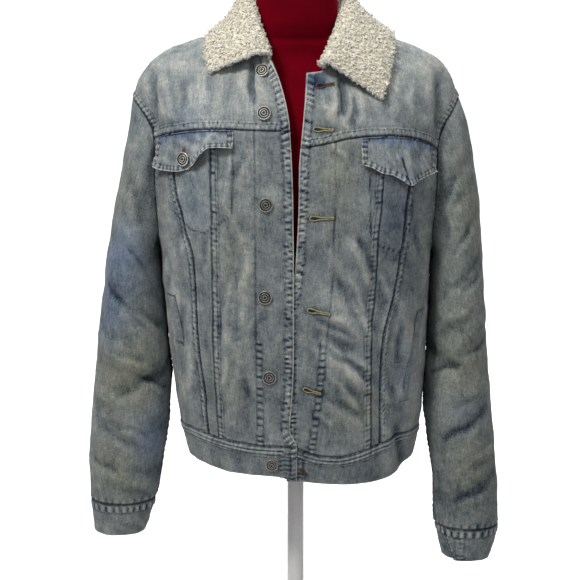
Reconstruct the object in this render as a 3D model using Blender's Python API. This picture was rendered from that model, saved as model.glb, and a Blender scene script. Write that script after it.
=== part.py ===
"""Sherpa lined denim jacket, hanging open on a limbless dress form with a low round stand.

Metres, +Z up, the wearer faces -Y. R is the wearer's right (-X) and L the wearer's left (+X). The origin is on the
floor under the pole. Every cloth panel is a wall over one shared surface: `body` runs round the trunk and over the
shoulders, `sleeve` leaves it at the armhole, and panels part by SEAM_GAP on the plane that halves each seam.
"""

import math

import bmesh
import bpy
import numpy as np
from mathutils import Matrix, Vector

# ---------------------------------------------------------------- driving sizes
WALL = 0.0028  # denim with its turned seams
SEAM_GAP = 0.0003  # between pieces at a seam
PILE = 0.0080  # sherpa on the collar
UNDER_COLLAR = 0.0024
COLLAR_GAP = 0.0012  # between pile and under collar
LAP_OVER = 0.0018  # the right front stands out by this where it laps over the left
LAP_UNDER = 0.0022  # and the left front lies back by this
CAP_END = 0.560  # height where the sleeve cap ends and the arm tube starts
STEP = 0.004  # finite step along a surface's own coordinates

BUTTON_ACROSS = 0.0200
WAIST_BUTTON_ACROSS = 0.0180
BUTTON_TALL = 0.0042
POLE_RADIUS = 0.0125
BASE_RADIUS = 0.130
BASE_THICK = 0.010

SIDES = {"R": -1, "L": 1}


class Table:
    """Rows of sizes under named columns, read between the rows along a smooth curve that never overshoots."""

    def __init__(self, names, *rows):
        data = np.array(rows, float)
        self.names = names.split()[1:]
        self.keys = data[:, 0]
        self.values = data[:, 1:]
        steps = np.diff(self.keys)[:, None]
        rise = np.diff(self.values, axis=0) / steps
        slopes = np.zeros_like(self.values)
        slopes[0], slopes[-1] = rise[0], rise[-1]
        before, after = rise[:-1], rise[1:]
        same_way = before * after > 0
        total = np.where(same_way, before + after, 1.0)
        slopes[1:-1] = np.where(same_way, 2 * before * after / total, 0.0)
        self.slopes = slopes

    def at(self, key):
        key = np.clip(np.asarray(key, float), self.keys[0], self.keys[-1])
        row = np.clip(np.searchsorted(self.keys, key, "right") - 1, 0, len(self.keys) - 2)
        step = (self.keys[row + 1] - self.keys[row])[..., None]
        t = (key - self.keys[row])[..., None] / step
        low, high = self.values[row], self.values[row + 1]
        low_slope, high_slope = self.slopes[row] * step, self.slopes[row + 1] * step
        found = (
            low * (1 + 2 * t) * (1 - t) ** 2
            + low_slope * t * (1 - t) ** 2
            + high * t**2 * (3 - 2 * t)
            + high_slope * t**2 * (t - 1)
        )
        return {name: found[..., i] for i, name in enumerate(self.names)}


# ---------------------------------------------------------------- the trunk's tables
# Half widths to each side and depths to front and back of the trunk's rings, with the power of the superellipse.
RINGS = Table(
    "z half_R half_L front back power",
    (0.250, 0.1570, 0.1750, 0.1250, 0.1200, 2.35),
    (0.300, 0.1690, 0.1850, 0.1310, 0.1240, 2.35),
    (0.350, 0.1790, 0.1915, 0.1350, 0.1275, 2.38),
    (0.400, 0.1860, 0.1945, 0.1380, 0.1300, 2.40),
    (0.450, 0.1910, 0.1970, 0.1400, 0.1325, 2.42),
    (0.500, 0.1945, 0.1985, 0.1415, 0.1355, 2.45),
    (0.550, 0.1980, 0.1995, 0.1425, 0.1385, 2.45),
    (0.600, 0.2030, 0.2030, 0.1430, 0.1410, 2.45),
    (0.650, 0.2090, 0.2090, 0.1425, 0.1425, 2.45),
    (0.700, 0.2110, 0.2110, 0.1390, 0.1430, 2.42),
    (0.770, 0.2110, 0.2110, 0.1300, 0.1395, 2.40),
)
# Distance of each lengthwise seam from the centre plane: front edge, the two slanted seams of the front.
SEAMS_R = Table(
    "z edge inner outer",
    (0.250, -0.0016, 0.1110, 0.1240),
    (0.310, -0.0016, 0.1120, 0.1265),
    (0.335, 0.0085, 0.1130, 0.1280),
    (0.388, 0.0050, 0.1155, 0.1315),
    (0.443, 0.0030, 0.1180, 0.1390),
    (0.485, 0.0030, 0.1185, 0.1420),
    (0.583, 0.0030, 0.1190, 0.1470),
    (0.625, 0.0035, 0.1190, 0.1580),
    (0.666, 0.0040, 0.1195, 0.1680),
    (0.700, 0.0050, 0.1200, 0.1740),
    (0.765, 0.0085, 0.1205, 0.1800),
)
SEAMS_L = Table(
    "z edge inner outer",
    (0.250, -0.0140, 0.1080, 0.1205),
    (0.314, -0.0140, 0.1090, 0.1215),
    (0.415, -0.0140, 0.1075, 0.1215),
    (0.472, -0.0130, 0.1080, 0.1250),
    (0.515, -0.0100, 0.1110, 0.1350),
    (0.565, -0.0020, 0.1140, 0.1460),
    (0.614, 0.0015, 0.1165, 0.1525),
    (0.666, 0.0035, 0.1210, 0.1580),
    (0.710, 0.0040, 0.1235, 0.1640),
    (0.755, 0.0077, 0.1265, 0.1700),
)
BACK_SEAM = Table("z away", (0.250, 0.0700), (0.310, 0.0750), (0.765, 0.1300))
# Where the side seam, and above it the two edges of the armhole, lie: in quarter turns from the front centre.
ARMHOLE = Table(
    "z front back",
    (0.250, 1.040, 1.040),
    (0.597, 1.040, 1.040),
    (0.603, 0.950, 1.120),
    (0.615, 0.875, 1.185),
    (0.640, 0.838, 1.235),
    (0.680, 0.828, 1.260),
    (0.750, 0.830, 1.250),
)
UNDERARM = (1.040, 0.597)  # quarter turn and height in ARMHOLE where its two edges part
# Heights of the three crosswise lines by quarter turn.
CROSS_SEAMS = Table(
    "turn hem_R waist_R yoke_R hem_L waist_L yoke_L",
    (0.00, 0.2563, 0.3110, 0.7620, 0.2555, 0.3064, 0.7380),
    (0.09, 0.2645, 0.3109, 0.7620, 0.2520, 0.2950, 0.7440),
    (0.18, 0.2650, 0.3115, 0.7630, 0.2505, 0.2936, 0.7510),
    (0.28, 0.2655, 0.3140, 0.7640, 0.2490, 0.2980, 0.7540),
    (0.38, 0.2665, 0.3170, 0.7633, 0.2492, 0.3055, 0.7545),
    (0.50, 0.2700, 0.3210, 0.7605, 0.2510, 0.3145, 0.7520),
    (0.66, 0.2730, 0.3250, 0.7550, 0.2620, 0.3175, 0.7440),
    (0.83, 0.2745, 0.3240, 0.7476, 0.2700, 0.3180, 0.7325),
    (1.04, 0.2750, 0.3230, 0.7450, 0.2720, 0.3180, 0.7345),
    (1.25, 0.2720, 0.3210, 0.7440, 0.2700, 0.3175, 0.7380),
    (1.60, 0.2660, 0.3180, 0.7570, 0.2660, 0.3160, 0.7550),
    (2.00, 0.2620, 0.3160, 0.7650, 0.2620, 0.3160, 0.7650),
)
# The top edge of the yokes and the way the cloth arrives there (arrive_*), for the fronts; arrive_y turns on the back.
# s 0 is the front edge (centre back on the back), NECK_POINT where neckline meets shoulder, 3 the armhole's top.
NECK_POINT = 0.75
TOP_NAMES = "s x y z arrive_x arrive_y arrive_z"
RIDGE = Table(
    TOP_NAMES,
    (0.75, 0.0780, -0.0080, 0.9070, 0.002, 0.045, 0.016),
    (1.00, 0.1120, -0.0040, 0.8990, 0.000, 0.052, 0.010),
    (1.50, 0.1580, -0.0020, 0.8860, 0.000, 0.050, 0.010),
    (2.00, 0.2000, 0.0000, 0.8680, 0.002, 0.044, 0.010),
    (2.50, 0.2265, 0.0000, 0.8400, 0.004, 0.034, 0.010),
    (3.00, 0.2405, 0.0000, 0.8070, 0.006, 0.026, 0.010),
)
NECK_R = Table(
    TOP_NAMES,
    (0.00, 0.0400, -0.0980, 0.8610, 0.014, 0.004, 0.010),
    (0.25, 0.0480, -0.0850, 0.8740, 0.008, 0.010, 0.026),
    (0.50, 0.0620, -0.0560, 0.8920, 0.005, 0.024, 0.026),
    (0.75, 0.0780, -0.0080, 0.9070, 0.002, 0.045, 0.016),
)
NECK_L = Table(
    TOP_NAMES,
    (0.00, 0.0156, -0.1120, 0.8418, 0.002, 0.006, 0.030),
    (0.20, 0.0380, -0.0990, 0.8450, 0.004, 0.008, 0.030),
    (0.35, 0.0490, -0.0820, 0.8680, 0.006, 0.014, 0.028),
    (0.55, 0.0640, -0.0520, 0.8910, 0.005, 0.026, 0.024),
    (0.75, 0.0780, -0.0080, 0.9070, 0.002, 0.045, 0.016),
)
NECK_BACK = Table(
    TOP_NAMES,
    (0.00, 0.0000, 0.0690, 0.9140, 0.000, 0.022, 0.034),
    (0.25, 0.0300, 0.0630, 0.9140, 0.000, 0.022, 0.034),
    (0.50, 0.0570, 0.0400, 0.9110, 0.001, 0.030, 0.028),
    (0.75, 0.0780, -0.0080, 0.9070, 0.002, 0.045, 0.016),
)
# How long the cloth runs straight up from the yoke seam before it bends over.
RISE = Table("s up", (0.0, 0.036), (1.0, 0.055), (2.0, 0.044), (3.0, 0.022))

# Large folds of the trunk: ends and breadth in metres from the centre plane and the floor, out is + and in is -.
BODY_FOLDS = (
    # side, back, x0, z0, x1, z1, breadth, out
    (-1, False, 0.2080, 0.838, 0.2060, 0.762, 0.0085, -0.0060),
    (-1, False, 0.1900, 0.830, 0.1880, 0.775, 0.0110, 0.0025),
    (-1, False, 0.0880, 0.610, 0.0990, 0.470, 0.0130, -0.0035),
    (-1, False, 0.0700, 0.600, 0.0800, 0.420, 0.0160, 0.0035),
    (-1, False, 0.0740, 0.400, 0.0690, 0.335, 0.0100, -0.0035),
    (-1, False, 0.0960, 0.410, 0.0920, 0.335, 0.0120, 0.0030),
    (-1, False, 0.1600, 0.560, 0.1750, 0.400, 0.0140, -0.0035),
    (-1, False, 0.0300, 0.330, 0.0260, 0.380, 0.0100, -0.0025),
    (1, False, 0.2080, 0.832, 0.2070, 0.760, 0.0085, -0.0060),
    (1, False, 0.1900, 0.825, 0.1880, 0.770, 0.0110, 0.0025),
    (1, False, 0.0700, 0.835, 0.0760, 0.775, 0.0120, -0.0030),
    (1, False, 0.0740, 0.605, 0.1030, 0.545, 0.0120, 0.0038),
    (1, False, 0.0600, 0.560, 0.0950, 0.500, 0.0120, -0.0032),
    (1, False, 0.0300, 0.476, 0.0850, 0.455, 0.0110, -0.0036),
    (1, False, 0.0420, 0.445, 0.1000, 0.395, 0.0130, 0.0038),
    (1, False, 0.0350, 0.388, 0.0950, 0.350, 0.0110, -0.0034),
    (1, False, 0.1450, 0.520, 0.1700, 0.420, 0.0130, 0.0032),
    (1, False, 0.1480, 0.330, 0.1620, 0.262, 0.0090, -0.0055),
    (1, False, 0.1300, 0.330, 0.1380, 0.262, 0.0090, 0.0035),
    (-1, True, 0.1500, 0.700, 0.1150, 0.560, 0.0160, -0.0040),
    (-1, True, 0.0700, 0.520, 0.0900, 0.380, 0.0150, 0.0035),
    (-1, True, 0.1350, 0.480, 0.1500, 0.360, 0.0150, -0.0035),
    (1, True, 0.1550, 0.690, 0.1200, 0.570, 0.0160, -0.0040),
    (1, True, 0.0600, 0.560, 0.0750, 0.400, 0.0150, 0.0035),
    (1, True, 0.1400, 0.460, 0.1480, 0.350, 0.0150, -0.0032),
)

# ---------------------------------------------------------------- the sleeves' tables
# Outer and inner edge of each arm ring, its middle and half depth front to back.
SLEEVE_R = Table(
    "z outer inner middle deep",
    (0.1500, 0.3080, 0.2300, -0.015, 0.0400),
    (0.2000, 0.3130, 0.2140, -0.015, 0.0455),
    (0.2500, 0.3145, 0.2040, -0.014, 0.0490),
    (0.3000, 0.3125, 0.1955, -0.012, 0.0520),
    (0.3500, 0.3080, 0.1900, -0.009, 0.0555),
    (0.4000, 0.3025, 0.1880, -0.006, 0.0600),
    (0.4500, 0.2970, 0.1927, -0.003, 0.0660),
    (0.5000, 0.2910, 0.1963, 0.000, 0.0715),
    (0.5600, 0.2835, 0.2010, 0.004, 0.0740),
)
SLEEVE_L = Table(
    "z outer inner middle deep",
    (0.1100, 0.2990, 0.2220, -0.017, 0.0400),
    (0.1610, 0.3105, 0.2125, -0.016, 0.0465),
    (0.2000, 0.3095, 0.2110, -0.015, 0.0485),
    (0.2500, 0.3055, 0.2075, -0.014, 0.0515),
    (0.3000, 0.3005, 0.2000, -0.012, 0.0545),
    (0.3500, 0.2960, 0.1945, -0.009, 0.0585),
    (0.4000, 0.2920, 0.1964, -0.006, 0.0630),
    (0.4500, 0.2870, 0.1988, -0.003, 0.0690),
    (0.5000, 0.2835, 0.2004, 0.000, 0.0730),
    (0.5600, 0.2800, 0.2022, 0.004, 0.0745),
)
CUFF_SEAM = {-1: 0.200, 1: 0.161}
CUFF_END = {-1: 0.150, 1: 0.110}
# Which way the cap's cloth leaves the armhole, by turn round it: 0 top, 0.25 front, 0.5 underarm, 0.75 back.
LEAVE = Table(
    "turn out_R out_L y z",
    (0.00, 0.004, 0.012, 0.000, -0.030),
    (0.15, 0.008, 0.013, -0.012, -0.028),
    (0.30, 0.014, 0.016, -0.013, -0.020),
    (0.42, 0.010, 0.010, -0.009, -0.016),
    (0.50, 0.005, 0.005, 0.000, -0.012),
    (0.58, 0.010, 0.010, 0.009, -0.016),
    (0.70, 0.014, 0.016, 0.013, -0.020),
    (0.85, 0.008, 0.013, 0.012, -0.028),
    (1.00, 0.004, 0.012, 0.000, -0.030),
)
ARM_BLEND = 0.30  # share of the cap over which its wall turns from the seam's way to its own
CORNER_BLEND = 0.03  # rows up from the underarm over which front and back share one wall direction
ARM_ROUND = 0.38  # metres round the arm, which turns a fold's turn into a length
SLEEVE_FOLDS = (
    # side, turn0, z0, turn1, z1, breadth, out
    (-1, 0.08, 0.690, 0.28, 0.640, 0.0130, -0.0032),
    (-1, 0.16, 0.520, 0.42, 0.470, 0.0130, -0.0040),
    (-1, 0.05, 0.455, 0.30, 0.410, 0.0120, 0.0030),
    (-1, 0.22, 0.375, 0.47, 0.410, 0.0120, -0.0042),
    (-1, 0.10, 0.330, 0.34, 0.285, 0.0120, -0.0030),
    (-1, 0.20, 0.245, 0.40, 0.225, 0.0100, 0.0028),
    (-1, 0.62, 0.480, 0.90, 0.440, 0.0140, -0.0040),
    (-1, 0.66, 0.380, 0.88, 0.350, 0.0140, -0.0035),
    (1, 0.06, 0.720, 0.26, 0.655, 0.0130, -0.0034),
    (1, 0.10, 0.575, 0.36, 0.520, 0.0130, -0.0038),
    (1, 0.06, 0.490, 0.30, 0.440, 0.0120, 0.0030),
    (1, 0.20, 0.400, 0.46, 0.440, 0.0120, -0.0042),
    (1, 0.08, 0.350, 0.34, 0.300, 0.0120, -0.0036),
    (1, 0.04, 0.250, 0.28, 0.215, 0.0110, -0.0030),
    (1, 0.62, 0.500, 0.90, 0.455, 0.0140, -0.0040),
    (1, 0.66, 0.370, 0.88, 0.330, 0.0140, -0.0035),
)

# ---------------------------------------------------------------- the panels' grids
CENTER_COLUMNS = np.linspace(0.0, 1.0, 9)
PANEL_COLUMNS = np.linspace(1.0, 2.0, 5)
SIDE_COLUMNS = np.linspace(2.0, 3.0, 5)
FRONT_COLUMNS = np.concatenate([CENTER_COLUMNS, PANEL_COLUMNS[1:], SIDE_COLUMNS[1:]])
BACK_SPLIT = 1.25  # the column of the back's slanted seam
BACK_CENTER = np.array([0.0, 0.25, 0.5, 0.75, 0.875, 1.0, BACK_SPLIT])
BACK_SIDE = np.arange(BACK_SPLIT, 3.01, 0.25)
BACK_COLUMNS = np.concatenate([BACK_CENTER, BACK_SIDE[1:]])
ARM_ROW = 0.645  # the row at the underarm
TRUNK_ROWS = np.array([0, 0.10, 0.20, 0.30, 0.40, 0.50, 0.58, ARM_ROW])
ARMHOLE_ROWS = np.array([ARM_ROW, 0.66, 0.69, 0.76, 0.84, 0.92, 1.0])
BODY_ROWS = np.concatenate([TRUNK_ROWS, ARMHOLE_ROWS[1:]])
YOKE_ROWS = np.linspace(1.0, 2.0, 6)
BAND_ROWS = np.linspace(-1.0, 0.0, 3)
CAP_ROWS = np.linspace(0.0, 1.0, 7)
TUBE_ROWS = np.linspace(1.0, 2.0, 11)
CUFF_ROWS = np.linspace(2.0, 3.0, 3)


def unit(vectors):
    return vectors / np.maximum(np.linalg.norm(vectors, axis=-1, keepdims=True), 1e-12)


def ease(t):
    t = np.clip(t, 0.0, 1.0)
    return t * t * (3 - 2 * t)


def stack(x, y, z):
    return np.stack(np.broadcast_arrays(x, y, z), axis=-1)


def bezier(points, t):
    a, b, c, d = points
    t = np.asarray(t)[..., None]
    return a * (1 - t) ** 3 + 3 * b * t * (1 - t) ** 2 + 3 * c * t**2 * (1 - t) + d * t**3


def letter(side):
    return "R" if side < 0 else "L"


# ---------------------------------------------------------------- the trunk's surface
def turn_of(away, half, power):
    """Quarter turns from the front centre to a point this far from the centre plane."""
    ratio = np.clip(away / half, -1.0, 1.0)
    return np.arcsin(np.sign(ratio) * np.abs(ratio) ** (power / 2)) / (math.pi / 2)


def armhole_turn(side, back, z):
    """Quarter turn of the side seam and the armhole's edge, with the table's underarm put at row ARM_ROW."""
    lines = CROSS_SEAMS.at(UNDERARM[0])
    waist, yoke = (lines[name + "_" + letter(side)] for name in ("waist", "yoke"))
    start = waist + (yoke - waist) * ARM_ROW
    return ARMHOLE.at(z - start + UNDERARM[1])["back" if back else "front"]


def column_turn(side, back, s, z):
    """Quarter turns of column s at height z."""
    ring = RINGS.at(z)
    half = ring["half_" + letter(side)]
    if back:
        split = 2 - turn_of(BACK_SEAM.at(z)["away"], half, ring["power"])
        marks = [2 + 0 * split, split, armhole_turn(side, back, z)]
        places = [0.0, BACK_SPLIT, 3.0]
    else:
        seams = (SEAMS_R if side < 0 else SEAMS_L).at(z)
        marks = [turn_of(seams[name], half, ring["power"]) for name in ("edge", "inner", "outer")]
        marks.append(armhole_turn(side, back, z))
        places = [0.0, 1.0, 2.0, 3.0]
    found = marks[0] + 0 * s
    for low, high, a, b in zip(marks, marks[1:], places, places[1:]):
        found = found + (high - low) * np.clip((s - a) / (b - a), 0.0, 1.0)
    return found


def ring_point(side, turn, z):
    ring = RINGS.at(z)
    angle = turn * math.pi / 2
    away, ahead = np.sin(angle), np.cos(angle)
    depth = np.where(ahead > 0, ring["front"], ring["back"])
    x = side * ring["half_" + letter(side)] * np.sign(away) * np.abs(away) ** (2 / ring["power"])
    y = -depth * np.sign(ahead) * np.abs(ahead) ** (2 / ring["power"])
    return stack(x, y, z)


def trunk(side, back, s, h):
    """The trunk below the yoke seam: h -1 hem, 0 waistband seam, 1 yoke seam."""
    z = np.where(h < 0, 0.310 + 0.050 * h, 0.310 + 0.445 * h)
    for _ in range(2):
        turn = column_turn(side, back, s, z)
        lines = CROSS_SEAMS.at(turn)
        hem, waist, yoke = (lines[name + "_" + letter(side)] for name in ("hem", "waist", "yoke"))
        z = np.where(h < 0, waist + (waist - hem) * h, waist + (yoke - waist) * h)
    return ring_point(side, column_turn(side, back, s, z), z)


def body(side, back, s, h):
    """The jacket's trunk surface: column s 0 to 3 and row h -1 to 2, where 1 is the yoke seam and 2 the top edge."""
    s, h = np.broadcast_arrays(np.asarray(s, float), np.asarray(h, float))
    low = trunk(side, back, s, np.minimum(h, 1.0))
    start = trunk(side, back, s, np.ones_like(s))
    climb = unit(start - trunk(side, back, s, np.full_like(s, 0.98)))
    neck, ridge = (NECK_BACK if back else NECK_R if side < 0 else NECK_L).at(s), RIDGE.at(s)
    top = {name: np.where(s < NECK_POINT, neck[name], ridge[name]) for name in ridge}
    end = stack(side * top["x"], top["y"], top["z"])
    arrive = stack(side * top["arrive_x"], top["arrive_y"] * (-1 if back else 1), top["arrive_z"])
    rise = RISE.at(s)["up"][..., None]
    over = bezier((start, start + climb * rise, end - arrive, end), np.clip(h - 1, 0.0, 1.0))
    return np.where((h > 1)[..., None], over, low)


def beyond(side, back, s, h):
    """The surface past a panel's own half: round the side seam, the centre back and over the shoulder."""
    s, h = np.broadcast_arrays(np.asarray(s, float), np.asarray(h, float))
    found = body(side, back, np.clip(s, 0.0, 3.0), np.clip(h, -1.0, 2.0))
    past_side = (s > 3) & (h < ARM_ROW)
    if past_side.any():
        other = body(side, not back, np.clip(6 - s, 0.0, 3.0), h)
        found = np.where(past_side[..., None], other, found)
    past_center = (s < 0) & np.full(s.shape, back)
    if past_center.any():
        other = body(-side, back, np.clip(-s, 0.0, 3.0), h)
        found = np.where(past_center[..., None], other, found)
    past_ridge = (h > 2) & (s >= NECK_POINT)
    if past_ridge.any():
        other = body(side, not back, s, np.clip(4 - h, -1.0, 2.0))
        found = np.where(past_ridge[..., None], other, found)
    return found


def body_normal(side, back, s, h):
    across = beyond(side, back, s + STEP, h) - beyond(side, back, s - STEP, h)
    along = beyond(side, back, s, h + STEP) - beyond(side, back, s, h - STEP)
    normal = unit(np.cross(across, along))
    return -normal if (side < 0) != back else normal


def fold_depth(folds, along, z):
    """Sum of soft troughs and ridges, each fading out towards its ends."""
    total = np.zeros(np.broadcast(along, z).shape)
    for a0, z0, a1, z1, breadth, out in folds:
        run = np.array([a1 - a0, z1 - z0])
        length = np.hypot(*run)
        t = ((along - a0) * run[0] + (z - z0) * run[1]) / length**2
        off = ((along - a0) * run[1] - (z - z0) * run[0]) / length
        ends = ease(np.clip(t + 0.25, 0, 1) / 0.4) * ease(np.clip(1.25 - t, 0, 1) / 0.4)
        total = total + out * ends * np.exp(-((off / breadth) ** 2))
    return total


def lap(side, x, z):
    """How far the right front stands out over the left one near the centre."""
    low_down = ease((0.635 - z) / 0.060)
    near = ease((0.075 - np.abs(x)) / 0.055)
    return (LAP_OVER if side < 0 else -LAP_UNDER) * low_down * near


def cloth(side, back, s, h):
    """Outer points of the trunk with its folds, and the direction of its wall."""
    points = body(side, back, s, h)
    normal = body_normal(side, back, s, h)
    at_armhole = (s > 3 - 1e-6) & (h > ARM_ROW - 1e-6) & np.ones(points.shape[:-1], bool)
    if at_armhole.any():
        shared = armhole_normal(side, back, np.broadcast_to(h, at_armhole.shape))
        normal = np.where(at_armhole[..., None], shared, normal)
    away, z = np.abs(points[..., 0]), points[..., 2]
    folds = [row[2:] for row in BODY_FOLDS if row[:2] == (side, back)]
    out = fold_depth(folds, away, z)
    if not back:
        out = out + lap(side, points[..., 0], z)
    return points + out[..., None] * normal, normal


# ---------------------------------------------------------------- the sleeves' surface
def armhole_turns(side):
    """Turn round the armhole against the row of the front and of the back, by length along it."""
    rows = np.linspace(ARM_ROW, 2.0, 160)
    found = {}
    for back in (False, True):
        line = body(side, back, np.full_like(rows, 3.0), rows)
        length = np.concatenate([[0], np.cumsum(np.linalg.norm(np.diff(line, axis=0), axis=1))])
        share = 0.5 * length / length[-1]
        found[back] = (rows, 0.5 + share if back else 0.5 - share)
    return found


ARMHOLE_TURNS = {side: armhole_turns(side) for side in SIDES.values()}


def turn_at_row(side, back, h):
    rows, turns = ARMHOLE_TURNS[side][back]
    return np.interp(h, rows, turns)


def armhole_point(side, turn):
    turn = np.mod(turn, 1.0)
    rows, fronts = ARMHOLE_TURNS[side][False]
    _, backs = ARMHOLE_TURNS[side][True]
    front = body(side, False, np.full_like(turn, 3.0), np.interp(turn, fronts[::-1], rows[::-1]))
    rear = body(side, True, np.full_like(turn, 3.0), np.interp(turn, backs, rows))
    return np.where((turn <= 0.5)[..., None], front, rear)


def arm_ring(side, turn, z):
    ring = (SLEEVE_R if side < 0 else SLEEVE_L).at(z)
    middle = (ring["outer"] + ring["inner"]) / 2
    half = (ring["outer"] - ring["inner"]) / 2
    angle = 2 * math.pi * turn
    return stack(side * (middle + half * np.cos(angle)), ring["middle"] - ring["deep"] * np.sin(angle), z)


def sleeve(side, turn, k):
    """The sleeve surface: turn round it as in LEAVE, k 0 armhole, 1 cap's end, 2 cuff seam, 3 cuff's end."""
    turn, k = np.broadcast_arrays(np.asarray(turn, float), np.asarray(k, float))
    seam, end = CUFF_SEAM[side], CUFF_END[side]
    z = np.where(k < 2, CAP_END + (seam - CAP_END) * (k - 1), seam + (end - seam) * (k - 2))
    tube = arm_ring(side, turn, np.minimum(z, CAP_END))
    start = armhole_point(side, turn)
    finish = arm_ring(side, turn, np.full_like(turn, CAP_END))
    leave = LEAVE.at(np.mod(turn, 1.0))
    way = unit(stack(side * leave["out_" + letter(side)], leave["y"], leave["z"]))
    reach = np.linalg.norm(finish - start, axis=-1, keepdims=True) / 3
    above = arm_ring(side, turn, np.full_like(turn, CAP_END - 0.01))
    drop = unit(finish - above)
    cap = bezier((start, start + way * reach, finish + drop * reach, finish), np.clip(k, 0.0, 1.0))
    return np.where((k < 1)[..., None], cap, tube)


def sleeve_normal(side, turn, k):
    around = sleeve(side, turn + STEP, k) - sleeve(side, turn - STEP, k)
    down = sleeve(side, turn, np.clip(k + STEP, 0, 3)) - sleeve(side, turn, np.clip(k - STEP, 0, 3))
    normal = unit(np.cross(around, down))
    return normal * side


def armhole_normal(side, back, h):
    """The half-way direction between trunk and sleeve along their seam, the same for front and back at the underarm."""

    def between(behind, row):
        trunk_way = body_normal(side, behind, np.full(row.shape, 3.0), row)
        sleeve_way = sleeve_normal(side, turn_at_row(side, behind, row), np.zeros(row.shape))
        total = trunk_way + sleeve_way
        short = np.clip(1 - np.linalg.norm(total, axis=-1), 0, 1)
        total[..., 2] -= 0.6 * short
        return unit(total)

    corner = np.full(h.shape, ARM_ROW)
    both = unit(between(False, corner) + between(True, corner))
    share = (1 - ease((h - ARM_ROW) / CORNER_BLEND))[..., None]
    return unit(between(back, h) * (1 - share) + both * share)


def arm_cloth(side, turn, k):
    points = sleeve(side, turn, k)
    normal = sleeve_normal(side, turn, k)
    share = 1 - ease(k / ARM_BLEND) + np.zeros(points.shape[:-1])
    if (share > 0).any():
        around = np.mod(np.broadcast_to(turn, share.shape), 1.0)
        front_rows, fronts = ARMHOLE_TURNS[side][False]
        back_rows, backs = ARMHOLE_TURNS[side][True]
        front = armhole_normal(side, False, np.interp(around, fronts[::-1], front_rows[::-1]))
        rear = armhole_normal(side, True, np.interp(around, backs, back_rows))
        shared = np.where((around <= 0.5)[..., None], front, rear)
        normal = unit(normal + (shared - normal) * share[..., None])
    z = points[..., 2]
    folds = [
        (t0 * ARM_ROUND, z0, t1 * ARM_ROUND, z1, breadth, out)
        for owner, t0, z0, t1, z1, breadth, out in SLEEVE_FOLDS
        if owner == side
    ]
    clear = ease(k / 0.5)
    out = fold_depth(folds, np.mod(turn, 1.0) * ARM_ROUND, z) * clear
    return points + out[..., None] * normal, normal


# ---------------------------------------------------------------- walls
def border_pull(points, normals):
    """Moves a panel's border in by half the seam gap, square to the plane that halves each seam."""
    rows, columns = points.shape[:2]
    loop = [(0, j) for j in range(columns)]
    loop += [(i, columns - 1) for i in range(1, rows)]
    loop += [(rows - 1, j) for j in range(columns - 2, -1, -1)]
    loop += [(i, 0) for i in range(rows - 2, 0, -1)]
    index = np.array(loop)
    edge = points[index[:, 0], index[:, 1]]
    lean = normals[index[:, 0], index[:, 1]]
    mid_row, mid_column = rows // 2, columns // 2
    across = points[mid_row, mid_column] - points[mid_row, mid_column - 1]
    along = points[mid_row, mid_column] - points[mid_row - 1, mid_column]
    way = np.sign(np.dot(np.cross(across, along), normals[mid_row, mid_column]))
    ahead = np.roll(edge, -1, axis=0) - edge
    inward = unit(np.cross(lean + np.roll(lean, -1, axis=0), ahead)) * way
    before = np.roll(inward, 1, axis=0)
    share = np.maximum(1 + np.sum(before * inward, axis=1, keepdims=True), 0.4)
    pull = np.zeros_like(points)
    pull[index[:, 0], index[:, 1]] = (before + inward) / share * SEAM_GAP / 2
    return pull


def build_wall(name, material, outer, inner, cut="SHORT_EDGE"):
    """A closed wall between two grids of points: a grid, extruded, with both layers put in place."""
    rows, columns = outer.shape[:2]
    bm = bmesh.new()
    bmesh.ops.create_grid(bm, x_segments=columns - 1, y_segments=rows - 1, size=0.5)
    layer = bm.verts.layers.int.new("place")
    for vert in bm.verts:
        column = round((vert.co.x + 0.5) * (columns - 1))
        row = round((vert.co.y + 0.5) * (rows - 1))
        vert[layer] = row * columns + column
    first = set(bm.verts)
    bmesh.ops.extrude_face_region(bm, geom=bm.faces[:])
    for vert in bm.verts:
        row, column = divmod(vert[layer], columns)
        vert.co = (outer if vert in first else inner)[row, column]
    bmesh.ops.recalc_face_normals(bm, faces=bm.faces[:])
    bmesh.ops.triangulate(bm, faces=bm.faces[:], quad_method=cut)
    return finish_object(name, material, bm)


def finish_object(name, material, bm):
    if bm.calc_volume(signed=True) < 0:
        bmesh.ops.reverse_faces(bm, faces=bm.faces[:])
    mesh = bpy.data.meshes.new(name)
    bm.to_mesh(mesh)
    bm.free()
    mesh.shade_smooth()
    mesh.set_sharp_from_angle(angle=math.radians(50))
    mesh.materials.append(material)
    made = bpy.data.objects.new(name, mesh)
    bpy.data.collections["sherpa lined jacket"].objects.link(made)
    return made


def panel(name, material, points, normals):
    pull = border_pull(points, normals)
    build_wall(name, material, points + pull, points + pull - WALL * normals)


def overlay(name, material, points, normals, low, high):
    """A piece that lies on a panel: the panel's points, moved out from `low` to `high`, with the same diagonals."""
    low, high = (np.asarray(value)[..., None] for value in (low, high))
    return build_wall(name, material, points + high * normals, points + low * normals, "FIXED")


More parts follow.
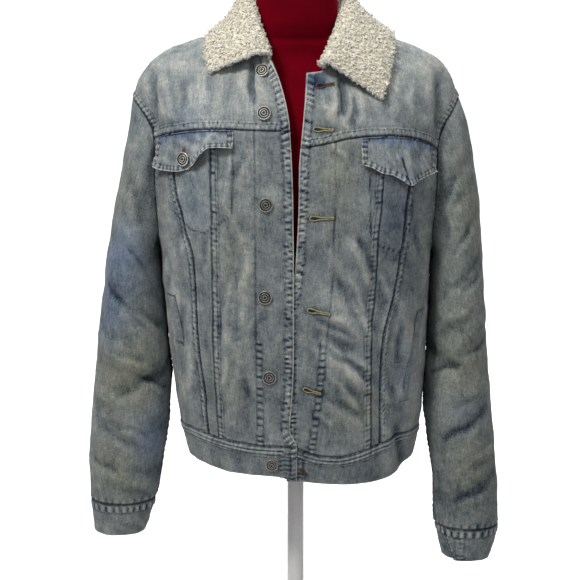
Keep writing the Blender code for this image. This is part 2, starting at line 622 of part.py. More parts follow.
# ---------------------------------------------------------------- trunk panels
def make_trunk(denim):
    for name, side in SIDES.items():
        for part, columns in (("center", CENTER_COLUMNS), ("panel", PANEL_COLUMNS), ("side", SIDE_COLUMNS)):
            s, h = np.meshgrid(columns, BODY_ROWS)
            panel(f"front_{part}_{name}", denim, *cloth(side, False, s, h))
        s, h = np.meshgrid(FRONT_COLUMNS, YOKE_ROWS)
        panel(f"front_yoke_{name}", denim, *cloth(side, False, s, h))
        s, h = np.meshgrid(BACK_SIDE, BODY_ROWS)
        panel(f"back_side_{name}", denim, *cloth(side, True, s, h))
    for name, columns, rows in (
        ("back_center", BACK_CENTER, BODY_ROWS),
        ("back_yoke", BACK_COLUMNS, YOKE_ROWS),
    ):
        panel(name, denim, *joined_back(columns, rows))
    band = [strip(1, False, FRONT_COLUMNS, BAND_ROWS), joined_back(BACK_COLUMNS, BAND_ROWS)]
    band.append(strip(-1, False, FRONT_COLUMNS, BAND_ROWS, flip=True))
    joined = [
        np.concatenate([piece[i][:, start:] for piece, start in zip(band, (0, 1, 1))], axis=1) for i in (0, 1)
    ]
    panel("waistband", denim, *joined)


def strip(side, back, columns, rows, flip=False):
    s, h = np.meshgrid(columns, rows)
    points, normals = cloth(side, back, s, h)
    return (points[:, ::-1], normals[:, ::-1]) if flip else (points, normals)


def joined_back(columns, rows):
    """Points and normals of a back piece from the left side round to the right one."""
    left = strip(1, True, columns, rows, flip=True)
    right = strip(-1, True, columns, rows)
    return tuple(np.concatenate([left[i], right[i][:, 1:]], axis=1) for i in (0, 1))


# ---------------------------------------------------------------- sleeves and cuffs
LAP_SHARE = 0.10  # of a turn, where the cuff laps over itself
CUFF_LAP = {-1: 0.80, 1: 0.40}  # turn where the cuff's outer end lies
CUFF_SLANT = {-1: 0.0, 1: -0.055}  # how far its end leans towards the front at the bottom


def make_sleeves(denim):
    for name, side in SIDES.items():
        back_turns = turn_at_row(side, True, np.concatenate([ARMHOLE_ROWS, YOKE_ROWS[1:]]))
        front_turns = turn_at_row(side, False, np.concatenate([ARMHOLE_ROWS, YOKE_ROWS[1:]]))[::-1]
        split = len(ARMHOLE_ROWS) - 1
        top = np.concatenate([back_turns[split:-1] - 1, front_turns])
        under = back_turns[: split + 1]
        rows = np.concatenate([CAP_ROWS, TUBE_ROWS[1:]])
        for part, turns in (("top", top), ("under", under)):
            turn, k = np.meshgrid(turns, rows)
            panel(f"sleeve_{part}_{name}", denim, *arm_cloth(side, turn, k))


def cuff_points(side, share, k):
    """The cuff band: share 0 its inner end to 1 its outer end, which laps over the start."""
    slant = CUFF_SLANT[side] * (k - 2) * ease((share - 0.8) / 0.2)
    turn = CUFF_LAP[side] - 1 - LAP_SHARE + share * (1 + LAP_SHARE) + slant
    points, normal = arm_cloth(side, turn, k)
    under = (WALL + 0.0009) * (1 - ease((share - 0.115) / 0.2))
    return points - under[..., None] * normal, normal


def make_cuffs(denim):
    for name, side in SIDES.items():
        share, k = np.meshgrid(np.linspace(0.0, 1.0, 27), CUFF_ROWS)
        panel(f"cuff_{name}", denim, *cuff_points(side, share, k))


# ---------------------------------------------------------------- collar
COLLAR_END = {-1: 0.0, 1: 0.20}  # the neckline column where the collar stops in front
COLLAR_LIFT = 0.0016  # clear of the yoke at the neckline
END_LIFT = 0.0030  # and by so much more towards its front ends
FALL_LIFT = 0.0046  # clear of the yoke under the fall
ROLL = Table(
    "w x_R y_R z_R x_L y_L z_L",
    (0.00, 0.000, 0.0560, 0.9555, 0.000, 0.0560, 0.9555),
    (0.25, 0.042, 0.0440, 0.9570, 0.042, 0.0440, 0.9530),
    (0.50, 0.0695, 0.0060, 0.9530, 0.073, 0.0060, 0.9460),
    (0.65, 0.0665, -0.0300, 0.9370, 0.073, -0.0290, 0.9270),
    (0.80, 0.061, -0.0620, 0.9100, 0.067, -0.0620, 0.8990),
    (0.92, 0.053, -0.0860, 0.8860, 0.054, -0.0900, 0.8740),
    (1.00, 0.050, -0.1030, 0.8700, 0.040, -0.1120, 0.8565),
)
# Where the fall's edge lies on the yokes: column, and row counted over the shoulder (1 front yoke seam, 3 back).
FALL = Table(
    "w s_R row_R s_L row_L",
    (0.00, 0.00, 2.30, 0.00, 2.30),
    (0.25, 0.62, 2.26, 0.68, 2.26),
    (0.50, 0.90, 2.14, 1.10, 2.16),
    (0.62, 1.02, 2.00, 1.25, 2.00),
    (0.75, 1.11, 1.87, 1.24, 1.79),
    (0.88, 1.12, 1.66, 1.13, 1.53),
    (1.00, 1.03, 1.46, 0.93, 1.29),
)
ROLL_SHARE = 0.36  # of the collar's rows, from neckline to roll


def over_shoulder(side, s, row):
    """A yoke point and its normal, with the row counted on over the shoulder to the back."""
    front, front_normal = cloth(side, False, s, np.minimum(row, 2.0))
    rear, rear_normal = cloth(side, True, s, np.minimum(4 - row, 2.0))
    ahead = (row <= 2)[..., None]
    return np.where(ahead, front, rear), np.where(ahead, front_normal, rear_normal)


def collar_middle(side, w, t):
    """The surface between pile and under collar: w 0 centre back to 1 front end, t 0 neckline to 1 edge."""
    back_s = np.clip(w / 0.5, 0, 1) * NECK_POINT
    front_s = NECK_POINT + (COLLAR_END[side] - NECK_POINT) * np.clip((w - 0.5) / 0.5, 0, 1)
    rear = body(side, True, back_s, np.full_like(w, 2.0))
    front = body(side, False, front_s, np.full_like(w, 2.0))
    neck = np.where((w < 0.5)[..., None], rear, front)
    neck[..., 2] += COLLAR_LIFT + END_LIFT * ease((w - 0.7) / 0.3)
    row, edge = ROLL.at(w), FALL.at(w)
    tag = "_" + letter(side)
    roll = stack(side * row["x" + tag], row["y" + tag], row["z" + tag])
    end, lean = over_shoulder(side, edge["s" + tag], edge["row" + tag])
    end = end + FALL_LIFT * lean
    out = unit((end - roll) * np.array([1, 1, 0.0]))
    tall = np.linalg.norm(roll - neck, axis=-1, keepdims=True)
    fall = np.linalg.norm(end - roll, axis=-1, keepdims=True)
    up = np.array([0, 0, 1.0])
    bend = np.minimum(0.011, 0.35 * tall)
    stand = bezier((neck, neck + up * 0.45 * tall, roll - out * bend * 0.6 - up * bend * 0.5, roll), t / ROLL_SHARE)
    away = unit(end - roll)
    flat = unit(away - lean * np.sum(away * lean, axis=-1, keepdims=True))
    drape = bezier(
        (roll, roll + out * bend * 1.3 + up * bend * 0.2, end - flat * 0.45 * fall + lean * 0.004, end),
        (t - ROLL_SHARE) / (1 - ROLL_SHARE),
    )
    return np.where((t < ROLL_SHARE)[..., None], stand, drape)


def collar(w, t):
    """Points and pile side normals of the whole collar: w -1 the right front end to 1 the left one."""
    found = []
    for side in SIDES.values():
        place = np.abs(w)
        step = 0.006

        def at(where, along):
            other = collar_middle(-side, np.clip(-where, 0, 1), along)
            same = collar_middle(side, np.clip(where, 0, 1), along)
            return np.where((where < 0)[..., None], other, same)

        points = at(place, t)
        around = at(np.minimum(place + step, 1), t) - at(place - step, t)
        along = at(place, np.minimum(t + step, 1)) - at(place, np.maximum(t - step, 0))
        found.append((points, unit(np.cross(along, around)) * -side))
    right = (w < 0)[..., None]
    return np.where(right, found[0][0], found[1][0]), np.where(right, found[0][1], found[1][1])


def make_collar(sherpa, denim):
    share, t = np.meshgrid(np.linspace(-1, 1, 33), np.linspace(0, 1, 9))
    points, normals = collar(share, t)
    round_edge = np.sqrt(np.clip(1 - (1 - np.minimum(1, (1 - t) / 0.12)) ** 2, 0.05, 1))
    round_end = np.sqrt(np.clip(1 - (1 - np.minimum(1, (1 - np.abs(share)) / 0.07)) ** 2, 0.05, 1))
    thick = PILE * (0.35 + 0.65 * round_edge * round_end)
    overlay("collar_top", sherpa, points, normals, COLLAR_GAP / 2, thick)
    overlay("collar_under", denim, points, normals, -UNDER_COLLAR, -COLLAR_GAP / 2)


# ---------------------------------------------------------------- what lies on the panels
def locate(side, x, z, rows=(-1.0, 2.0)):
    """Column and row of the front's surface at this place, by Newton steps from the nearest sample."""
    s, h = np.meshgrid(np.linspace(0, 3, 61), np.linspace(*rows, 91))
    sample = body(side, False, s, h)
    x, z = np.broadcast_arrays(np.asarray(x, float), np.asarray(z, float))
    flat = (sample[..., 0].ravel() - x.ravel()[:, None]) ** 2 + (sample[..., 2].ravel() - z.ravel()[:, None]) ** 2
    nearest = flat.argmin(axis=1)
    s, h = s.ravel()[nearest], h.ravel()[nearest]
    for _ in range(6):
        here = body(side, False, s, h)
        ds = (body(side, False, s + 1e-4, h) - body(side, False, s - 1e-4, h)) / 2e-4
        dh = (body(side, False, s, h + 1e-4) - body(side, False, s, h - 1e-4)) / 2e-4
        off = np.stack([x.ravel() - here[:, 0], z.ravel() - here[:, 2]])
        spread = ds[:, 0] * dh[:, 2] - ds[:, 2] * dh[:, 0]
        spread = np.where(np.abs(spread) < 1e-6, 1e-6, spread)
        s = np.clip(s + (off[0] * dh[:, 2] - off[1] * dh[:, 0]) / spread, 0, 3)
        h = np.clip(h + (ds[:, 0] * off[1] - ds[:, 2] * off[0]) / spread, *rows)
    return s.reshape(x.shape), h.reshape(x.shape)


def on_front(side, x, z):
    s, h = locate(side, x, z)
    return cloth(side, False, s, h)


# The flaps' ends from the centre plane, and the shape of their lower edges from the inner end to the outer one.
FLAP_SPAN = {-1: (0.0870, 0.1960), 1: (0.0910, 0.1960)}
FLAP_EDGE = Table(
    "share low_R curl_R low_L curl_L",
    (0.00, 0.7370, 0.0060, 0.7145, 0.0040),
    (0.12, 0.7375, 0.0100, 0.7105, 0.0050),
    (0.26, 0.7370, 0.0120, 0.7024, 0.0050),
    (0.38, 0.7290, 0.0100, 0.6998, 0.0060),
    (0.50, 0.7130, 0.0070, 0.6920, 0.0085),
    (0.60, 0.7066, 0.0030, 0.6845, 0.0110),
    (0.74, 0.7030, 0.0030, 0.6900, 0.0060),
    (0.90, 0.7040, 0.0070, 0.6970, 0.0050),
    (1.00, 0.7080, 0.0090, 0.7010, 0.0060),
)
FLAP_DROP = 0.0026  # from the yoke seam to the flap's top
FLAP_THICK = 0.0024


def flap_surface(side, share, fall):
    """Panel points and normals under a flap, with the height that the flap stands off them."""
    inner, outer = FLAP_SPAN[side]
    x = side * (inner + (outer - inner) * share)
    seam = body(side, False, *locate_yoke(side, x))[..., 2] - FLAP_DROP
    edge = FLAP_EDGE.at(share)
    low = edge["low_" + letter(side)]
    points, normals = on_front(side, x, seam + (low - seam) * fall)
    return points, normals, 0.0006 + edge["curl_" + letter(side)] * fall**1.6


def locate_yoke(side, x):
    """Column of the yoke seam at this distance from the centre plane."""
    s = np.linspace(0, 3, 301)
    line = body(side, False, s, np.ones_like(s))[:, 0] * side
    return np.interp(np.asarray(x) * side, line, s), np.ones(np.shape(x))


def make_flaps(denim):
    for name, side in SIDES.items():
        share, fall = np.meshgrid(np.linspace(0, 1, 14), np.linspace(0, 1, 6))
        points, normals, stand = flap_surface(side, share, fall)
        overlay(f"flap_{name}", denim, points, normals, stand, stand + FLAP_THICK)


# Hand pocket welts: upper and lower end on the front, from the centre plane and the floor.
WELTS = {-1: ((0.1810, 0.5200), (0.1690, 0.4550)), 1: ((0.1800, 0.4980), (0.1560, 0.3720))}
WELT_WIDE = 0.0110
WELT_THICK = 0.0018


def make_welts(denim):
    for name, side in SIDES.items():
        (x0, z0), (x1, z1) = WELTS[side]
        across, t = np.meshgrid([-0.5, 0.0, 0.5], np.linspace(0, 1, 8))
        x = x0 + (x1 - x0) * t + WELT_WIDE * across
        points, normals = on_front(side, side * x, z0 + (z1 - z0) * t)
        overlay(f"welt_{name}", denim, points, normals, 0.0006, 0.0006 + WELT_THICK)


# ---------------------------------------------------------------- buttons
BUTTONS = (
    # name, distance from the centre plane, height, across, stand off the cloth, side
    ("button_1", 0.0470, 0.8440, BUTTON_ACROSS, 0.0004, -1),
    ("button_2", 0.0446, 0.7860, BUTTON_ACROSS, 0.0004, -1),
    ("button_3", 0.0420, 0.6600, BUTTON_ACROSS, 0.0004, -1),
    ("button_4", 0.0434, 0.5300, BUTTON_ACROSS, 0.0004, -1),
    ("button_5", 0.0375, 0.4140, BUTTON_ACROSS, 0.0004, -1),
    ("button_waist", 0.0345, 0.2830, WAIST_BUTTON_ACROSS, 0.0004, -1),
    ("button_flap_R", 0.1555, 0.7210, BUTTON_ACROSS, 0.0052, -1),
)


def button_mesh(across, metal):
    """A turned shank button: foot, cap with a rolled rim, a sunk ring and a low boss."""
    r = across / 2
    tall = BUTTON_TALL
    profile = (
        (0.50 * r, 0.0),
        (0.50 * r, 0.30 * tall),
        (0.94 * r, 0.36 * tall),
        (1.00 * r, 0.58 * tall),
        (0.92 * r, 0.86 * tall),
        (0.78 * r, 0.90 * tall),
        (0.66 * r, 0.66 * tall),
        (0.46 * r, 0.66 * tall),
        (0.36 * r, 0.94 * tall),
    )
    bm = bmesh.new()
    verts = [bm.verts.new((0, 0, 0))] + [bm.verts.new((x, 0, z)) for x, z in profile]
    verts.append(bm.verts.new((0, 0, tall)))
    edges = [bm.edges.new(pair) for pair in zip(verts, verts[1:])]
    bmesh.ops.spin(
        bm,
        geom=verts + edges,
        cent=(0, 0, 0),
        axis=(0, 0, 1),
        angle=2 * math.pi,
        steps=12,
        use_merge=True,
    )
    bmesh.ops.remove_doubles(bm, verts=bm.verts[:], dist=1e-6)
    bmesh.ops.recalc_face_normals(bm, faces=bm.faces[:])
    return bm


def place_button(name, metal, across, point, normal, stand):
    bm = button_mesh(across, metal)
    made = finish_object(name, metal, bm)
    turn = Vector((0, 0, 1)).rotation_difference(Vector(normal))
    made.location = Vector(point) + Vector(normal) * stand
    made.rotation_mode = "QUATERNION"
    made.rotation_quaternion = turn


def make_buttons(metal):
    for name, away, z, across, stand, side in BUTTONS:
        points, normals = on_front(side, np.array([side * away]), np.array([z]))
        place_button(name, metal, across, points[0], normals[0], stand)


# ---------------------------------------------------------------- the dress form
FORM = Table(
    "z half front back power middle",
    (0.266, 0.1180, 0.0740, 0.0740, 2.2, 0.000),
    (0.268, 0.1300, 0.0840, 0.0830, 2.2, 0.000),
    (0.276, 0.1385, 0.0930, 0.0910, 2.2, 0.000),
    (0.310, 0.1440, 0.1000, 0.0970, 2.2, 0.000),
    (0.380, 0.1450, 0.1020, 0.0980, 2.2, 0.000),
    (0.450, 0.1480, 0.1040, 0.0990, 2.2, 0.000),
    (0.540, 0.1620, 0.1150, 0.1080, 2.25, 0.000),
    (0.630, 0.1800, 0.1250, 0.1200, 2.3, 0.000),
    (0.700, 0.1890, 0.1230, 0.1240, 2.3, 0.000),
    (0.760, 0.1940, 0.1120, 0.1160, 2.2, 0.000),
    (0.800, 0.1960, 0.0960, 0.0990, 2.1, 0.000),
    (0.825, 0.1960, 0.0820, 0.0830, 1.9, 0.000),
    (0.845, 0.1900, 0.0700, 0.0690, 1.75, 0.000),
    (0.858, 0.1790, 0.0620, 0.0590, 1.65, 0.000),
    (0.870, 0.1560, 0.0560, 0.0520, 1.6, -0.002),
    (0.880, 0.1250, 0.0540, 0.0500, 1.6, -0.004),
    (0.889, 0.0850, 0.0500, 0.0490, 1.7, -0.007),
    (0.898, 0.0660, 0.0500, 0.0500, 1.9, -0.011),
    (0.912, 0.0595, 0.0510, 0.0510, 2.0, -0.014),
    (0.935, 0.0590, 0.0515, 0.0510, 2.0, -0.014),
    (0.995, 0.0585, 0.0515, 0.0510, 2.0, -0.014),
    (1.003, 0.0565, 0.0495, 0.0490, 2.0, -0.014),
    (1.006, 0.0525, 0.0455, 0.0450, 2.0, -0.014),
)
NECK_SHIFT = 0.001  # the neck leans this far to the wearer's left
FORM_AROUND = 30


def make_form(velvet, steel):
    """Torso and neck as one smooth body from a ring bridged up through FORM's heights, with a pole and base."""
    bm = bmesh.new()
    loops = []
    for z in FORM.keys:
        ring = bmesh.ops.create_circle(bm, cap_ends=False, radius=1.0, segments=FORM_AROUND)["verts"]
        row = FORM.at(z)
        shift = NECK_SHIFT * float(ease((z - 0.87) / 0.05))
        for vert in ring:
            away, ahead = vert.co.x, -vert.co.y
            depth = row["front"] if ahead > 0 else row["back"]
            power = 2 / float(row["power"])
            vert.co = (
                shift + math.copysign(abs(away) ** power, away) * float(row["half"]),
                float(row["middle"]) - math.copysign(abs(ahead) ** power, ahead) * float(depth),
                z,
            )
        loops.append([edge for edge in {e for v in ring for e in v.link_edges}])
    for low, high in zip(loops, loops[1:]):
        bmesh.ops.bridge_loops(bm, edges=low + high)
    bmesh.ops.contextual_create(bm, geom=loops[0])
    bmesh.ops.contextual_create(bm, geom=loops[-1])
    bmesh.ops.recalc_face_normals(bm, faces=bm.faces[:])
    finish_object("form_torso", velvet, bm)

    bottom, top = BASE_THICK + SEAM_GAP, float(FORM.keys[0]) - SEAM_GAP
    bm = bmesh.new()
    middle = Matrix.Translation((0, 0, (bottom + top) / 2))
    bmesh.ops.create_cone(
        bm, cap_ends=True, segments=24, radius1=POLE_RADIUS, radius2=POLE_RADIUS, depth=top - bottom, matrix=middle
    )
    finish_object("form_pole", steel, bm)

    bm = bmesh.new()
    bmesh.ops.create_cone(
        bm,
        cap_ends=True,
        segments=48,
        radius1=BASE_RADIUS,
        radius2=BASE_RADIUS,
        depth=BASE_THICK,
        matrix=Matrix.Translation((0, 0, BASE_THICK / 2)),
    )
    rim = [e for e in bm.edges if all(v.co.z > BASE_THICK - 1e-5 for v in e.verts)]
    bmesh.ops.bevel(bm, geom=rim, offset=0.003, segments=1, profile=0.5, affect="EDGES", material=-1)
    finish_object("form_base", steel, bm)


# ---------------------------------------------------------------- the scene
def clear_scene():
    for thing in list(bpy.data.objects):
        bpy.data.objects.remove(thing, do_unlink=True)
    group = bpy.data.collections.new("sherpa lined jacket")
    bpy.context.scene.collection.children.link(group)


def make_material(name, colour, roughness, metallic=0.0):
    material = bpy.data.materials.new(name)
    material.use_nodes = True
    shader = material.node_tree.nodes["Principled BSDF"]
    shader.inputs["Base Color"].default_value = (*colour, 1.0)
    shader.inputs["Roughness"].default_value = roughness
    shader.inputs["Metallic"].default_value = metallic
    return material


def main():
    clear_scene()
    denim = make_material("washed denim", (0.28, 0.34, 0.38), 0.9)
    sherpa = make_material("sherpa pile", (0.80, 0.75, 0.66), 1.0)
    metal = make_material("antique silver", (0.35, 0.34, 0.32), 0.45, 0.9)
    velvet = make_material("red velvet", (0.16, 0.003, 0.012), 0.85)
    steel = make_material("white painted steel", (0.85, 0.85, 0.84), 0.4)
    make_trunk(denim)
    make_sleeves(denim)
    make_cuffs(denim)
    make_collar(sherpa, denim)
    make_flaps(denim)
    make_welts(denim)
    make_buttons(metal)
    make_form(velvet, steel)


main()
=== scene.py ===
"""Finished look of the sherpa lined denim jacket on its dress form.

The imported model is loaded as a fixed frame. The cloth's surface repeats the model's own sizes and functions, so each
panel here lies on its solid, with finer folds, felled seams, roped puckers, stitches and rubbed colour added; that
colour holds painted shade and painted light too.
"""

import math

import bmesh
import bpy
import numpy as np
from mathutils import Matrix, Vector


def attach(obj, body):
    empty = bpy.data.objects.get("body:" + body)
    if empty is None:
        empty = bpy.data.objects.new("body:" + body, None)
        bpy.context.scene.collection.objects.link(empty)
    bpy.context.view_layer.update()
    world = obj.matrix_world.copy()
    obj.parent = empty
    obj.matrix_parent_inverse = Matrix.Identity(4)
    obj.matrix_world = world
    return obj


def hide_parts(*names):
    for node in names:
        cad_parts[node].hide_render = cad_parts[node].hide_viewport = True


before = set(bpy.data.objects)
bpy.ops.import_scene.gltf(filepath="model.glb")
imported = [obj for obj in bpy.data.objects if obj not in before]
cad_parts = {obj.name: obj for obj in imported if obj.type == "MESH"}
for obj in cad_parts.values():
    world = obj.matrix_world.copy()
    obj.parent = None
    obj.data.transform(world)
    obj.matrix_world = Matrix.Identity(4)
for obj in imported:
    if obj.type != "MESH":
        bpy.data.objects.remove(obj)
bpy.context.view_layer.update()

bl_info = {
    "name": "Sherpa lined jacket",
    "version": (1, 0, 0),
    "blender": (4, 5, 0),
    "location": "View3D > Sidebar > Jacket",
    "description": "Denim jacket with a pile collar, hanging open on a dress form",
    "category": "Add Mesh",
}

WALL = 0.0028
SEAM_GAP = 0.0003
PILE = 0.0080
UNDER_COLLAR = 0.0024
COLLAR_GAP = 0.0012
LAP_OVER = 0.0018
LAP_UNDER = 0.0022
CAP_END = 0.560
STEP = 0.004
SIDES = {"R": -1, "L": 1}
BUTTON_ACROSS = 0.0200
WAIST_BUTTON_ACROSS = 0.0180
BUTTON_TALL = 0.0042
POLE_RADIUS = 0.0125
BASE_RADIUS = 0.130
BASE_THICK = 0.010


class Table:
    """Rows of sizes under named columns, read between the rows along a smooth curve that never overshoots."""

    def __init__(self, names, *rows):
        data = np.array(rows, float)
        self.names = names.split()[1:]
        self.keys = data[:, 0]
        self.values = data[:, 1:]
        steps = np.diff(self.keys)[:, None]
        rise = np.diff(self.values, axis=0) / steps
        slopes = np.zeros_like(self.values)
        slopes[0], slopes[-1] = rise[0], rise[-1]
        before, after = rise[:-1], rise[1:]
        same_way = before * after > 0
        total = np.where(same_way, before + after, 1.0)
        slopes[1:-1] = np.where(same_way, 2 * before * after / total, 0.0)
        self.slopes = slopes

        places = np.linspace(self.keys[0], self.keys[-1], 6001)
        self.fine = self.read(places)
        self.step = places[1] - places[0]
        self.rises = np.diff(self.fine, axis=0, append=self.fine[-1:])

    def read(self, key):
        row = np.clip(np.searchsorted(self.keys, key, "right") - 1, 0, len(self.keys) - 2)
        step = (self.keys[row + 1] - self.keys[row])[..., None]
        t = (key - self.keys[row])[..., None] / step
        low, high = self.values[row], self.values[row + 1]
        low_slope, high_slope = self.slopes[row] * step, self.slopes[row + 1] * step
        return (
            low * (1 + 2 * t) * (1 - t) ** 2
            + low_slope * t * (1 - t) ** 2
            + high * t**2 * (3 - 2 * t)
            + high_slope * t**2 * (t - 1)
        )

    def at(self, key):
        place = (np.clip(np.asarray(key, float), self.keys[0], self.keys[-1]) - self.keys[0]) / self.step
        row = place.astype(int)
        found = self.fine[row] + self.rises[row] * (place - row)[..., None]
        return {name: found[..., i] for i, name in enumerate(self.names)}


# ---------------------------------------------------------------- the trunk's tables
# Half widths to each side and depths to front and back of the trunk's rings, with the power of the superellipse.
RINGS = Table(
    "z half_R half_L front back power",
    (0.250, 0.1570, 0.1750, 0.1250, 0.1200, 2.35),
    (0.300, 0.1690, 0.1850, 0.1310, 0.1240, 2.35),
    (0.350, 0.1790, 0.1915, 0.1350, 0.1275, 2.38),
    (0.400, 0.1860, 0.1945, 0.1380, 0.1300, 2.40),
    (0.450, 0.1910, 0.1970, 0.1400, 0.1325, 2.42),
    (0.500, 0.1945, 0.1985, 0.1415, 0.1355, 2.45),
    (0.550, 0.1980, 0.1995, 0.1425, 0.1385, 2.45),
    (0.600, 0.2030, 0.2030, 0.1430, 0.1410, 2.45),
    (0.650, 0.2090, 0.2090, 0.1425, 0.1425, 2.45),
    (0.700, 0.2110, 0.2110, 0.1390, 0.1430, 2.42),
    (0.770, 0.2110, 0.2110, 0.1300, 0.1395, 2.40),
)
# Distance of each lengthwise seam from the centre plane: front edge, the two slanted seams of the front.
SEAMS_R = Table(
    "z edge inner outer",
    (0.250, -0.0016, 0.1110, 0.1240),
    (0.310, -0.0016, 0.1120, 0.1265),
    (0.335, 0.0085, 0.1130, 0.1280),
    (0.388, 0.0050, 0.1155, 0.1315),
    (0.443, 0.0030, 0.1180, 0.1390),
    (0.485, 0.0030, 0.1185, 0.1420),
    (0.583, 0.0030, 0.1190, 0.1470),
    (0.625, 0.0035, 0.1190, 0.1580),
    (0.666, 0.0040, 0.1195, 0.1680),
    (0.700, 0.0050, 0.1200, 0.1740),
    (0.765, 0.0085, 0.1205, 0.1800),
)
SEAMS_L = Table(
    "z edge inner outer",
    (0.250, -0.0140, 0.1080, 0.1205),
    (0.314, -0.0140, 0.1090, 0.1215),
    (0.415, -0.0140, 0.1075, 0.1215),
    (0.472, -0.0130, 0.1080, 0.1250),
    (0.515, -0.0100, 0.1110, 0.1350),
    (0.565, -0.0020, 0.1140, 0.1460),
    (0.614, 0.0015, 0.1165, 0.1525),
    (0.666, 0.0035, 0.1210, 0.1580),
    (0.710, 0.0040, 0.1235, 0.1640),
    (0.755, 0.0077, 0.1265, 0.1700),
)
BACK_SEAM = Table("z away", (0.250, 0.0700), (0.310, 0.0750), (0.765, 0.1300))
# Where the side seam, and above it the two edges of the armhole, lie: in quarter turns from the front centre.
ARMHOLE = Table(
    "z front back",
    (0.250, 1.040, 1.040),
    (0.597, 1.040, 1.040),
    (0.603, 0.950, 1.120),
    (0.615, 0.875, 1.185),
    (0.640, 0.838, 1.235),
    (0.680, 0.828, 1.260),
    (0.750, 0.830, 1.250),
)
UNDERARM = (1.040, 0.597)  # quarter turn and height in ARMHOLE where its two edges part
# Heights of the three crosswise lines by quarter turn.
CROSS_SEAMS = Table(
    "turn hem_R waist_R yoke_R hem_L waist_L yoke_L",
    (0.00, 0.2563, 0.3110, 0.7620, 0.2555, 0.3064, 0.7380),
    (0.09, 0.2645, 0.3109, 0.7620, 0.2520, 0.2950, 0.7440),
    (0.18, 0.2650, 0.3115, 0.7630, 0.2505, 0.2936, 0.7510),
    (0.28, 0.2655, 0.3140, 0.7640, 0.2490, 0.2980, 0.7540),
    (0.38, 0.2665, 0.3170, 0.7633, 0.2492, 0.3055, 0.7545),
    (0.50, 0.2700, 0.3210, 0.7605, 0.2510, 0.3145, 0.7520),
    (0.66, 0.2730, 0.3250, 0.7550, 0.2620, 0.3175, 0.7440),
    (0.83, 0.2745, 0.3240, 0.7476, 0.2700, 0.3180, 0.7325),
    (1.04, 0.2750, 0.3230, 0.7450, 0.2720, 0.3180, 0.7345),
    (1.25, 0.2720, 0.3210, 0.7440, 0.2700, 0.3175, 0.7380),
    (1.60, 0.2660, 0.3180, 0.7570, 0.2660, 0.3160, 0.7550),
    (2.00, 0.2620, 0.3160, 0.7650, 0.2620, 0.3160, 0.7650),
)
# The top edge of the yokes and the way the cloth arrives there (arrive_*), for the fronts; arrive_y turns on the back.
# s 0 is the front edge (centre back on the back), NECK_POINT where neckline meets shoulder, 3 the armhole's top.
NECK_POINT = 0.75
TOP_NAMES = "s x y z arrive_x arrive_y arrive_z"
RIDGE = Table(
    TOP_NAMES,
    (0.75, 0.0780, -0.0080, 0.9070, 0.002, 0.045, 0.016),
    (1.00, 0.1120, -0.0040, 0.8990, 0.000, 0.052, 0.010),
    (1.50, 0.1580, -0.0020, 0.8860, 0.000, 0.050, 0.010),
    (2.00, 0.2000, 0.0000, 0.8680, 0.002, 0.044, 0.010),
    (2.50, 0.2265, 0.0000, 0.8400, 0.004, 0.034, 0.010),
    (3.00, 0.2405, 0.0000, 0.8070, 0.006, 0.026, 0.010),
)
NECK_R = Table(
    TOP_NAMES,
    (0.00, 0.0400, -0.0980, 0.8610, 0.014, 0.004, 0.010),
    (0.25, 0.0480, -0.0850, 0.8740, 0.008, 0.010, 0.026),
    (0.50, 0.0620, -0.0560, 0.8920, 0.005, 0.024, 0.026),
    (0.75, 0.0780, -0.0080, 0.9070, 0.002, 0.045, 0.016),
)
NECK_L = Table(
    TOP_NAMES,
    (0.00, 0.0156, -0.1120, 0.8418, 0.002, 0.006, 0.030),
    (0.20, 0.0380, -0.0990, 0.8450, 0.004, 0.008, 0.030),
    (0.35, 0.0490, -0.0820, 0.8680, 0.006, 0.014, 0.028),
    (0.55, 0.0640, -0.0520, 0.8910, 0.005, 0.026, 0.024),
    (0.75, 0.0780, -0.0080, 0.9070, 0.002, 0.045, 0.016),
)
NECK_BACK = Table(
    TOP_NAMES,
    (0.00, 0.0000, 0.0690, 0.9140, 0.000, 0.022, 0.034),
    (0.25, 0.0300, 0.0630, 0.9140, 0.000, 0.022, 0.034),
    (0.50, 0.0570, 0.0400, 0.9110, 0.001, 0.030, 0.028),
    (0.75, 0.0780, -0.0080, 0.9070, 0.002, 0.045, 0.016),
)
# How long the cloth runs straight up from the yoke seam before it bends over.
RISE = Table("s up", (0.0, 0.036), (1.0, 0.055), (2.0, 0.044), (3.0, 0.022))

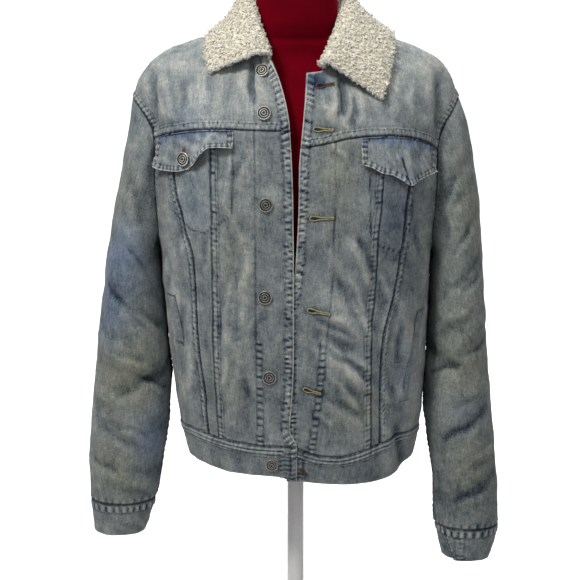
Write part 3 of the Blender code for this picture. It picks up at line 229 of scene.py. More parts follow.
# Large folds of the trunk: ends and breadth in metres from the centre plane and the floor, out is + and in is -.
BODY_FOLDS = (
    # side, back, x0, z0, x1, z1, breadth, out
    (-1, False, 0.2080, 0.838, 0.2060, 0.762, 0.0085, -0.0060),
    (-1, False, 0.1900, 0.830, 0.1880, 0.775, 0.0110, 0.0025),
    (-1, False, 0.0880, 0.610, 0.0990, 0.470, 0.0130, -0.0035),
    (-1, False, 0.0700, 0.600, 0.0800, 0.420, 0.0160, 0.0035),
    (-1, False, 0.0740, 0.400, 0.0690, 0.335, 0.0100, -0.0035),
    (-1, False, 0.0960, 0.410, 0.0920, 0.335, 0.0120, 0.0030),
    (-1, False, 0.1600, 0.560, 0.1750, 0.400, 0.0140, -0.0035),
    (-1, False, 0.0300, 0.330, 0.0260, 0.380, 0.0100, -0.0025),
    (1, False, 0.2080, 0.832, 0.2070, 0.760, 0.0085, -0.0060),
    (1, False, 0.1900, 0.825, 0.1880, 0.770, 0.0110, 0.0025),
    (1, False, 0.0700, 0.835, 0.0760, 0.775, 0.0120, -0.0030),
    (1, False, 0.0740, 0.605, 0.1030, 0.545, 0.0120, 0.0038),
    (1, False, 0.0600, 0.560, 0.0950, 0.500, 0.0120, -0.0032),
    (1, False, 0.0300, 0.476, 0.0850, 0.455, 0.0110, -0.0036),
    (1, False, 0.0420, 0.445, 0.1000, 0.395, 0.0130, 0.0038),
    (1, False, 0.0350, 0.388, 0.0950, 0.350, 0.0110, -0.0034),
    (1, False, 0.1450, 0.520, 0.1700, 0.420, 0.0130, 0.0032),
    (1, False, 0.1480, 0.330, 0.1620, 0.262, 0.0090, -0.0055),
    (1, False, 0.1300, 0.330, 0.1380, 0.262, 0.0090, 0.0035),
    (-1, True, 0.1500, 0.700, 0.1150, 0.560, 0.0160, -0.0040),
    (-1, True, 0.0700, 0.520, 0.0900, 0.380, 0.0150, 0.0035),
    (-1, True, 0.1350, 0.480, 0.1500, 0.360, 0.0150, -0.0035),
    (1, True, 0.1550, 0.690, 0.1200, 0.570, 0.0160, -0.0040),
    (1, True, 0.0600, 0.560, 0.0750, 0.400, 0.0150, 0.0035),
    (1, True, 0.1400, 0.460, 0.1480, 0.350, 0.0150, -0.0032),
)

# ---------------------------------------------------------------- the sleeves' tables
# Outer and inner edge of each arm ring, its middle and half depth front to back.
SLEEVE_R = Table(
    "z outer inner middle deep",
    (0.1500, 0.3080, 0.2300, -0.015, 0.0400),
    (0.2000, 0.3130, 0.2140, -0.015, 0.0455),
    (0.2500, 0.3145, 0.2040, -0.014, 0.0490),
    (0.3000, 0.3125, 0.1955, -0.012, 0.0520),
    (0.3500, 0.3080, 0.1900, -0.009, 0.0555),
    (0.4000, 0.3025, 0.1880, -0.006, 0.0600),
    (0.4500, 0.2970, 0.1927, -0.003, 0.0660),
    (0.5000, 0.2910, 0.1963, 0.000, 0.0715),
    (0.5600, 0.2835, 0.2010, 0.004, 0.0740),
)
SLEEVE_L = Table(
    "z outer inner middle deep",
    (0.1100, 0.2990, 0.2220, -0.017, 0.0400),
    (0.1610, 0.3105, 0.2125, -0.016, 0.0465),
    (0.2000, 0.3095, 0.2110, -0.015, 0.0485),
    (0.2500, 0.3055, 0.2075, -0.014, 0.0515),
    (0.3000, 0.3005, 0.2000, -0.012, 0.0545),
    (0.3500, 0.2960, 0.1945, -0.009, 0.0585),
    (0.4000, 0.2920, 0.1964, -0.006, 0.0630),
    (0.4500, 0.2870, 0.1988, -0.003, 0.0690),
    (0.5000, 0.2835, 0.2004, 0.000, 0.0730),
    (0.5600, 0.2800, 0.2022, 0.004, 0.0745),
)
CUFF_SEAM = {-1: 0.200, 1: 0.161}
CUFF_END = {-1: 0.150, 1: 0.110}
# Which way the cap's cloth leaves the armhole, by turn round it: 0 top, 0.25 front, 0.5 underarm, 0.75 back.
LEAVE = Table(
    "turn out_R out_L y z",
    (0.00, 0.004, 0.012, 0.000, -0.030),
    (0.15, 0.008, 0.013, -0.012, -0.028),
    (0.30, 0.014, 0.016, -0.013, -0.020),
    (0.42, 0.010, 0.010, -0.009, -0.016),
    (0.50, 0.005, 0.005, 0.000, -0.012),
    (0.58, 0.010, 0.010, 0.009, -0.016),
    (0.70, 0.014, 0.016, 0.013, -0.020),
    (0.85, 0.008, 0.013, 0.012, -0.028),
    (1.00, 0.004, 0.012, 0.000, -0.030),
)
ARM_BLEND = 0.30  # share of the cap over which its wall turns from the seam's way to its own
CORNER_BLEND = 0.03  # rows up from the underarm over which front and back share one wall direction
ARM_ROUND = 0.38  # metres round the arm, which turns a fold's turn into a length
SLEEVE_FOLDS = (
    # side, turn0, z0, turn1, z1, breadth, out
    (-1, 0.08, 0.690, 0.28, 0.640, 0.0130, -0.0032),
    (-1, 0.16, 0.520, 0.42, 0.470, 0.0130, -0.0040),
    (-1, 0.05, 0.455, 0.30, 0.410, 0.0120, 0.0030),
    (-1, 0.22, 0.375, 0.47, 0.410, 0.0120, -0.0042),
    (-1, 0.10, 0.330, 0.34, 0.285, 0.0120, -0.0030),
    (-1, 0.20, 0.245, 0.40, 0.225, 0.0100, 0.0028),
    (-1, 0.62, 0.480, 0.90, 0.440, 0.0140, -0.0040),
    (-1, 0.66, 0.380, 0.88, 0.350, 0.0140, -0.0035),
    (1, 0.06, 0.720, 0.26, 0.655, 0.0130, -0.0034),
    (1, 0.10, 0.575, 0.36, 0.520, 0.0130, -0.0038),
    (1, 0.06, 0.490, 0.30, 0.440, 0.0120, 0.0030),
    (1, 0.20, 0.400, 0.46, 0.440, 0.0120, -0.0042),
    (1, 0.08, 0.350, 0.34, 0.300, 0.0120, -0.0036),
    (1, 0.04, 0.250, 0.28, 0.215, 0.0110, -0.0030),
    (1, 0.62, 0.500, 0.90, 0.455, 0.0140, -0.0040),
    (1, 0.66, 0.370, 0.88, 0.330, 0.0140, -0.0035),
)

BACK_SPLIT = 1.25  # the column of the back's slanted seam
ARM_ROW = 0.645  # the row at the underarm


def unit(vectors):
    return vectors / np.maximum(np.linalg.norm(vectors, axis=-1, keepdims=True), 1e-12)


def ease(t):
    t = np.clip(t, 0.0, 1.0)
    return t * t * (3 - 2 * t)


def stack(x, y, z):
    return np.stack(np.broadcast_arrays(x, y, z), axis=-1)


def bezier(points, t):
    a, b, c, d = points
    t = np.asarray(t)[..., None]
    return a * (1 - t) ** 3 + 3 * b * t * (1 - t) ** 2 + 3 * c * t**2 * (1 - t) + d * t**3


def letter(side):
    return "R" if side < 0 else "L"


# ---------------------------------------------------------------- the trunk's surface
def turn_of(away, half, power):
    """Quarter turns from the front centre to a point this far from the centre plane."""
    ratio = np.clip(away / half, -1.0, 1.0)
    return np.arcsin(np.sign(ratio) * np.abs(ratio) ** (power / 2)) / (math.pi / 2)


def armhole_turn(side, back, z):
    """Quarter turn of the side seam and the armhole's edge, with the table's underarm put at row ARM_ROW."""
    lines = CROSS_SEAMS.at(UNDERARM[0])
    waist, yoke = (lines[name + "_" + letter(side)] for name in ("waist", "yoke"))
    start = waist + (yoke - waist) * ARM_ROW
    return ARMHOLE.at(z - start + UNDERARM[1])["back" if back else "front"]


def column_turn(side, back, s, z):
    """Quarter turns of column s at height z."""
    ring = RINGS.at(z)
    half = ring["half_" + letter(side)]
    if back:
        split = 2 - turn_of(BACK_SEAM.at(z)["away"], half, ring["power"])
        marks = [2 + 0 * split, split, armhole_turn(side, back, z)]
        places = [0.0, BACK_SPLIT, 3.0]
    else:
        seams = (SEAMS_R if side < 0 else SEAMS_L).at(z)
        marks = [turn_of(seams[name], half, ring["power"]) for name in ("edge", "inner", "outer")]
        marks.append(armhole_turn(side, back, z))
        places = [0.0, 1.0, 2.0, 3.0]
    found = marks[0] + 0 * s
    for low, high, a, b in zip(marks, marks[1:], places, places[1:]):
        found = found + (high - low) * np.clip((s - a) / (b - a), 0.0, 1.0)
    return found


def ring_point(side, turn, z):
    ring = RINGS.at(z)
    angle = turn * math.pi / 2
    away, ahead = np.sin(angle), np.cos(angle)
    depth = np.where(ahead > 0, ring["front"], ring["back"])
    x = side * ring["half_" + letter(side)] * np.sign(away) * np.abs(away) ** (2 / ring["power"])
    y = -depth * np.sign(ahead) * np.abs(ahead) ** (2 / ring["power"])
    return stack(x, y, z)


def trunk(side, back, s, h):
    """The trunk below the yoke seam: h -1 hem, 0 waistband seam, 1 yoke seam."""
    z = np.where(h < 0, 0.310 + 0.050 * h, 0.310 + 0.445 * h)
    for _ in range(2):
        turn = column_turn(side, back, s, z)
        lines = CROSS_SEAMS.at(turn)
        hem, waist, yoke = (lines[name + "_" + letter(side)] for name in ("hem", "waist", "yoke"))
        z = np.where(h < 0, waist + (waist - hem) * h, waist + (yoke - waist) * h)
    return ring_point(side, column_turn(side, back, s, z), z)


def body(side, back, s, h):
    """The jacket's trunk surface: column s 0 to 3 and row h -1 to 2, where 1 is the yoke seam and 2 the top edge."""
    s, h = np.broadcast_arrays(np.asarray(s, float), np.asarray(h, float))
    low = trunk(side, back, s, np.minimum(h, 1.0))
    start = trunk(side, back, s, np.ones_like(s))
    climb = unit(start - trunk(side, back, s, np.full_like(s, 0.98)))
    neck, ridge = (NECK_BACK if back else NECK_R if side < 0 else NECK_L).at(s), RIDGE.at(s)
    top = {name: np.where(s < NECK_POINT, neck[name], ridge[name]) for name in ridge}
    end = stack(side * top["x"], top["y"], top["z"])
    arrive = stack(side * top["arrive_x"], top["arrive_y"] * (-1 if back else 1), top["arrive_z"])
    rise = RISE.at(s)["up"][..., None]
    over = bezier((start, start + climb * rise, end - arrive, end), np.clip(h - 1, 0.0, 1.0))
    return np.where((h > 1)[..., None], over, low)


def beyond(side, back, s, h):
    """The surface past a panel's own half: round the side seam, the centre back and over the shoulder."""
    s, h = np.broadcast_arrays(np.asarray(s, float), np.asarray(h, float))
    found = body(side, back, np.clip(s, 0.0, 3.0), np.clip(h, -1.0, 2.0))
    past_side = (s > 3) & (h < ARM_ROW)
    if past_side.any():
        other = body(side, not back, np.clip(6 - s, 0.0, 3.0), h)
        found = np.where(past_side[..., None], other, found)
    past_center = (s < 0) & np.full(s.shape, back)
    if past_center.any():
        other = body(-side, back, np.clip(-s, 0.0, 3.0), h)
        found = np.where(past_center[..., None], other, found)
    past_ridge = (h > 2) & (s >= NECK_POINT)
    if past_ridge.any():
        other = body(side, not back, s, np.clip(4 - h, -1.0, 2.0))
        found = np.where(past_ridge[..., None], other, found)
    return found


def body_normal(side, back, s, h):
    across = beyond(side, back, s + STEP, h) - beyond(side, back, s - STEP, h)
    along = beyond(side, back, s, h + STEP) - beyond(side, back, s, h - STEP)
    normal = unit(np.cross(across, along))
    return -normal if (side < 0) != back else normal


def fold_depth(folds, along, z):
    """Sum of soft troughs and ridges, each fading out towards its ends."""
    total = np.zeros(np.broadcast(along, z).shape)
    for a0, z0, a1, z1, breadth, out in folds:
        run = np.array([a1 - a0, z1 - z0])
        length = np.hypot(*run)
        t = ((along - a0) * run[0] + (z - z0) * run[1]) / length**2
        off = ((along - a0) * run[1] - (z - z0) * run[0]) / length
        ends = ease(np.clip(t + 0.25, 0, 1) / 0.4) * ease(np.clip(1.25 - t, 0, 1) / 0.4)
        total = total + out * ends * np.exp(-((off / breadth) ** 2))
    return total


def lap(side, x, z):
    """How far the right front stands out over the left one near the centre."""
    low_down = ease((0.635 - z) / 0.060)
    near = ease((0.075 - np.abs(x)) / 0.055)
    return (LAP_OVER if side < 0 else -LAP_UNDER) * low_down * near


def cloth(side, back, s, h):
    """Outer points of the trunk with its folds, and the direction of its wall."""
    points = body(side, back, s, h)
    normal = body_normal(side, back, s, h)
    at_armhole = (s > 3 - 1e-6) & (h > ARM_ROW - 1e-6) & np.ones(points.shape[:-1], bool)
    if at_armhole.any():
        shared = armhole_normal(side, back, np.broadcast_to(h, at_armhole.shape))
        normal = np.where(at_armhole[..., None], shared, normal)
    away, z = np.abs(points[..., 0]), points[..., 2]
    folds = [row[2:] for row in BODY_FOLDS if row[:2] == (side, back)]
    out = fold_depth(folds, away, z)
    if not back:
        out = out + lap(side, points[..., 0], z)
    return points + out[..., None] * normal, normal


# ---------------------------------------------------------------- the sleeves' surface
def armhole_turns(side):
    """Turn round the armhole against the row of the front and of the back, by length along it."""
    rows = np.linspace(ARM_ROW, 2.0, 160)
    found = {}
    for back in (False, True):
        line = body(side, back, np.full_like(rows, 3.0), rows)
        length = np.concatenate([[0], np.cumsum(np.linalg.norm(np.diff(line, axis=0), axis=1))])
        share = 0.5 * length / length[-1]
        found[back] = (rows, 0.5 + share if back else 0.5 - share)
    return found


ARMHOLE_TURNS = {side: armhole_turns(side) for side in SIDES.values()}


def turn_at_row(side, back, h):
    rows, turns = ARMHOLE_TURNS[side][back]
    return np.interp(h, rows, turns)


def armhole_point(side, turn):
    turn = np.mod(turn, 1.0)
    rows, fronts = ARMHOLE_TURNS[side][False]
    _, backs = ARMHOLE_TURNS[side][True]
    front = body(side, False, np.full_like(turn, 3.0), np.interp(turn, fronts[::-1], rows[::-1]))
    rear = body(side, True, np.full_like(turn, 3.0), np.interp(turn, backs, rows))
    return np.where((turn <= 0.5)[..., None], front, rear)


def arm_ring(side, turn, z):
    ring = (SLEEVE_R if side < 0 else SLEEVE_L).at(z)
    middle = (ring["outer"] + ring["inner"]) / 2
    half = (ring["outer"] - ring["inner"]) / 2
    angle = 2 * math.pi * turn
    return stack(side * (middle + half * np.cos(angle)), ring["middle"] - ring["deep"] * np.sin(angle), z)


def sleeve(side, turn, k):
    """The sleeve surface: turn round it as in LEAVE, k 0 armhole, 1 cap's end, 2 cuff seam, 3 cuff's end."""
    turn, k = np.broadcast_arrays(np.asarray(turn, float), np.asarray(k, float))
    seam, end = CUFF_SEAM[side], CUFF_END[side]
    z = np.where(k < 2, CAP_END + (seam - CAP_END) * (k - 1), seam + (end - seam) * (k - 2))
    tube = arm_ring(side, turn, np.minimum(z, CAP_END))
    start = armhole_point(side, turn)
    finish = arm_ring(side, turn, np.full_like(turn, CAP_END))
    leave = LEAVE.at(np.mod(turn, 1.0))
    way = unit(stack(side * leave["out_" + letter(side)], leave["y"], leave["z"]))
    reach = np.linalg.norm(finish - start, axis=-1, keepdims=True) / 3
    above = arm_ring(side, turn, np.full_like(turn, CAP_END - 0.01))
    drop = unit(finish - above)
    cap = bezier((start, start + way * reach, finish + drop * reach, finish), np.clip(k, 0.0, 1.0))
    return np.where((k < 1)[..., None], cap, tube)


def sleeve_normal(side, turn, k):
    around = sleeve(side, turn + STEP, k) - sleeve(side, turn - STEP, k)
    down = sleeve(side, turn, np.clip(k + STEP, 0, 3)) - sleeve(side, turn, np.clip(k - STEP, 0, 3))
    normal = unit(np.cross(around, down))
    return normal * side


def armhole_normal(side, back, h):
    """The half-way direction between trunk and sleeve along their seam, the same for front and back at the underarm."""

    def between(behind, row):
        trunk_way = body_normal(side, behind, np.full(row.shape, 3.0), row)
        sleeve_way = sleeve_normal(side, turn_at_row(side, behind, row), np.zeros(row.shape))
        total = trunk_way + sleeve_way
        short = np.clip(1 - np.linalg.norm(total, axis=-1), 0, 1)
        total[..., 2] -= 0.6 * short
        return unit(total)

    corner = np.full(h.shape, ARM_ROW)
    both = unit(between(False, corner) + between(True, corner))
    share = (1 - ease((h - ARM_ROW) / CORNER_BLEND))[..., None]
    return unit(between(back, h) * (1 - share) + both * share)


def arm_cloth(side, turn, k):
    points = sleeve(side, turn, k)
    normal = sleeve_normal(side, turn, k)
    share = 1 - ease(k / ARM_BLEND) + np.zeros(points.shape[:-1])
    if (share > 0).any():
        around = np.mod(np.broadcast_to(turn, share.shape), 1.0)
        front_rows, fronts = ARMHOLE_TURNS[side][False]
        back_rows, backs = ARMHOLE_TURNS[side][True]
        front = armhole_normal(side, False, np.interp(around, fronts[::-1], front_rows[::-1]))
        rear = armhole_normal(side, True, np.interp(around, backs, back_rows))
        shared = np.where((around <= 0.5)[..., None], front, rear)
        normal = unit(normal + (shared - normal) * share[..., None])
    z = points[..., 2]
    folds = [
        (t0 * ARM_ROUND, z0, t1 * ARM_ROUND, z1, breadth, out)
        for owner, t0, z0, t1, z1, breadth, out in SLEEVE_FOLDS
        if owner == side
    ]
    clear = ease(k / 0.5)
    out = fold_depth(folds, np.mod(turn, 1.0) * ARM_ROUND, z) * clear
    return points + out[..., None] * normal, normal


# ---------------------------------------------------------------- the collar's surface
COLLAR_END = {-1: 0.0, 1: 0.20}  # the neckline column where the collar stops in front
COLLAR_LIFT = 0.0016  # clear of the yoke at the neckline
END_LIFT = 0.0030  # and by so much more towards its front ends
FALL_LIFT = 0.0046  # clear of the yoke under the fall
ROLL = Table(
    "w x_R y_R z_R x_L y_L z_L",
    (0.00, 0.000, 0.0560, 0.9555, 0.000, 0.0560, 0.9555),
    (0.25, 0.042, 0.0440, 0.9570, 0.042, 0.0440, 0.9530),
    (0.50, 0.0695, 0.0060, 0.9530, 0.073, 0.0060, 0.9460),
    (0.65, 0.0665, -0.0300, 0.9370, 0.073, -0.0290, 0.9270),
    (0.80, 0.061, -0.0620, 0.9100, 0.067, -0.0620, 0.8990),
    (0.92, 0.053, -0.0860, 0.8860, 0.054, -0.0900, 0.8740),
    (1.00, 0.050, -0.1030, 0.8700, 0.040, -0.1120, 0.8565),
)
# Where the fall's edge lies on the yokes: column, and row counted over the shoulder (1 front yoke seam, 3 back).
FALL = Table(
    "w s_R row_R s_L row_L",
    (0.00, 0.00, 2.30, 0.00, 2.30),
    (0.25, 0.62, 2.26, 0.68, 2.26),
    (0.50, 0.90, 2.14, 1.10, 2.16),
    (0.62, 1.02, 2.00, 1.25, 2.00),
    (0.75, 1.11, 1.87, 1.24, 1.79),
    (0.88, 1.12, 1.66, 1.13, 1.53),
    (1.00, 1.03, 1.46, 0.93, 1.29),
)
ROLL_SHARE = 0.36  # of the collar's rows, from neckline to roll


def over_shoulder(side, s, row):
    """A yoke point and its normal, with the row counted on over the shoulder to the back."""
    front, front_normal = cloth(side, False, s, np.minimum(row, 2.0))
    rear, rear_normal = cloth(side, True, s, np.minimum(4 - row, 2.0))
    ahead = (row <= 2)[..., None]
    return np.where(ahead, front, rear), np.where(ahead, front_normal, rear_normal)


def collar_middle(side, w, t):
    """The surface between pile and under collar: w 0 centre back to 1 front end, t 0 neckline to 1 edge."""
    back_s = np.clip(w / 0.5, 0, 1) * NECK_POINT
    front_s = NECK_POINT + (COLLAR_END[side] - NECK_POINT) * np.clip((w - 0.5) / 0.5, 0, 1)
    rear = body(side, True, back_s, np.full_like(w, 2.0))
    front = body(side, False, front_s, np.full_like(w, 2.0))
    neck = np.where((w < 0.5)[..., None], rear, front)
    neck[..., 2] += COLLAR_LIFT + END_LIFT * ease((w - 0.7) / 0.3)
    row, edge = ROLL.at(w), FALL.at(w)
    tag = "_" + letter(side)
    roll = stack(side * row["x" + tag], row["y" + tag], row["z" + tag])
    end, lean = over_shoulder(side, edge["s" + tag], edge["row" + tag])
    end = end + FALL_LIFT * lean
    out = unit((end - roll) * np.array([1, 1, 0.0]))
    tall = np.linalg.norm(roll - neck, axis=-1, keepdims=True)
    fall = np.linalg.norm(end - roll, axis=-1, keepdims=True)
    up = np.array([0, 0, 1.0])
    bend = np.minimum(0.011, 0.35 * tall)
    stand = bezier((neck, neck + up * 0.45 * tall, roll - out * bend * 0.6 - up * bend * 0.5, roll), t / ROLL_SHARE)
    away = unit(end - roll)
    flat = unit(away - lean * np.sum(away * lean, axis=-1, keepdims=True))
    drape = bezier(
        (roll, roll + out * bend * 1.3 + up * bend * 0.2, end - flat * 0.45 * fall + lean * 0.004, end),
        (t - ROLL_SHARE) / (1 - ROLL_SHARE),
    )
    return np.where((t < ROLL_SHARE)[..., None], stand, drape)


def collar(w, t):
    """Points and pile side normals of the whole collar: w -1 the right front end to 1 the left one."""
    found = []
    for side in SIDES.values():
        place = np.abs(w)
        step = 0.006

        def at(where, along):
            other = collar_middle(-side, np.clip(-where, 0, 1), along)
            same = collar_middle(side, np.clip(where, 0, 1), along)
            return np.where((where < 0)[..., None], other, same)

        points = at(place, t)
        around = at(np.minimum(place + step, 1), t) - at(place - step, t)
        along = at(place, np.minimum(t + step, 1)) - at(place, np.maximum(t - step, 0))
        found.append((points, unit(np.cross(along, around)) * -side))
    right = (w < 0)[..., None]
    return np.where(right, found[0][0], found[1][0]), np.where(right, found[0][1], found[1][1])


# ---------------------------------------------------------------- the cuffs' surface
LAP_SHARE = 0.10  # of a turn, where the cuff laps over itself
CUFF_LAP = {-1: 0.80, 1: 0.40}  # turn where the cuff's outer end lies
CUFF_SLANT = {-1: 0.0, 1: -0.055}  # how far its end leans towards the front at the bottom


def cuff_points(side, share, k):
    """The cuff band: share 0 its inner end to 1 its outer end, which laps over the start."""
    slant = CUFF_SLANT[side] * (k - 2) * ease((share - 0.8) / 0.2)
    turn = CUFF_LAP[side] - 1 - LAP_SHARE + share * (1 + LAP_SHARE) + slant
    points, normal = arm_cloth(side, turn, k)
    under = (WALL + 0.0009) * (1 - ease((share - 0.115) / 0.2))
    return points - under[..., None] * normal, normal


# ---------------------------------------------------------------- places on the fronts
def locate(side, x, z, rows=(-1.0, 2.0)):
    """Column and row of the front's surface at this place, by Newton steps from the nearest sample."""
    s, h = np.meshgrid(np.linspace(0, 3, 61), np.linspace(*rows, 91))
    sample = body(side, False, s, h)
    x, z = np.broadcast_arrays(np.asarray(x, float), np.asarray(z, float))
    flat = (sample[..., 0].ravel() - x.ravel()[:, None]) ** 2 + (sample[..., 2].ravel() - z.ravel()[:, None]) ** 2
    nearest = flat.argmin(axis=1)
    s, h = s.ravel()[nearest], h.ravel()[nearest]
    for _ in range(6):
        here = body(side, False, s, h)
        ds = (body(side, False, s + 1e-4, h) - body(side, False, s - 1e-4, h)) / 2e-4
        dh = (body(side, False, s, h + 1e-4) - body(side, False, s, h - 1e-4)) / 2e-4
        off = np.stack([x.ravel() - here[:, 0], z.ravel() - here[:, 2]])
        spread = ds[:, 0] * dh[:, 2] - ds[:, 2] * dh[:, 0]
        spread = np.where(np.abs(spread) < 1e-6, 1e-6, spread)
        s = np.clip(s + (off[0] * dh[:, 2] - off[1] * dh[:, 0]) / spread, 0, 3)
        h = np.clip(h + (ds[:, 0] * off[1] - ds[:, 2] * off[0]) / spread, *rows)
    return s.reshape(x.shape), h.reshape(x.shape)


def on_front(side, x, z):
    s, h = locate(side, x, z)
    return cloth(side, False, s, h)


# The flaps' ends from the centre plane, and the shape of their lower edges from the inner end to the outer one.
FLAP_SPAN = {-1: (0.0870, 0.1960), 1: (0.0910, 0.1960)}
FLAP_EDGE = Table(
    "share low_R curl_R low_L curl_L",
    (0.00, 0.7370, 0.0060, 0.7145, 0.0040),
    (0.12, 0.7375, 0.0100, 0.7105, 0.0050),
    (0.26, 0.7370, 0.0120, 0.7024, 0.0050),
    (0.38, 0.7290, 0.0100, 0.6998, 0.0060),
    (0.50, 0.7130, 0.0070, 0.6920, 0.0085),
    (0.60, 0.7066, 0.0030, 0.6845, 0.0110),
    (0.74, 0.7030, 0.0030, 0.6900, 0.0060),
    (0.90, 0.7040, 0.0070, 0.6970, 0.0050),
    (1.00, 0.7080, 0.0090, 0.7010, 0.0060),
)
FLAP_DROP = 0.0026  # from the yoke seam to the flap's top
FLAP_THICK = 0.0024


def flap_surface(side, share, fall):
    """Panel points and normals under a flap, with the height that the flap stands off them."""
    inner, outer = FLAP_SPAN[side]
    x = side * (inner + (outer - inner) * share)
    seam = body(side, False, *locate_yoke(side, x))[..., 2] - FLAP_DROP
    edge = FLAP_EDGE.at(share)
    low = edge["low_" + letter(side)]
    points, normals = on_front(side, x, seam + (low - seam) * fall)
    return points, normals, 0.0006 + edge["curl_" + letter(side)] * fall**1.6


def locate_yoke(side, x):
    """Column of the yoke seam at this distance from the centre plane."""
    s = np.linspace(0, 3, 301)
    line = body(side, False, s, np.ones_like(s))[:, 0] * side
    return np.interp(np.asarray(x) * side, line, s), np.ones(np.shape(x))


WELTS = {-1: ((0.1810, 0.5200), (0.1690, 0.4550)), 1: ((0.1800, 0.4980), (0.1560, 0.3720))}
WELT_WIDE = 0.0110
WELT_THICK = 0.0018


BUTTONS = (
    # name, distance from the centre plane, height, across, stand off the cloth, side
    ("button_1", 0.0470, 0.8440, BUTTON_ACROSS, 0.0004, -1),
    ("button_2", 0.0446, 0.7860, BUTTON_ACROSS, 0.0004, -1),
    ("button_3", 0.0420, 0.6600, BUTTON_ACROSS, 0.0004, -1),
    ("button_4", 0.0434, 0.5300, BUTTON_ACROSS, 0.0004, -1),
    ("button_5", 0.0375, 0.4140, BUTTON_ACROSS, 0.0004, -1),
    ("button_waist", 0.0345, 0.2830, WAIST_BUTTON_ACROSS, 0.0004, -1),
    ("button_flap_R", 0.1555, 0.7210, BUTTON_ACROSS, 0.0052, -1),
)


# ---------------------------------------------------------------- the form's rings
FORM = Table(
    "z half front back power middle",
    (0.266, 0.1180, 0.0740, 0.0740, 2.2, 0.000),
    (0.268, 0.1300, 0.0840, 0.0830, 2.2, 0.000),
    (0.276, 0.1385, 0.0930, 0.0910, 2.2, 0.000),
    (0.310, 0.1440, 0.1000, 0.0970, 2.2, 0.000),
    (0.380, 0.1450, 0.1020, 0.0980, 2.2, 0.000),
    (0.450, 0.1480, 0.1040, 0.0990, 2.2, 0.000),
    (0.540, 0.1620, 0.1150, 0.1080, 2.25, 0.000),
    (0.630, 0.1800, 0.1250, 0.1200, 2.3, 0.000),
    (0.700, 0.1890, 0.1230, 0.1240, 2.3, 0.000),
    (0.760, 0.1940, 0.1120, 0.1160, 2.2, 0.000),
    (0.800, 0.1960, 0.0960, 0.0990, 2.1, 0.000),
    (0.825, 0.1960, 0.0820, 0.0830, 1.9, 0.000),
    (0.845, 0.1900, 0.0700, 0.0690, 1.75, 0.000),
    (0.858, 0.1790, 0.0620, 0.0590, 1.65, 0.000),
    (0.870, 0.1560, 0.0560, 0.0520, 1.6, -0.002),
    (0.880, 0.1250, 0.0540, 0.0500, 1.6, -0.004),
    (0.889, 0.0850, 0.0500, 0.0490, 1.7, -0.007),
    (0.898, 0.0660, 0.0500, 0.0500, 1.9, -0.011),
    (0.912, 0.0595, 0.0510, 0.0510, 2.0, -0.014),
    (0.935, 0.0590, 0.0515, 0.0510, 2.0, -0.014),
    (0.995, 0.0585, 0.0515, 0.0510, 2.0, -0.014),
    (1.003, 0.0565, 0.0495, 0.0490, 2.0, -0.014),
    (1.006, 0.0525, 0.0455, 0.0450, 2.0, -0.014),
)
NECK_SHIFT = 0.001  # the neck leans this far to the wearer's left


# ---------------------------------------------------------------- relief: felled seams, puckers and creases
# Grid spacing: beside a seam, close, on the front, on the sleeves and on the back.
FINE, CLOSE, PLAIN, WIDE, REAR = 0.0017, 0.0026, 0.0034, 0.0048, 0.0052
BAND = 0.0095  # width of a felled seam
DENT = 0.0009  # breadth of the groove that a row of stitches sinks
FELLED = (0.0016, 0.0078)  # rows of stitches, measured in from a felled seam
EDGE_ROWS = (0.0024, 0.0118)  # the same along the front edge
YOKE_ROWS = (0.0018, 0.0096)  # and on the yoke


def bell(off, width):
    """1 in the middle, falling away smoothly to both sides."""
    return np.exp(-((off / width) ** 2))


def lengths_along(points):
    """Length from the first point of a line to each of its points."""
    return np.concatenate([[0.0], np.cumsum(np.linalg.norm(np.diff(points, axis=0), axis=1))])


def read_along(at, length, values):
    """The values of a line's points, read at other lengths along it."""
    return np.stack([np.interp(at, length, values[:, i]) for i in range(3)], axis=1)


def graded(low, high, length, near=(True, True), coarse=PLAIN, margin=0.012):
    """Places from low to high over this real length, close together beside the ends that carry a seam."""
    dense = np.linspace(0.0, length, 800)
    gap = np.full(dense.shape, coarse)
    for wanted, off in zip(near, (dense, length - dense)):
        if wanted:
            gap = np.minimum(gap, FINE + (coarse - FINE) * ease((off - margin) / 0.012))
    count = np.concatenate([[0.0], np.cumsum((1 / gap[1:] + 1 / gap[:-1]) / 2 * np.diff(dense))])
    steps = max(2, int(math.ceil(count[-1])))
    places = np.interp(np.linspace(0.0, count[-1], steps + 1), count, dense)
    return low + (high - low) * places / length


def joined(first, second):
    """Two stretches of places that share the one between them."""
    return np.concatenate([first, second[1:]])


def wander(t, seed):
    """A smooth line between about -1 and 1 that never repeats."""
    waves = np.sin(t + 1.7 * seed) + np.sin(1.618 * t + 2.9 * seed + 1.3) + np.sin(2.414 * t + 4.3 * seed + 0.7)
    return waves * 0.45


class Line:
    """A line on the cloth that distance and length are measured from."""

    def __init__(self, points, gap=0.0012):
        length = lengths_along(points)
        self.length = np.linspace(0.0, length[-1], max(4, int(length[-1] / gap)))
        self.points = read_along(self.length, length, points)
        self.ways = unit(np.gradient(self.points, axis=0))

    def measure(self, points, batch=4000):
        """Distance from the line and length along it, for every point."""
        flat = points.reshape(-1, 3)
        nearest = np.empty(len(flat), int)
        squares = (self.points**2).sum(axis=1)
        for start in range(0, len(flat), batch):
            part = flat[start : start + batch]
            nearest[start : start + batch] = (squares - 2 * part @ self.points.T).argmin(axis=1)
        off = flat - self.points[nearest]
        ahead = np.sum(off * self.ways[nearest], axis=1)
        away = np.linalg.norm(off - ahead[:, None] * self.ways[nearest], axis=1)
        inside = np.clip(self.length[nearest] + ahead, 0.0, self.length[-1])
        beyond_end = np.abs(self.length[nearest] + ahead - inside)
        return np.hypot(away, beyond_end).reshape(points.shape[:-1]), inside.reshape(points.shape[:-1])


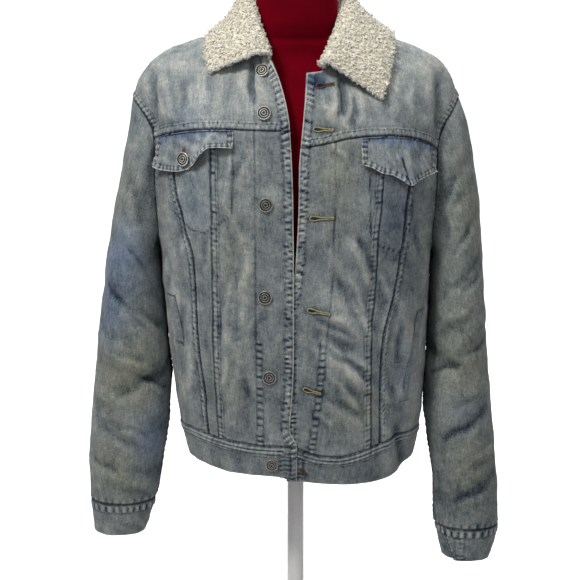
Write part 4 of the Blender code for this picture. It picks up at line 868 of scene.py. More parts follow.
class Relief:
    """A panel with the height added to it, and how rubbed pale (+) or dark (-) each of its points is; the dark is
    partly painted shade in its grooves, puckers and hollows.
    """

    def __init__(self, points, normals):
        self.points, self.normals = points, normals
        self.height = np.zeros(points.shape[:-1])
        self.wear_and_shade = np.zeros(points.shape[:-1])

    def measure(self, line):
        """Distance from a line and length along it. The panel's borders are "low", "high", "left" and "right"."""
        if isinstance(line, str):
            grid = self.points if line in ("low", "high") else self.points.transpose(1, 0, 2)
            line = Line(grid[0 if line in ("low", "left") else -1])
        return line.measure(self.points)

    def seam(
        self,
        line,
        band=BAND,
        rise=0.0010,
        rope=0.0007,
        pitch=0.0078,
        rows=FELLED,
        seed=0.0,
        pale=0.45,
        dark=1.3,
        edge=0.0010,
        line_dark=1.0,
        row_dark=0.85,
    ):
        """A felled seam: a raised band, rows of sunk stitches and the puckers that washing leaves. Pucker troughs are
        darkened as kept indigo and painted shade, and painted shade darkens the seam's line, the stitch grooves and the
        cloth just past the band.
        """
        away, along = self.measure(line)
        phase = 2 * math.pi * (along / pitch + 0.30 * away / pitch) + 2.4 * wander(along / 0.023, seed)
        wave = np.sin(phase) + 0.35 * np.sin(1.73 * phase + seed)
        strength = 0.60 + 0.45 * wander(along / 0.027, seed + 5)
        gap = np.clip((-wave - 0.45) / 0.7, 0, 1)
        gap = gap * (0.55 + 0.55 * wander(along / 0.007, seed + 2)) * (0.5 + away / max(band, 0.004))
        inside = 1 - ease((away - band + 0.0010) / 0.0022) if band else np.zeros(away.shape)
        beside = 0.32 * bell(np.maximum(away - band, 0), 0.011) * (0.5 + 0.5 * wander(along / 0.017, seed + 9))
        roped = wave * strength * np.maximum(inside, beside)
        self.height += rise * inside + rope * roped
        self.height -= edge * (1 - ease(away / 0.0013))
        # pale on the puckers' crests; dark in their troughs as kept indigo and painted shade
        self.wear_and_shade += pale * np.maximum(roped, 0) - dark * np.clip(gap, 0, 1.2) * inside
        # painted shade along the seam's line
        self.wear_and_shade -= line_dark * bell(away, 0.0011)
        for row in rows:
            sunk = bell(away - row, DENT)
            self.height -= 0.00040 * sunk
            # painted shade in each stitch groove
            self.wear_and_shade -= row_dark * sunk * (0.8 + 0.4 * wander(along / 0.011, seed + row * 900))
        if band:
            rim = bell(away - band + 0.0005, 0.0011)
            self.wear_and_shade += 0.34 * rim * (0.6 + 0.5 * wander(along / 0.013, seed + 3))
            # painted shade on the cloth just past the raised band
            self.wear_and_shade -= 0.34 * bell(away - band - 0.0016, 0.0012)

    def plain_edge(self, line, edge=0.0010, dark=0.30):
        """The neighbour of a felled seam: its cloth turns down into the seam, with painted shade along the turn."""
        away, along = self.measure(line)
        self.height -= edge * (1 - ease(away / 0.0022))
        # painted shade where the cloth turns down
        self.wear_and_shade -= 3.4 * dark * bell(away, 0.0014)
        ripple = np.sin(2 * math.pi * along / 0.0085 + 1.5 * wander(along / 0.02, 2.0))
        self.height += 0.00028 * bell(away, 0.011) * ripple

    def worn_edge(self, line, width=0.0014, pale=0.9):
        """A folded outer edge, rubbed pale."""
        away, along = self.measure(line)
        rim = np.exp(-((away / width) ** 4))
        self.wear_and_shade = self.wear_and_shade * (1 - rim) + pale * rim * (0.80 + 0.20 * wander(along / 0.009, 4.0))
        self.height = self.height * (1 - rim) + 0.0007 * rim - 0.0008 * (1 - ease(away / 0.0009))

    def stitch_row(self, line, depth=0.00045, width=0.0011, dark=0.75, gather=0.0003, seed=1.0):
        """A single row sewn through the cloth, with painted shade in its sunk groove."""
        away, along = self.measure(line)
        sunk = bell(away, width)
        ripple = np.sin(2 * math.pi * along / 0.009 + 2 * wander(along / 0.02, seed))
        self.height += gather * bell(away, 0.0065) * ripple - depth * sunk
        # painted shade in the sunk groove
        self.wear_and_shade -= dark * sunk * (0.75 + 0.25 * wander(along / 0.012, seed))

    def lumps(self, line, low, high, size=0.0011, pitch=0.011, seed=0.0, dark=0.8):
        """Swollen turnings between two rows of stitches, as washed bands have: rubbed pale on their crests, dark
        between them as kept indigo and painted shade.
        """
        away, along = self.measure(line)
        between = ease((away - low) / 0.002) * ease((high - away) / 0.002)
        wave = np.sin(2 * math.pi * along / pitch + 2.1 * wander(along / 0.031, seed))
        self.height += size * between * wave * (0.6 + 0.4 * wander(along / 0.05, seed + 1))
        # pale on the crests; dark between lumps as kept indigo and painted shade
        self.wear_and_shade += between * (0.50 * np.maximum(wave, 0) - 1.8 * dark * np.maximum(-wave - 0.35, 0))


def crease_height(rows, along, z):
    """Sharper creases than the solid's folds: a narrow trough or ridge with a softer shoulder beside it."""
    total = np.zeros(np.broadcast(along, z).shape)
    for a0, z0, a1, z1, breadth, out in rows:
        run = np.array([a1 - a0, z1 - z0])
        length = max(np.hypot(*run), 1e-6)
        t = ((along - a0) * run[0] + (z - z0) * run[1]) / length**2
        off = ((along - a0) * run[1] - (z - z0) * run[0]) / length
        off = off + 0.25 * breadth * np.sin(9.0 * t + 40 * a0)
        ends = ease(np.clip(t + 0.12, 0, 1) / 0.45) * ease(np.clip(1.12 - t, 0, 1) / 0.45)
        total += out * ends * (bell(off, breadth) - 0.45 * bell(off - 1.9 * breadth, 1.3 * breadth))
    return total


def crumple(points, size, amount, seed):
    """Low uneven waves all over, as washed cloth has."""
    x, y, z = points[..., 0] / size, points[..., 1] / size, points[..., 2] / size
    total = np.zeros(x.shape)
    for i in range(7):
        a = 1.3 * i + seed
        way = np.array([math.cos(a), math.sin(1.7 * a), math.sin(a + 0.6)])
        total += np.sin((x * way[0] + y * way[1] + z * way[2]) * (1.0 + 0.35 * i) + 2.1 * a)
    return amount * total / 4


# ---------------------------------------------------------------- meshes
def keep_object(name, mesh, material):
    mesh.materials.append(material)
    made = bpy.data.objects.new(name, mesh)
    bpy.context.scene.collection.objects.link(made)
    return made


def keep_mesh(name, material, bm):
    mesh = bpy.data.meshes.new(name)
    bm.to_mesh(mesh)
    bm.free()
    return keep_object(name, mesh, material)


def keep_copies(name, material, points, faces):
    """One mesh of many copies of a small shape. Points: one row for each copy. Faces: those of the shape."""
    number, corners = points.shape[:2]
    mesh = bpy.data.meshes.new(name)
    shifted = faces[None] + (np.arange(number) * corners)[:, None, None]
    mesh.from_pydata(points.reshape(-1, 3), [], shifted.reshape(-1, 3))
    mesh.shade_smooth()
    return keep_object(name, mesh, material)


def read_shape(bm):
    """Points and triangles of a small shape, whose faces are triangles already."""
    shape = np.array([vert.co for vert in bm.verts])
    faces = np.array([[vert.index for vert in face.verts] for face in bm.faces])
    bm.free()
    return shape, faces


def close_skin(bm, loops):
    """Joins rings of edges into one closed skin."""
    for low, high in zip(loops, loops[1:]):
        bmesh.ops.bridge_loops(bm, edges=low + high)
    for end in (loops[0], loops[-1]):
        bmesh.ops.contextual_create(bm, geom=end)
    bmesh.ops.recalc_face_normals(bm, faces=bm.faces[:])


def spun(profile, steps):
    """A round body turned from its profile of radius and height."""
    bm = bmesh.new()
    verts = [bm.verts.new((x, 0, z)) for x, z in profile]
    edges = [bm.edges.new(pair) for pair in zip(verts, verts[1:])]
    around = {"cent": (0, 0, 0), "axis": (0, 0, 1), "angle": 2 * math.pi, "steps": steps}
    bmesh.ops.spin(bm, geom=verts + edges, use_merge=True, **around)
    bmesh.ops.remove_doubles(bm, verts=bm.verts[:], dist=1e-6)
    bmesh.ops.recalc_face_normals(bm, faces=bm.faces[:])
    return bm


def paint(mesh, colours):
    """Gives the mesh the colour shares that its finish reads, painted shade and painted highlight among them."""
    mesh.attributes.new("dye_and_shade", "FLOAT_COLOR", "POINT").data.foreach_set("color", colours.ravel())


def settle(made, replaced=None):
    """Puts the piece on the root body and hides the solid that it stands for."""
    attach(made, "root")
    if replaced:
        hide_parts(replaced)


def read_points(mesh):
    points = np.empty(len(mesh.vertices) * 3)
    mesh.vertices.foreach_get("co", points)
    return points.reshape(-1, 3)


def write_points(mesh, points):
    mesh.vertices.foreach_set("co", np.ascontiguousarray(points, float).ravel())
    mesh.update()


def signed_volume(mesh, points):
    mesh.calc_loop_triangles()
    faces = np.empty(len(mesh.loop_triangles) * 3, int)
    mesh.loop_triangles.foreach_get("vertices", faces)
    a, b, c = (points[faces.reshape(-1, 3)[:, i]] for i in range(3))
    return np.sum(np.cross(a, b) * c)


def cloth_wall(name, material, outer, inner, uv, dye_and_shade):
    """A closed wall: a grid and its extruded copy, put on the outer and the inner points, with cloth map and colour
    shares, painted shade among them.
    """
    rows, columns = outer.shape[:2]
    bm = bmesh.new()
    bmesh.ops.create_grid(bm, x_segments=columns - 1, y_segments=rows - 1, size=0.5)
    raised = bmesh.ops.extrude_face_region(bm, geom=bm.faces[:])["geom"]
    bmesh.ops.translate(bm, verts=[item for item in raised if isinstance(item, bmesh.types.BMVert)], vec=(0, 0, 1))
    bmesh.ops.recalc_face_normals(bm, faces=bm.faces[:])
    made = keep_mesh(name, material, bm)
    mesh = made.data
    flat = read_points(mesh)
    column = np.rint((flat[:, 0] + 0.5) * (columns - 1)).astype(int)
    row = np.rint((flat[:, 1] + 0.5) * (rows - 1)).astype(int)
    top = flat[:, 2] > 0.5
    points = np.where(top[:, None], inner[row, column], outer[row, column])
    write_points(mesh, points)
    if signed_volume(mesh, points) < 0:
        mesh.flip_normals()
    corners = np.empty(len(mesh.loops), int)
    mesh.loops.foreach_get("vertex_index", corners)
    places = uv[row, column]
    mesh.uv_layers.new(name="cloth").data.foreach_set("uv", places[corners].ravel())
    colours = np.ones((len(points), 4))
    colours[:, :3] = dye_and_shade[row, column]
    colours[top, 0] = 0.62
    paint(mesh, colours)
    mesh.shade_smooth()
    mesh.set_sharp_from_angle(angle=math.radians(55))
    return made


def cloth_map(points):
    """Real lengths along a grid's columns and rows, as the cloth's own map."""
    across = np.linalg.norm(np.diff(points, axis=1), axis=2)
    down = np.linalg.norm(np.diff(points, axis=0), axis=2)
    u = np.concatenate([[0.0], np.cumsum(across.mean(axis=0))])
    v = np.concatenate([[0.0], np.cumsum(down.mean(axis=1))])
    return np.stack(np.meshgrid(u, v), axis=-1)


def grid_area(points):
    a = np.cross(points[:-1, 1:] - points[:-1, :-1], points[1:, :-1] - points[:-1, :-1])
    b = np.cross(points[1:, :-1] - points[1:, 1:], points[:-1, 1:] - points[1:, 1:])
    return (np.linalg.norm(a, axis=-1).sum() + np.linalg.norm(b, axis=-1).sum()) / 2


def dye_and_shade_of(points, wear_and_shade, blue=0.0):
    """Lightness, blue and warm share of each point: lightness from the relief's rubbed and dark marks with their
    painted shade, and all three from the stains' table.
    """
    amounts = {"blue": np.zeros(wear_and_shade.shape) + blue, "warm": np.zeros(wear_and_shade.shape), "pale": np.zeros(wear_and_shade.shape)}
    for side, hue, x, y, z, breadth, height, share in STAINS:
        off = ((points[..., 0] * side - x) / breadth) ** 2 + ((points[..., 2] - z) / height) ** 2
        facing = ease(1 - np.maximum((points[..., 1] - y) * np.sign(0.02 - y), 0) / 0.05)
        amounts[hue] = amounts[hue] + share * np.exp(-off) * facing
    light = 0.5 + 0.42 * wear_and_shade + 0.30 * amounts["pale"]
    return np.stack([np.clip(light, 0, 1), np.clip(amounts["blue"], 0, 1), np.clip(amounts["warm"], 0, 1)], axis=-1)


def border_pull(points):
    """Moves a panel's border in by half the seam gap."""
    pull = np.zeros_like(points)
    across = unit(np.gradient(points, axis=1))
    down = unit(np.gradient(points, axis=0))
    pull[:, 0] += across[:, 0] * SEAM_GAP / 2
    pull[:, -1] -= across[:, -1] * SEAM_GAP / 2
    pull[0] += down[0] * SEAM_GAP / 2
    pull[-1] -= down[-1] * SEAM_GAP / 2
    return pull


def hollows(surface, normals, rounds=22):
    """How far each point stands out (+) or lies back (-) from the cloth around it."""
    soft = surface
    for _ in range(rounds):
        for axis in (0, 1):
            sides = [(1, 1) if i == axis else (0, 0) for i in range(3)]
            wide = np.pad(soft, sides, mode="reflect", reflect_type="odd")
            low, high = (np.take(wide, range(start, start + soft.shape[axis]), axis) for start in (0, 2))
            soft = 0.5 * soft + 0.25 * (low + high)
    return np.sum((surface - soft) * normals, axis=-1)


def sew(name, relief, denim):
    """A finished cloth panel that stands for the solid of its name and is declared with the size it was cut to."""
    points, normals = relief.points, relief.normals
    pull = border_pull(points)
    outer = points + pull + relief.height[..., None] * normals
    inner = points + pull - sizes().wall * normals
    # Painted light and shade of the folds: paler on the ridges, as rubbed cloth and painted light, darker in the
    # hollows as painted shade.
    worn_and_shaded = relief.wear_and_shade + 0.26 * np.clip(hollows(outer, normals) / 0.0010, -2.2, 2.0)
    made = cloth_wall("cloth_" + name, denim, outer, inner, cloth_map(points), dye_and_shade_of(points, worn_and_shaded))
    settle(made, name)
    declare_cut(made, points)


def declare_cut(made, points):
    across = np.linalg.norm(np.diff(points, axis=1), axis=2).sum(axis=1).max()
    down = np.linalg.norm(np.diff(points, axis=0), axis=2).sum(axis=0).max()
    area = grid_area(points)
    print("cut", made.name, round(across, 3), round(down, 3), round(area, 4))


# ---------------------------------------------------------------- finishes
class Nodes:
    """Short way to add and join shader nodes of one material."""

    def __init__(self, name):
        self.material = bpy.data.materials.new(name)
        self.material.use_nodes = True
        self.tree = self.material.node_tree
        self.shader = self.tree.nodes["Principled BSDF"]

    def add(self, kind, settings=None, **inputs):
        node = self.tree.nodes.new(kind)
        for key, value in (settings or {}).items():
            setattr(node, key, value)
        for key, value in inputs.items():
            self.put(node.inputs[key.replace("_", " ")], value)
        return node

    def put(self, socket, value):
        if isinstance(value, bpy.types.NodeSocket):
            self.tree.links.new(value, socket)
        else:
            socket.default_value = value

    def math(self, operation, a, b=0.0, clamp=False):
        node = self.tree.nodes.new("ShaderNodeMath")
        node.operation, node.use_clamp = operation, clamp
        self.put(node.inputs[0], a)
        self.put(node.inputs[1], b)
        return node.outputs[0]

    def mix(self, share, a, b, blend="MIX"):
        node = self.tree.nodes.new("ShaderNodeMix")
        node.data_type, node.blend_type = "RGBA", blend
        self.put(node.inputs["Factor"], share)
        for socket, value in ((node.inputs[6], a), (node.inputs[7], b)):
            self.put(socket, (*value, 1.0) if isinstance(value, tuple) and len(value) == 3 else value)
        return node.outputs[2]

    def ramp(self, share, *stops):
        node = self.tree.nodes.new("ShaderNodeValToRGB")
        self.put(node.inputs[0], share)
        band = node.color_ramp
        while len(band.elements) < len(stops):
            band.elements.new(0.5)
        for element, (place, colour) in zip(band.elements, stops):
            element.position = place
            element.color = (*colour, 1.0)
        return node.outputs[0]

    def noise(self, vector, scale, detail=3.0, rough=0.55, distortion=0.0):
        node = self.add("ShaderNodeTexNoise", None, Vector=vector, Scale=scale, Detail=detail, Roughness=rough)
        node.inputs["Distortion"].default_value = distortion
        return node.outputs["Fac"]

    def stretched(self, vector, scale):
        node = self.add("ShaderNodeMapping", None, Vector=vector)
        node.inputs["Scale"].default_value = scale
        return node.outputs[0]

    def bump(self, height, strength, distance, normal=None):
        node = self.add("ShaderNodeBump", None, Height=height, Strength=strength, Distance=distance)
        if normal is not None:
            self.put(node.inputs["Normal"], normal)
        return node.outputs[0]

    def place(self):
        """The place of a point on its object."""
        return self.add("ShaderNodeTexCoord").outputs["Object"]

    def dye_and_shade(self):
        """The three shares that the mesh is painted with; the first holds painted shade and painted highlight."""
        colour = self.add("ShaderNodeAttribute", {"attribute_name": "dye_and_shade"}).outputs["Color"]
        return self.add("ShaderNodeSeparateColor", None, Color=colour).outputs

    def finish(self, **inputs):
        """Sets these inputs of the shader and gives its material."""
        for name, value in inputs.items():
            self.put(self.shader.inputs[name.replace("_", " ")], value)
        return self.material


# The darkest denim stands for kept indigo and for painted shade in puckers, grooves and hollows.
DENIM_DARK = (0.010, 0.015, 0.030)
DENIM_LOW = (0.070, 0.092, 0.115)
DENIM_MID = (0.190, 0.222, 0.238)
DENIM_LIGHT = (0.330, 0.362, 0.362)
DENIM_BARE = (0.640, 0.635, 0.580)
BLUE_TINT, WARM_TINT = (0.52, 0.72, 1.30), (1.08, 1.00, 0.78)


def spread(n, value, amount):
    """A noise moved to stand round zero, times an amount."""
    return n.math("MULTIPLY", n.math("SUBTRACT", value, 0.5), amount)


def denim_finish():
    """Washed twill: indigo rubbed off the ridges, painted shade in puckers, grooves and hollows, painted light and
    shade on whole pieces, slubs and streaks along the warp, a fine twill and soft stains.
    """
    n = Nodes("washed denim")
    cloth_place = n.add("ShaderNodeUVMap", {"uv_map": "cloth"}).outputs[0]
    space = n.place()
    light, blue, warm = list(n.dye_and_shade())[:3]

    slub = n.noise(n.stretched(cloth_place, (900.0, 110.0, 1.0)), 1.0, 2.0)
    streak = n.noise(n.stretched(cloth_place, (230.0, 34.0, 1.0)), 1.0, 3.0)
    weft = n.noise(n.stretched(cloth_place, (70.0, 1100.0, 1.0)), 1.0, 2.0)
    grain = n.noise(space, 760.0, 2.0, 0.6)
    fleck = n.noise(space, 300.0, 3.0, 0.6)
    mottle = n.noise(space, 85.0, 3.0, 0.6, 0.5)
    cloud = n.noise(space, 22.0, 5.0, 0.62)
    patch = n.noise(space, 6.5, 3.0, 0.5)
    twill = n.add(
        "ShaderNodeTexWave",
        {"wave_type": "BANDS", "bands_direction": "DIAGONAL"},
        Vector=n.stretched(cloth_place, (1.0, 0.62, 1.0)),
        Scale=330.0,
        Distortion=1.2,
        Detail=1.0,
    ).outputs["Fac"]

    for noise, amount in (
        (cloud, 0.62),
        (patch, 0.34),
        (mottle, 0.42),
        (slub, 0.46),
        (streak, 0.36),
        (weft, 0.22),
        (grain, 0.62),
        (fleck, 0.36),
        (twill, 0.10),
    ):
        light = n.math("ADD", light, spread(n, noise, amount))
    colour = n.ramp(
        n.math("MAXIMUM", light, 0.0),
        (0.0, tuple(colours().denim_dark)),
        (0.24, DENIM_LOW),
        (0.46, tuple(colours().denim_mid)),
        (0.70, DENIM_LIGHT),
        (1.0, tuple(colours().denim_bare)),
    )
    for share, noise, tint in ((blue, cloud, BLUE_TINT), (warm, patch, WARM_TINT)):
        patchy = n.math("MULTIPLY", share, n.math("ADD", 0.10, n.math("MULTIPLY", noise, 1.5)), clamp=True)
        colour = n.mix(patchy, colour, n.mix(1.0, colour, tint, "MULTIPLY"))
    threads = n.math("ADD", n.math("MULTIPLY", twill, 0.6), n.math("MULTIPLY", slub, 0.9))
    normal = n.bump(n.math("ADD", threads, grain), 0.55, 0.0006)
    normal = n.bump(fleck, 0.30, 0.0012, normal)
    normal = n.bump(cloud, 0.35, 0.0040, normal)
    return n.finish(
        Base_Color=colour,
        Roughness=0.92,
        Specular_IOR_Level=0.12,
        Sheen_Weight=0.05,
        Sheen_Roughness=0.6,
        Normal=normal,
    )


def thread_finish(name, light, dark):
    n = Nodes(name)
    space = n.place()
    return n.finish(
        Base_Color=n.ramp(n.noise(space, 240.0, 2.0), (0.3, dark), (0.7, light)),
        Roughness=0.75,
        Specular_IOR_Level=0.25,
        Normal=n.bump(n.noise(space, 2400.0, 1.0), 0.4, 0.0002),
    )


def sherpa_finish(name="sherpa pile", lift=0.0):
    """Cream pile: pale curls with warmer shade between them."""
    n = Nodes(name)
    space = n.place()
    curls = n.noise(space, 800.0, 3.0, 0.65, 1.5)
    tufts = n.noise(space, 240.0, 2.0, 0.6, 0.8)
    soft = n.math("ADD", n.dye_and_shade()[0], spread(n, curls, 0.40))
    soft = n.math("ADD", n.math("ADD", soft, spread(n, tufts, 0.35)), lift, clamp=True)
    pale = tuple(colours().pile)
    deep = tuple(part * share for part, share in zip(pale, (0.72, 0.68, 0.58)))
    middle = tuple(part * share for part, share in zip(pale, (0.93, 0.91, 0.86)))
    return n.finish(
        Base_Color=n.ramp(soft, (0.0, deep), (0.42, middle), (0.90, pale)),
        Roughness=1.0,
        Specular_IOR_Level=0.1,
        Sheen_Weight=0.30,
        Sheen_Roughness=0.5,
        Normal=n.bump(curls, 0.4, 0.0006, n.bump(tufts, 0.35, 0.0012)),
    )


def metal_finish():
    """Antique silver: bright on the rims, nearly black in the rings."""
    n = Nodes("antique silver")
    tarnish = n.noise(n.place(), 420.0, 3.0, 0.6)
    share = n.math("ADD", n.dye_and_shade()[0], spread(n, tarnish, 0.5), clamp=True)
    return n.finish(
        Base_Color=n.ramp(share, (0.15, (0.022, 0.021, 0.019)), (0.80, (0.52, 0.51, 0.47))),
        Roughness=n.math("SUBTRACT", 0.66, n.math("MULTIPLY", share, 0.28)),
        Metallic=0.75,
        Normal=n.bump(tarnish, 0.25, 0.0002),
    )


def velvet_finish():
    """Red stretch cover with a short nap that lights up where it turns away."""
    n = Nodes("red stretch cover")
    space = n.place()
    nap = n.noise(space, 1100.0, 2.0)
    shade = n.noise(space, 9.0, 3.0)
    share = n.math("ADD", n.math("MULTIPLY", nap, 0.5), n.math("MULTIPLY", shade, 0.5))
    red = tuple(colours().form)
    return n.finish(
        Base_Color=n.ramp(share, (0.35, tuple(part * 0.6 for part in red)), (0.65, red)),
        Roughness=1.0,
        Specular_IOR_Level=0.02,
        Sheen_Weight=0.55,
        Sheen_Roughness=0.35,
        Sheen_Tint=(0.9, 0.02, 0.06, 1.0),
        Normal=n.bump(nap, 0.2, 0.0004),
    )


def paint_finish():
    """White painted steel with a fine orange peel and a little rubbing."""
    n = Nodes("white painted steel")
    space = n.place()
    dust = n.noise(space, 24.0, 4.0)
    return n.finish(
        Base_Color=n.ramp(dust, (0.3, (0.74, 0.74, 0.73)), (0.6, (0.84, 0.84, 0.83))),
        Roughness=n.math("ADD", 0.30, n.math("MULTIPLY", dust, 0.25)),
        Normal=n.bump(n.noise(space, 700.0, 2.0), 0.12, 0.0003),
    )


# ---------------------------------------------------------------- tables of the finished cloth
# Soft stains, and patches made paler (+) or darker (-): place of the middle, half breadth and height, and share.
STAINS = (
    # side, hue, x, y, z, breadth, height, share
    (-1, "blue", 0.258, -0.05, 0.575, 0.034, 0.050, 0.60),
    (-1, "blue", 0.276, -0.05, 0.490, 0.030, 0.050, 0.48),
    (-1, "blue", 0.212, -0.05, 0.300, 0.028, 0.045, 0.50),
    (-1, "warm", 0.265, -0.05, 0.400, 0.055, 0.055, 0.90),
    (-1, "warm", 0.262, -0.04, 0.680, 0.050, 0.050, 0.60),
    (-1, "warm", 0.270, -0.05, 0.250, 0.045, 0.060, 0.80),
    (-1, "warm", 0.225, -0.06, 0.400, 0.030, 0.080, 0.50),
    (1, "warm", 0.255, -0.04, 0.660, 0.055, 0.090, 0.90),
    (1, "warm", 0.250, -0.05, 0.440, 0.055, 0.110, 0.90),
    (1, "warm", 0.255, -0.05, 0.240, 0.060, 0.080, 0.80),
    (1, "blue", 0.290, -0.05, 0.560, 0.018, 0.080, 0.30),
    (1, "blue", 0.255, -0.05, 0.345, 0.030, 0.030, 0.35),
    (1, "blue", 0.145, -0.12, 0.660, 0.040, 0.050, 0.22),
    (-1, "blue", 0.150, -0.12, 0.660, 0.040, 0.050, 0.18),
    (1, "blue", 0.028, -0.11, 0.831, 0.016, 0.011, 0.80),
    (1, "pale", 0.027, -0.11, 0.831, 0.013, 0.009, -1.20),
    (-1, "pale", 0.285, -0.05, 0.520, 0.050, 0.070, -0.30),
    (1, "pale", 0.255, -0.04, 0.240, 0.060, 0.060, -0.25),
    (1, "pale", 0.150, -0.12, 0.620, 0.050, 0.040, -0.30),
    (-1, "blue", 0.160, -0.11, 0.780, 0.030, 0.030, 0.30),
    (1, "warm", 0.060, -0.13, 0.690, 0.028, 0.080, 0.75),
    (-1, "warm", 0.085, -0.13, 0.600, 0.040, 0.090, 0.40),
    (-1, "warm", 0.100, -0.13, 0.400, 0.050, 0.060, 0.35),
    (1, "blue", 0.160, -0.10, 0.400, 0.035, 0.060, 0.18),
    (1, "warm", 0.090, -0.13, 0.360, 0.050, 0.040, 0.50),
    (-1, "pale", 0.110, -0.11, 0.830, 0.060, 0.050, 0.35),
    (1, "pale", 0.100, -0.11, 0.820, 0.060, 0.045, 0.30),
    (1, "pale", 0.085, -0.13, 0.470, 0.045, 0.070, 0.25),
    (-1, "pale", 0.100, -0.13, 0.520, 0.030, 0.110, 0.25),
    (-1, "pale", 0.125, 0.13, 0.700, 0.060, 0.080, 0.30),
    (1, "warm", 0.110, 0.13, 0.560, 0.070, 0.080, 0.60),
    (-1, "blue", 0.080, 0.13, 0.480, 0.060, 0.070, 0.40),
    (1, "blue", 0.090, 0.13, 0.740, 0.070, 0.040, 0.35),
    (-1, "warm", 0.255, 0.05, 0.450, 0.050, 0.100, 0.80),
    (1, "blue", 0.260, 0.05, 0.500, 0.040, 0.070, 0.50),
    (1, "warm", 0.255, 0.05, 0.280, 0.050, 0.070, 0.70),
)
# How much lighter or darker a whole piece is than the rest: painted light on the yokes, as lit from above, and painted
# shade on the sleeves; the band, flaps and cuffs are only made lighter or darker.
FADE_AND_PAINTED_LIGHT = {"yoke": 0.14, "sleeve": -0.42, "band": -0.02, "flap": 0.22, "cuff": -0.16}

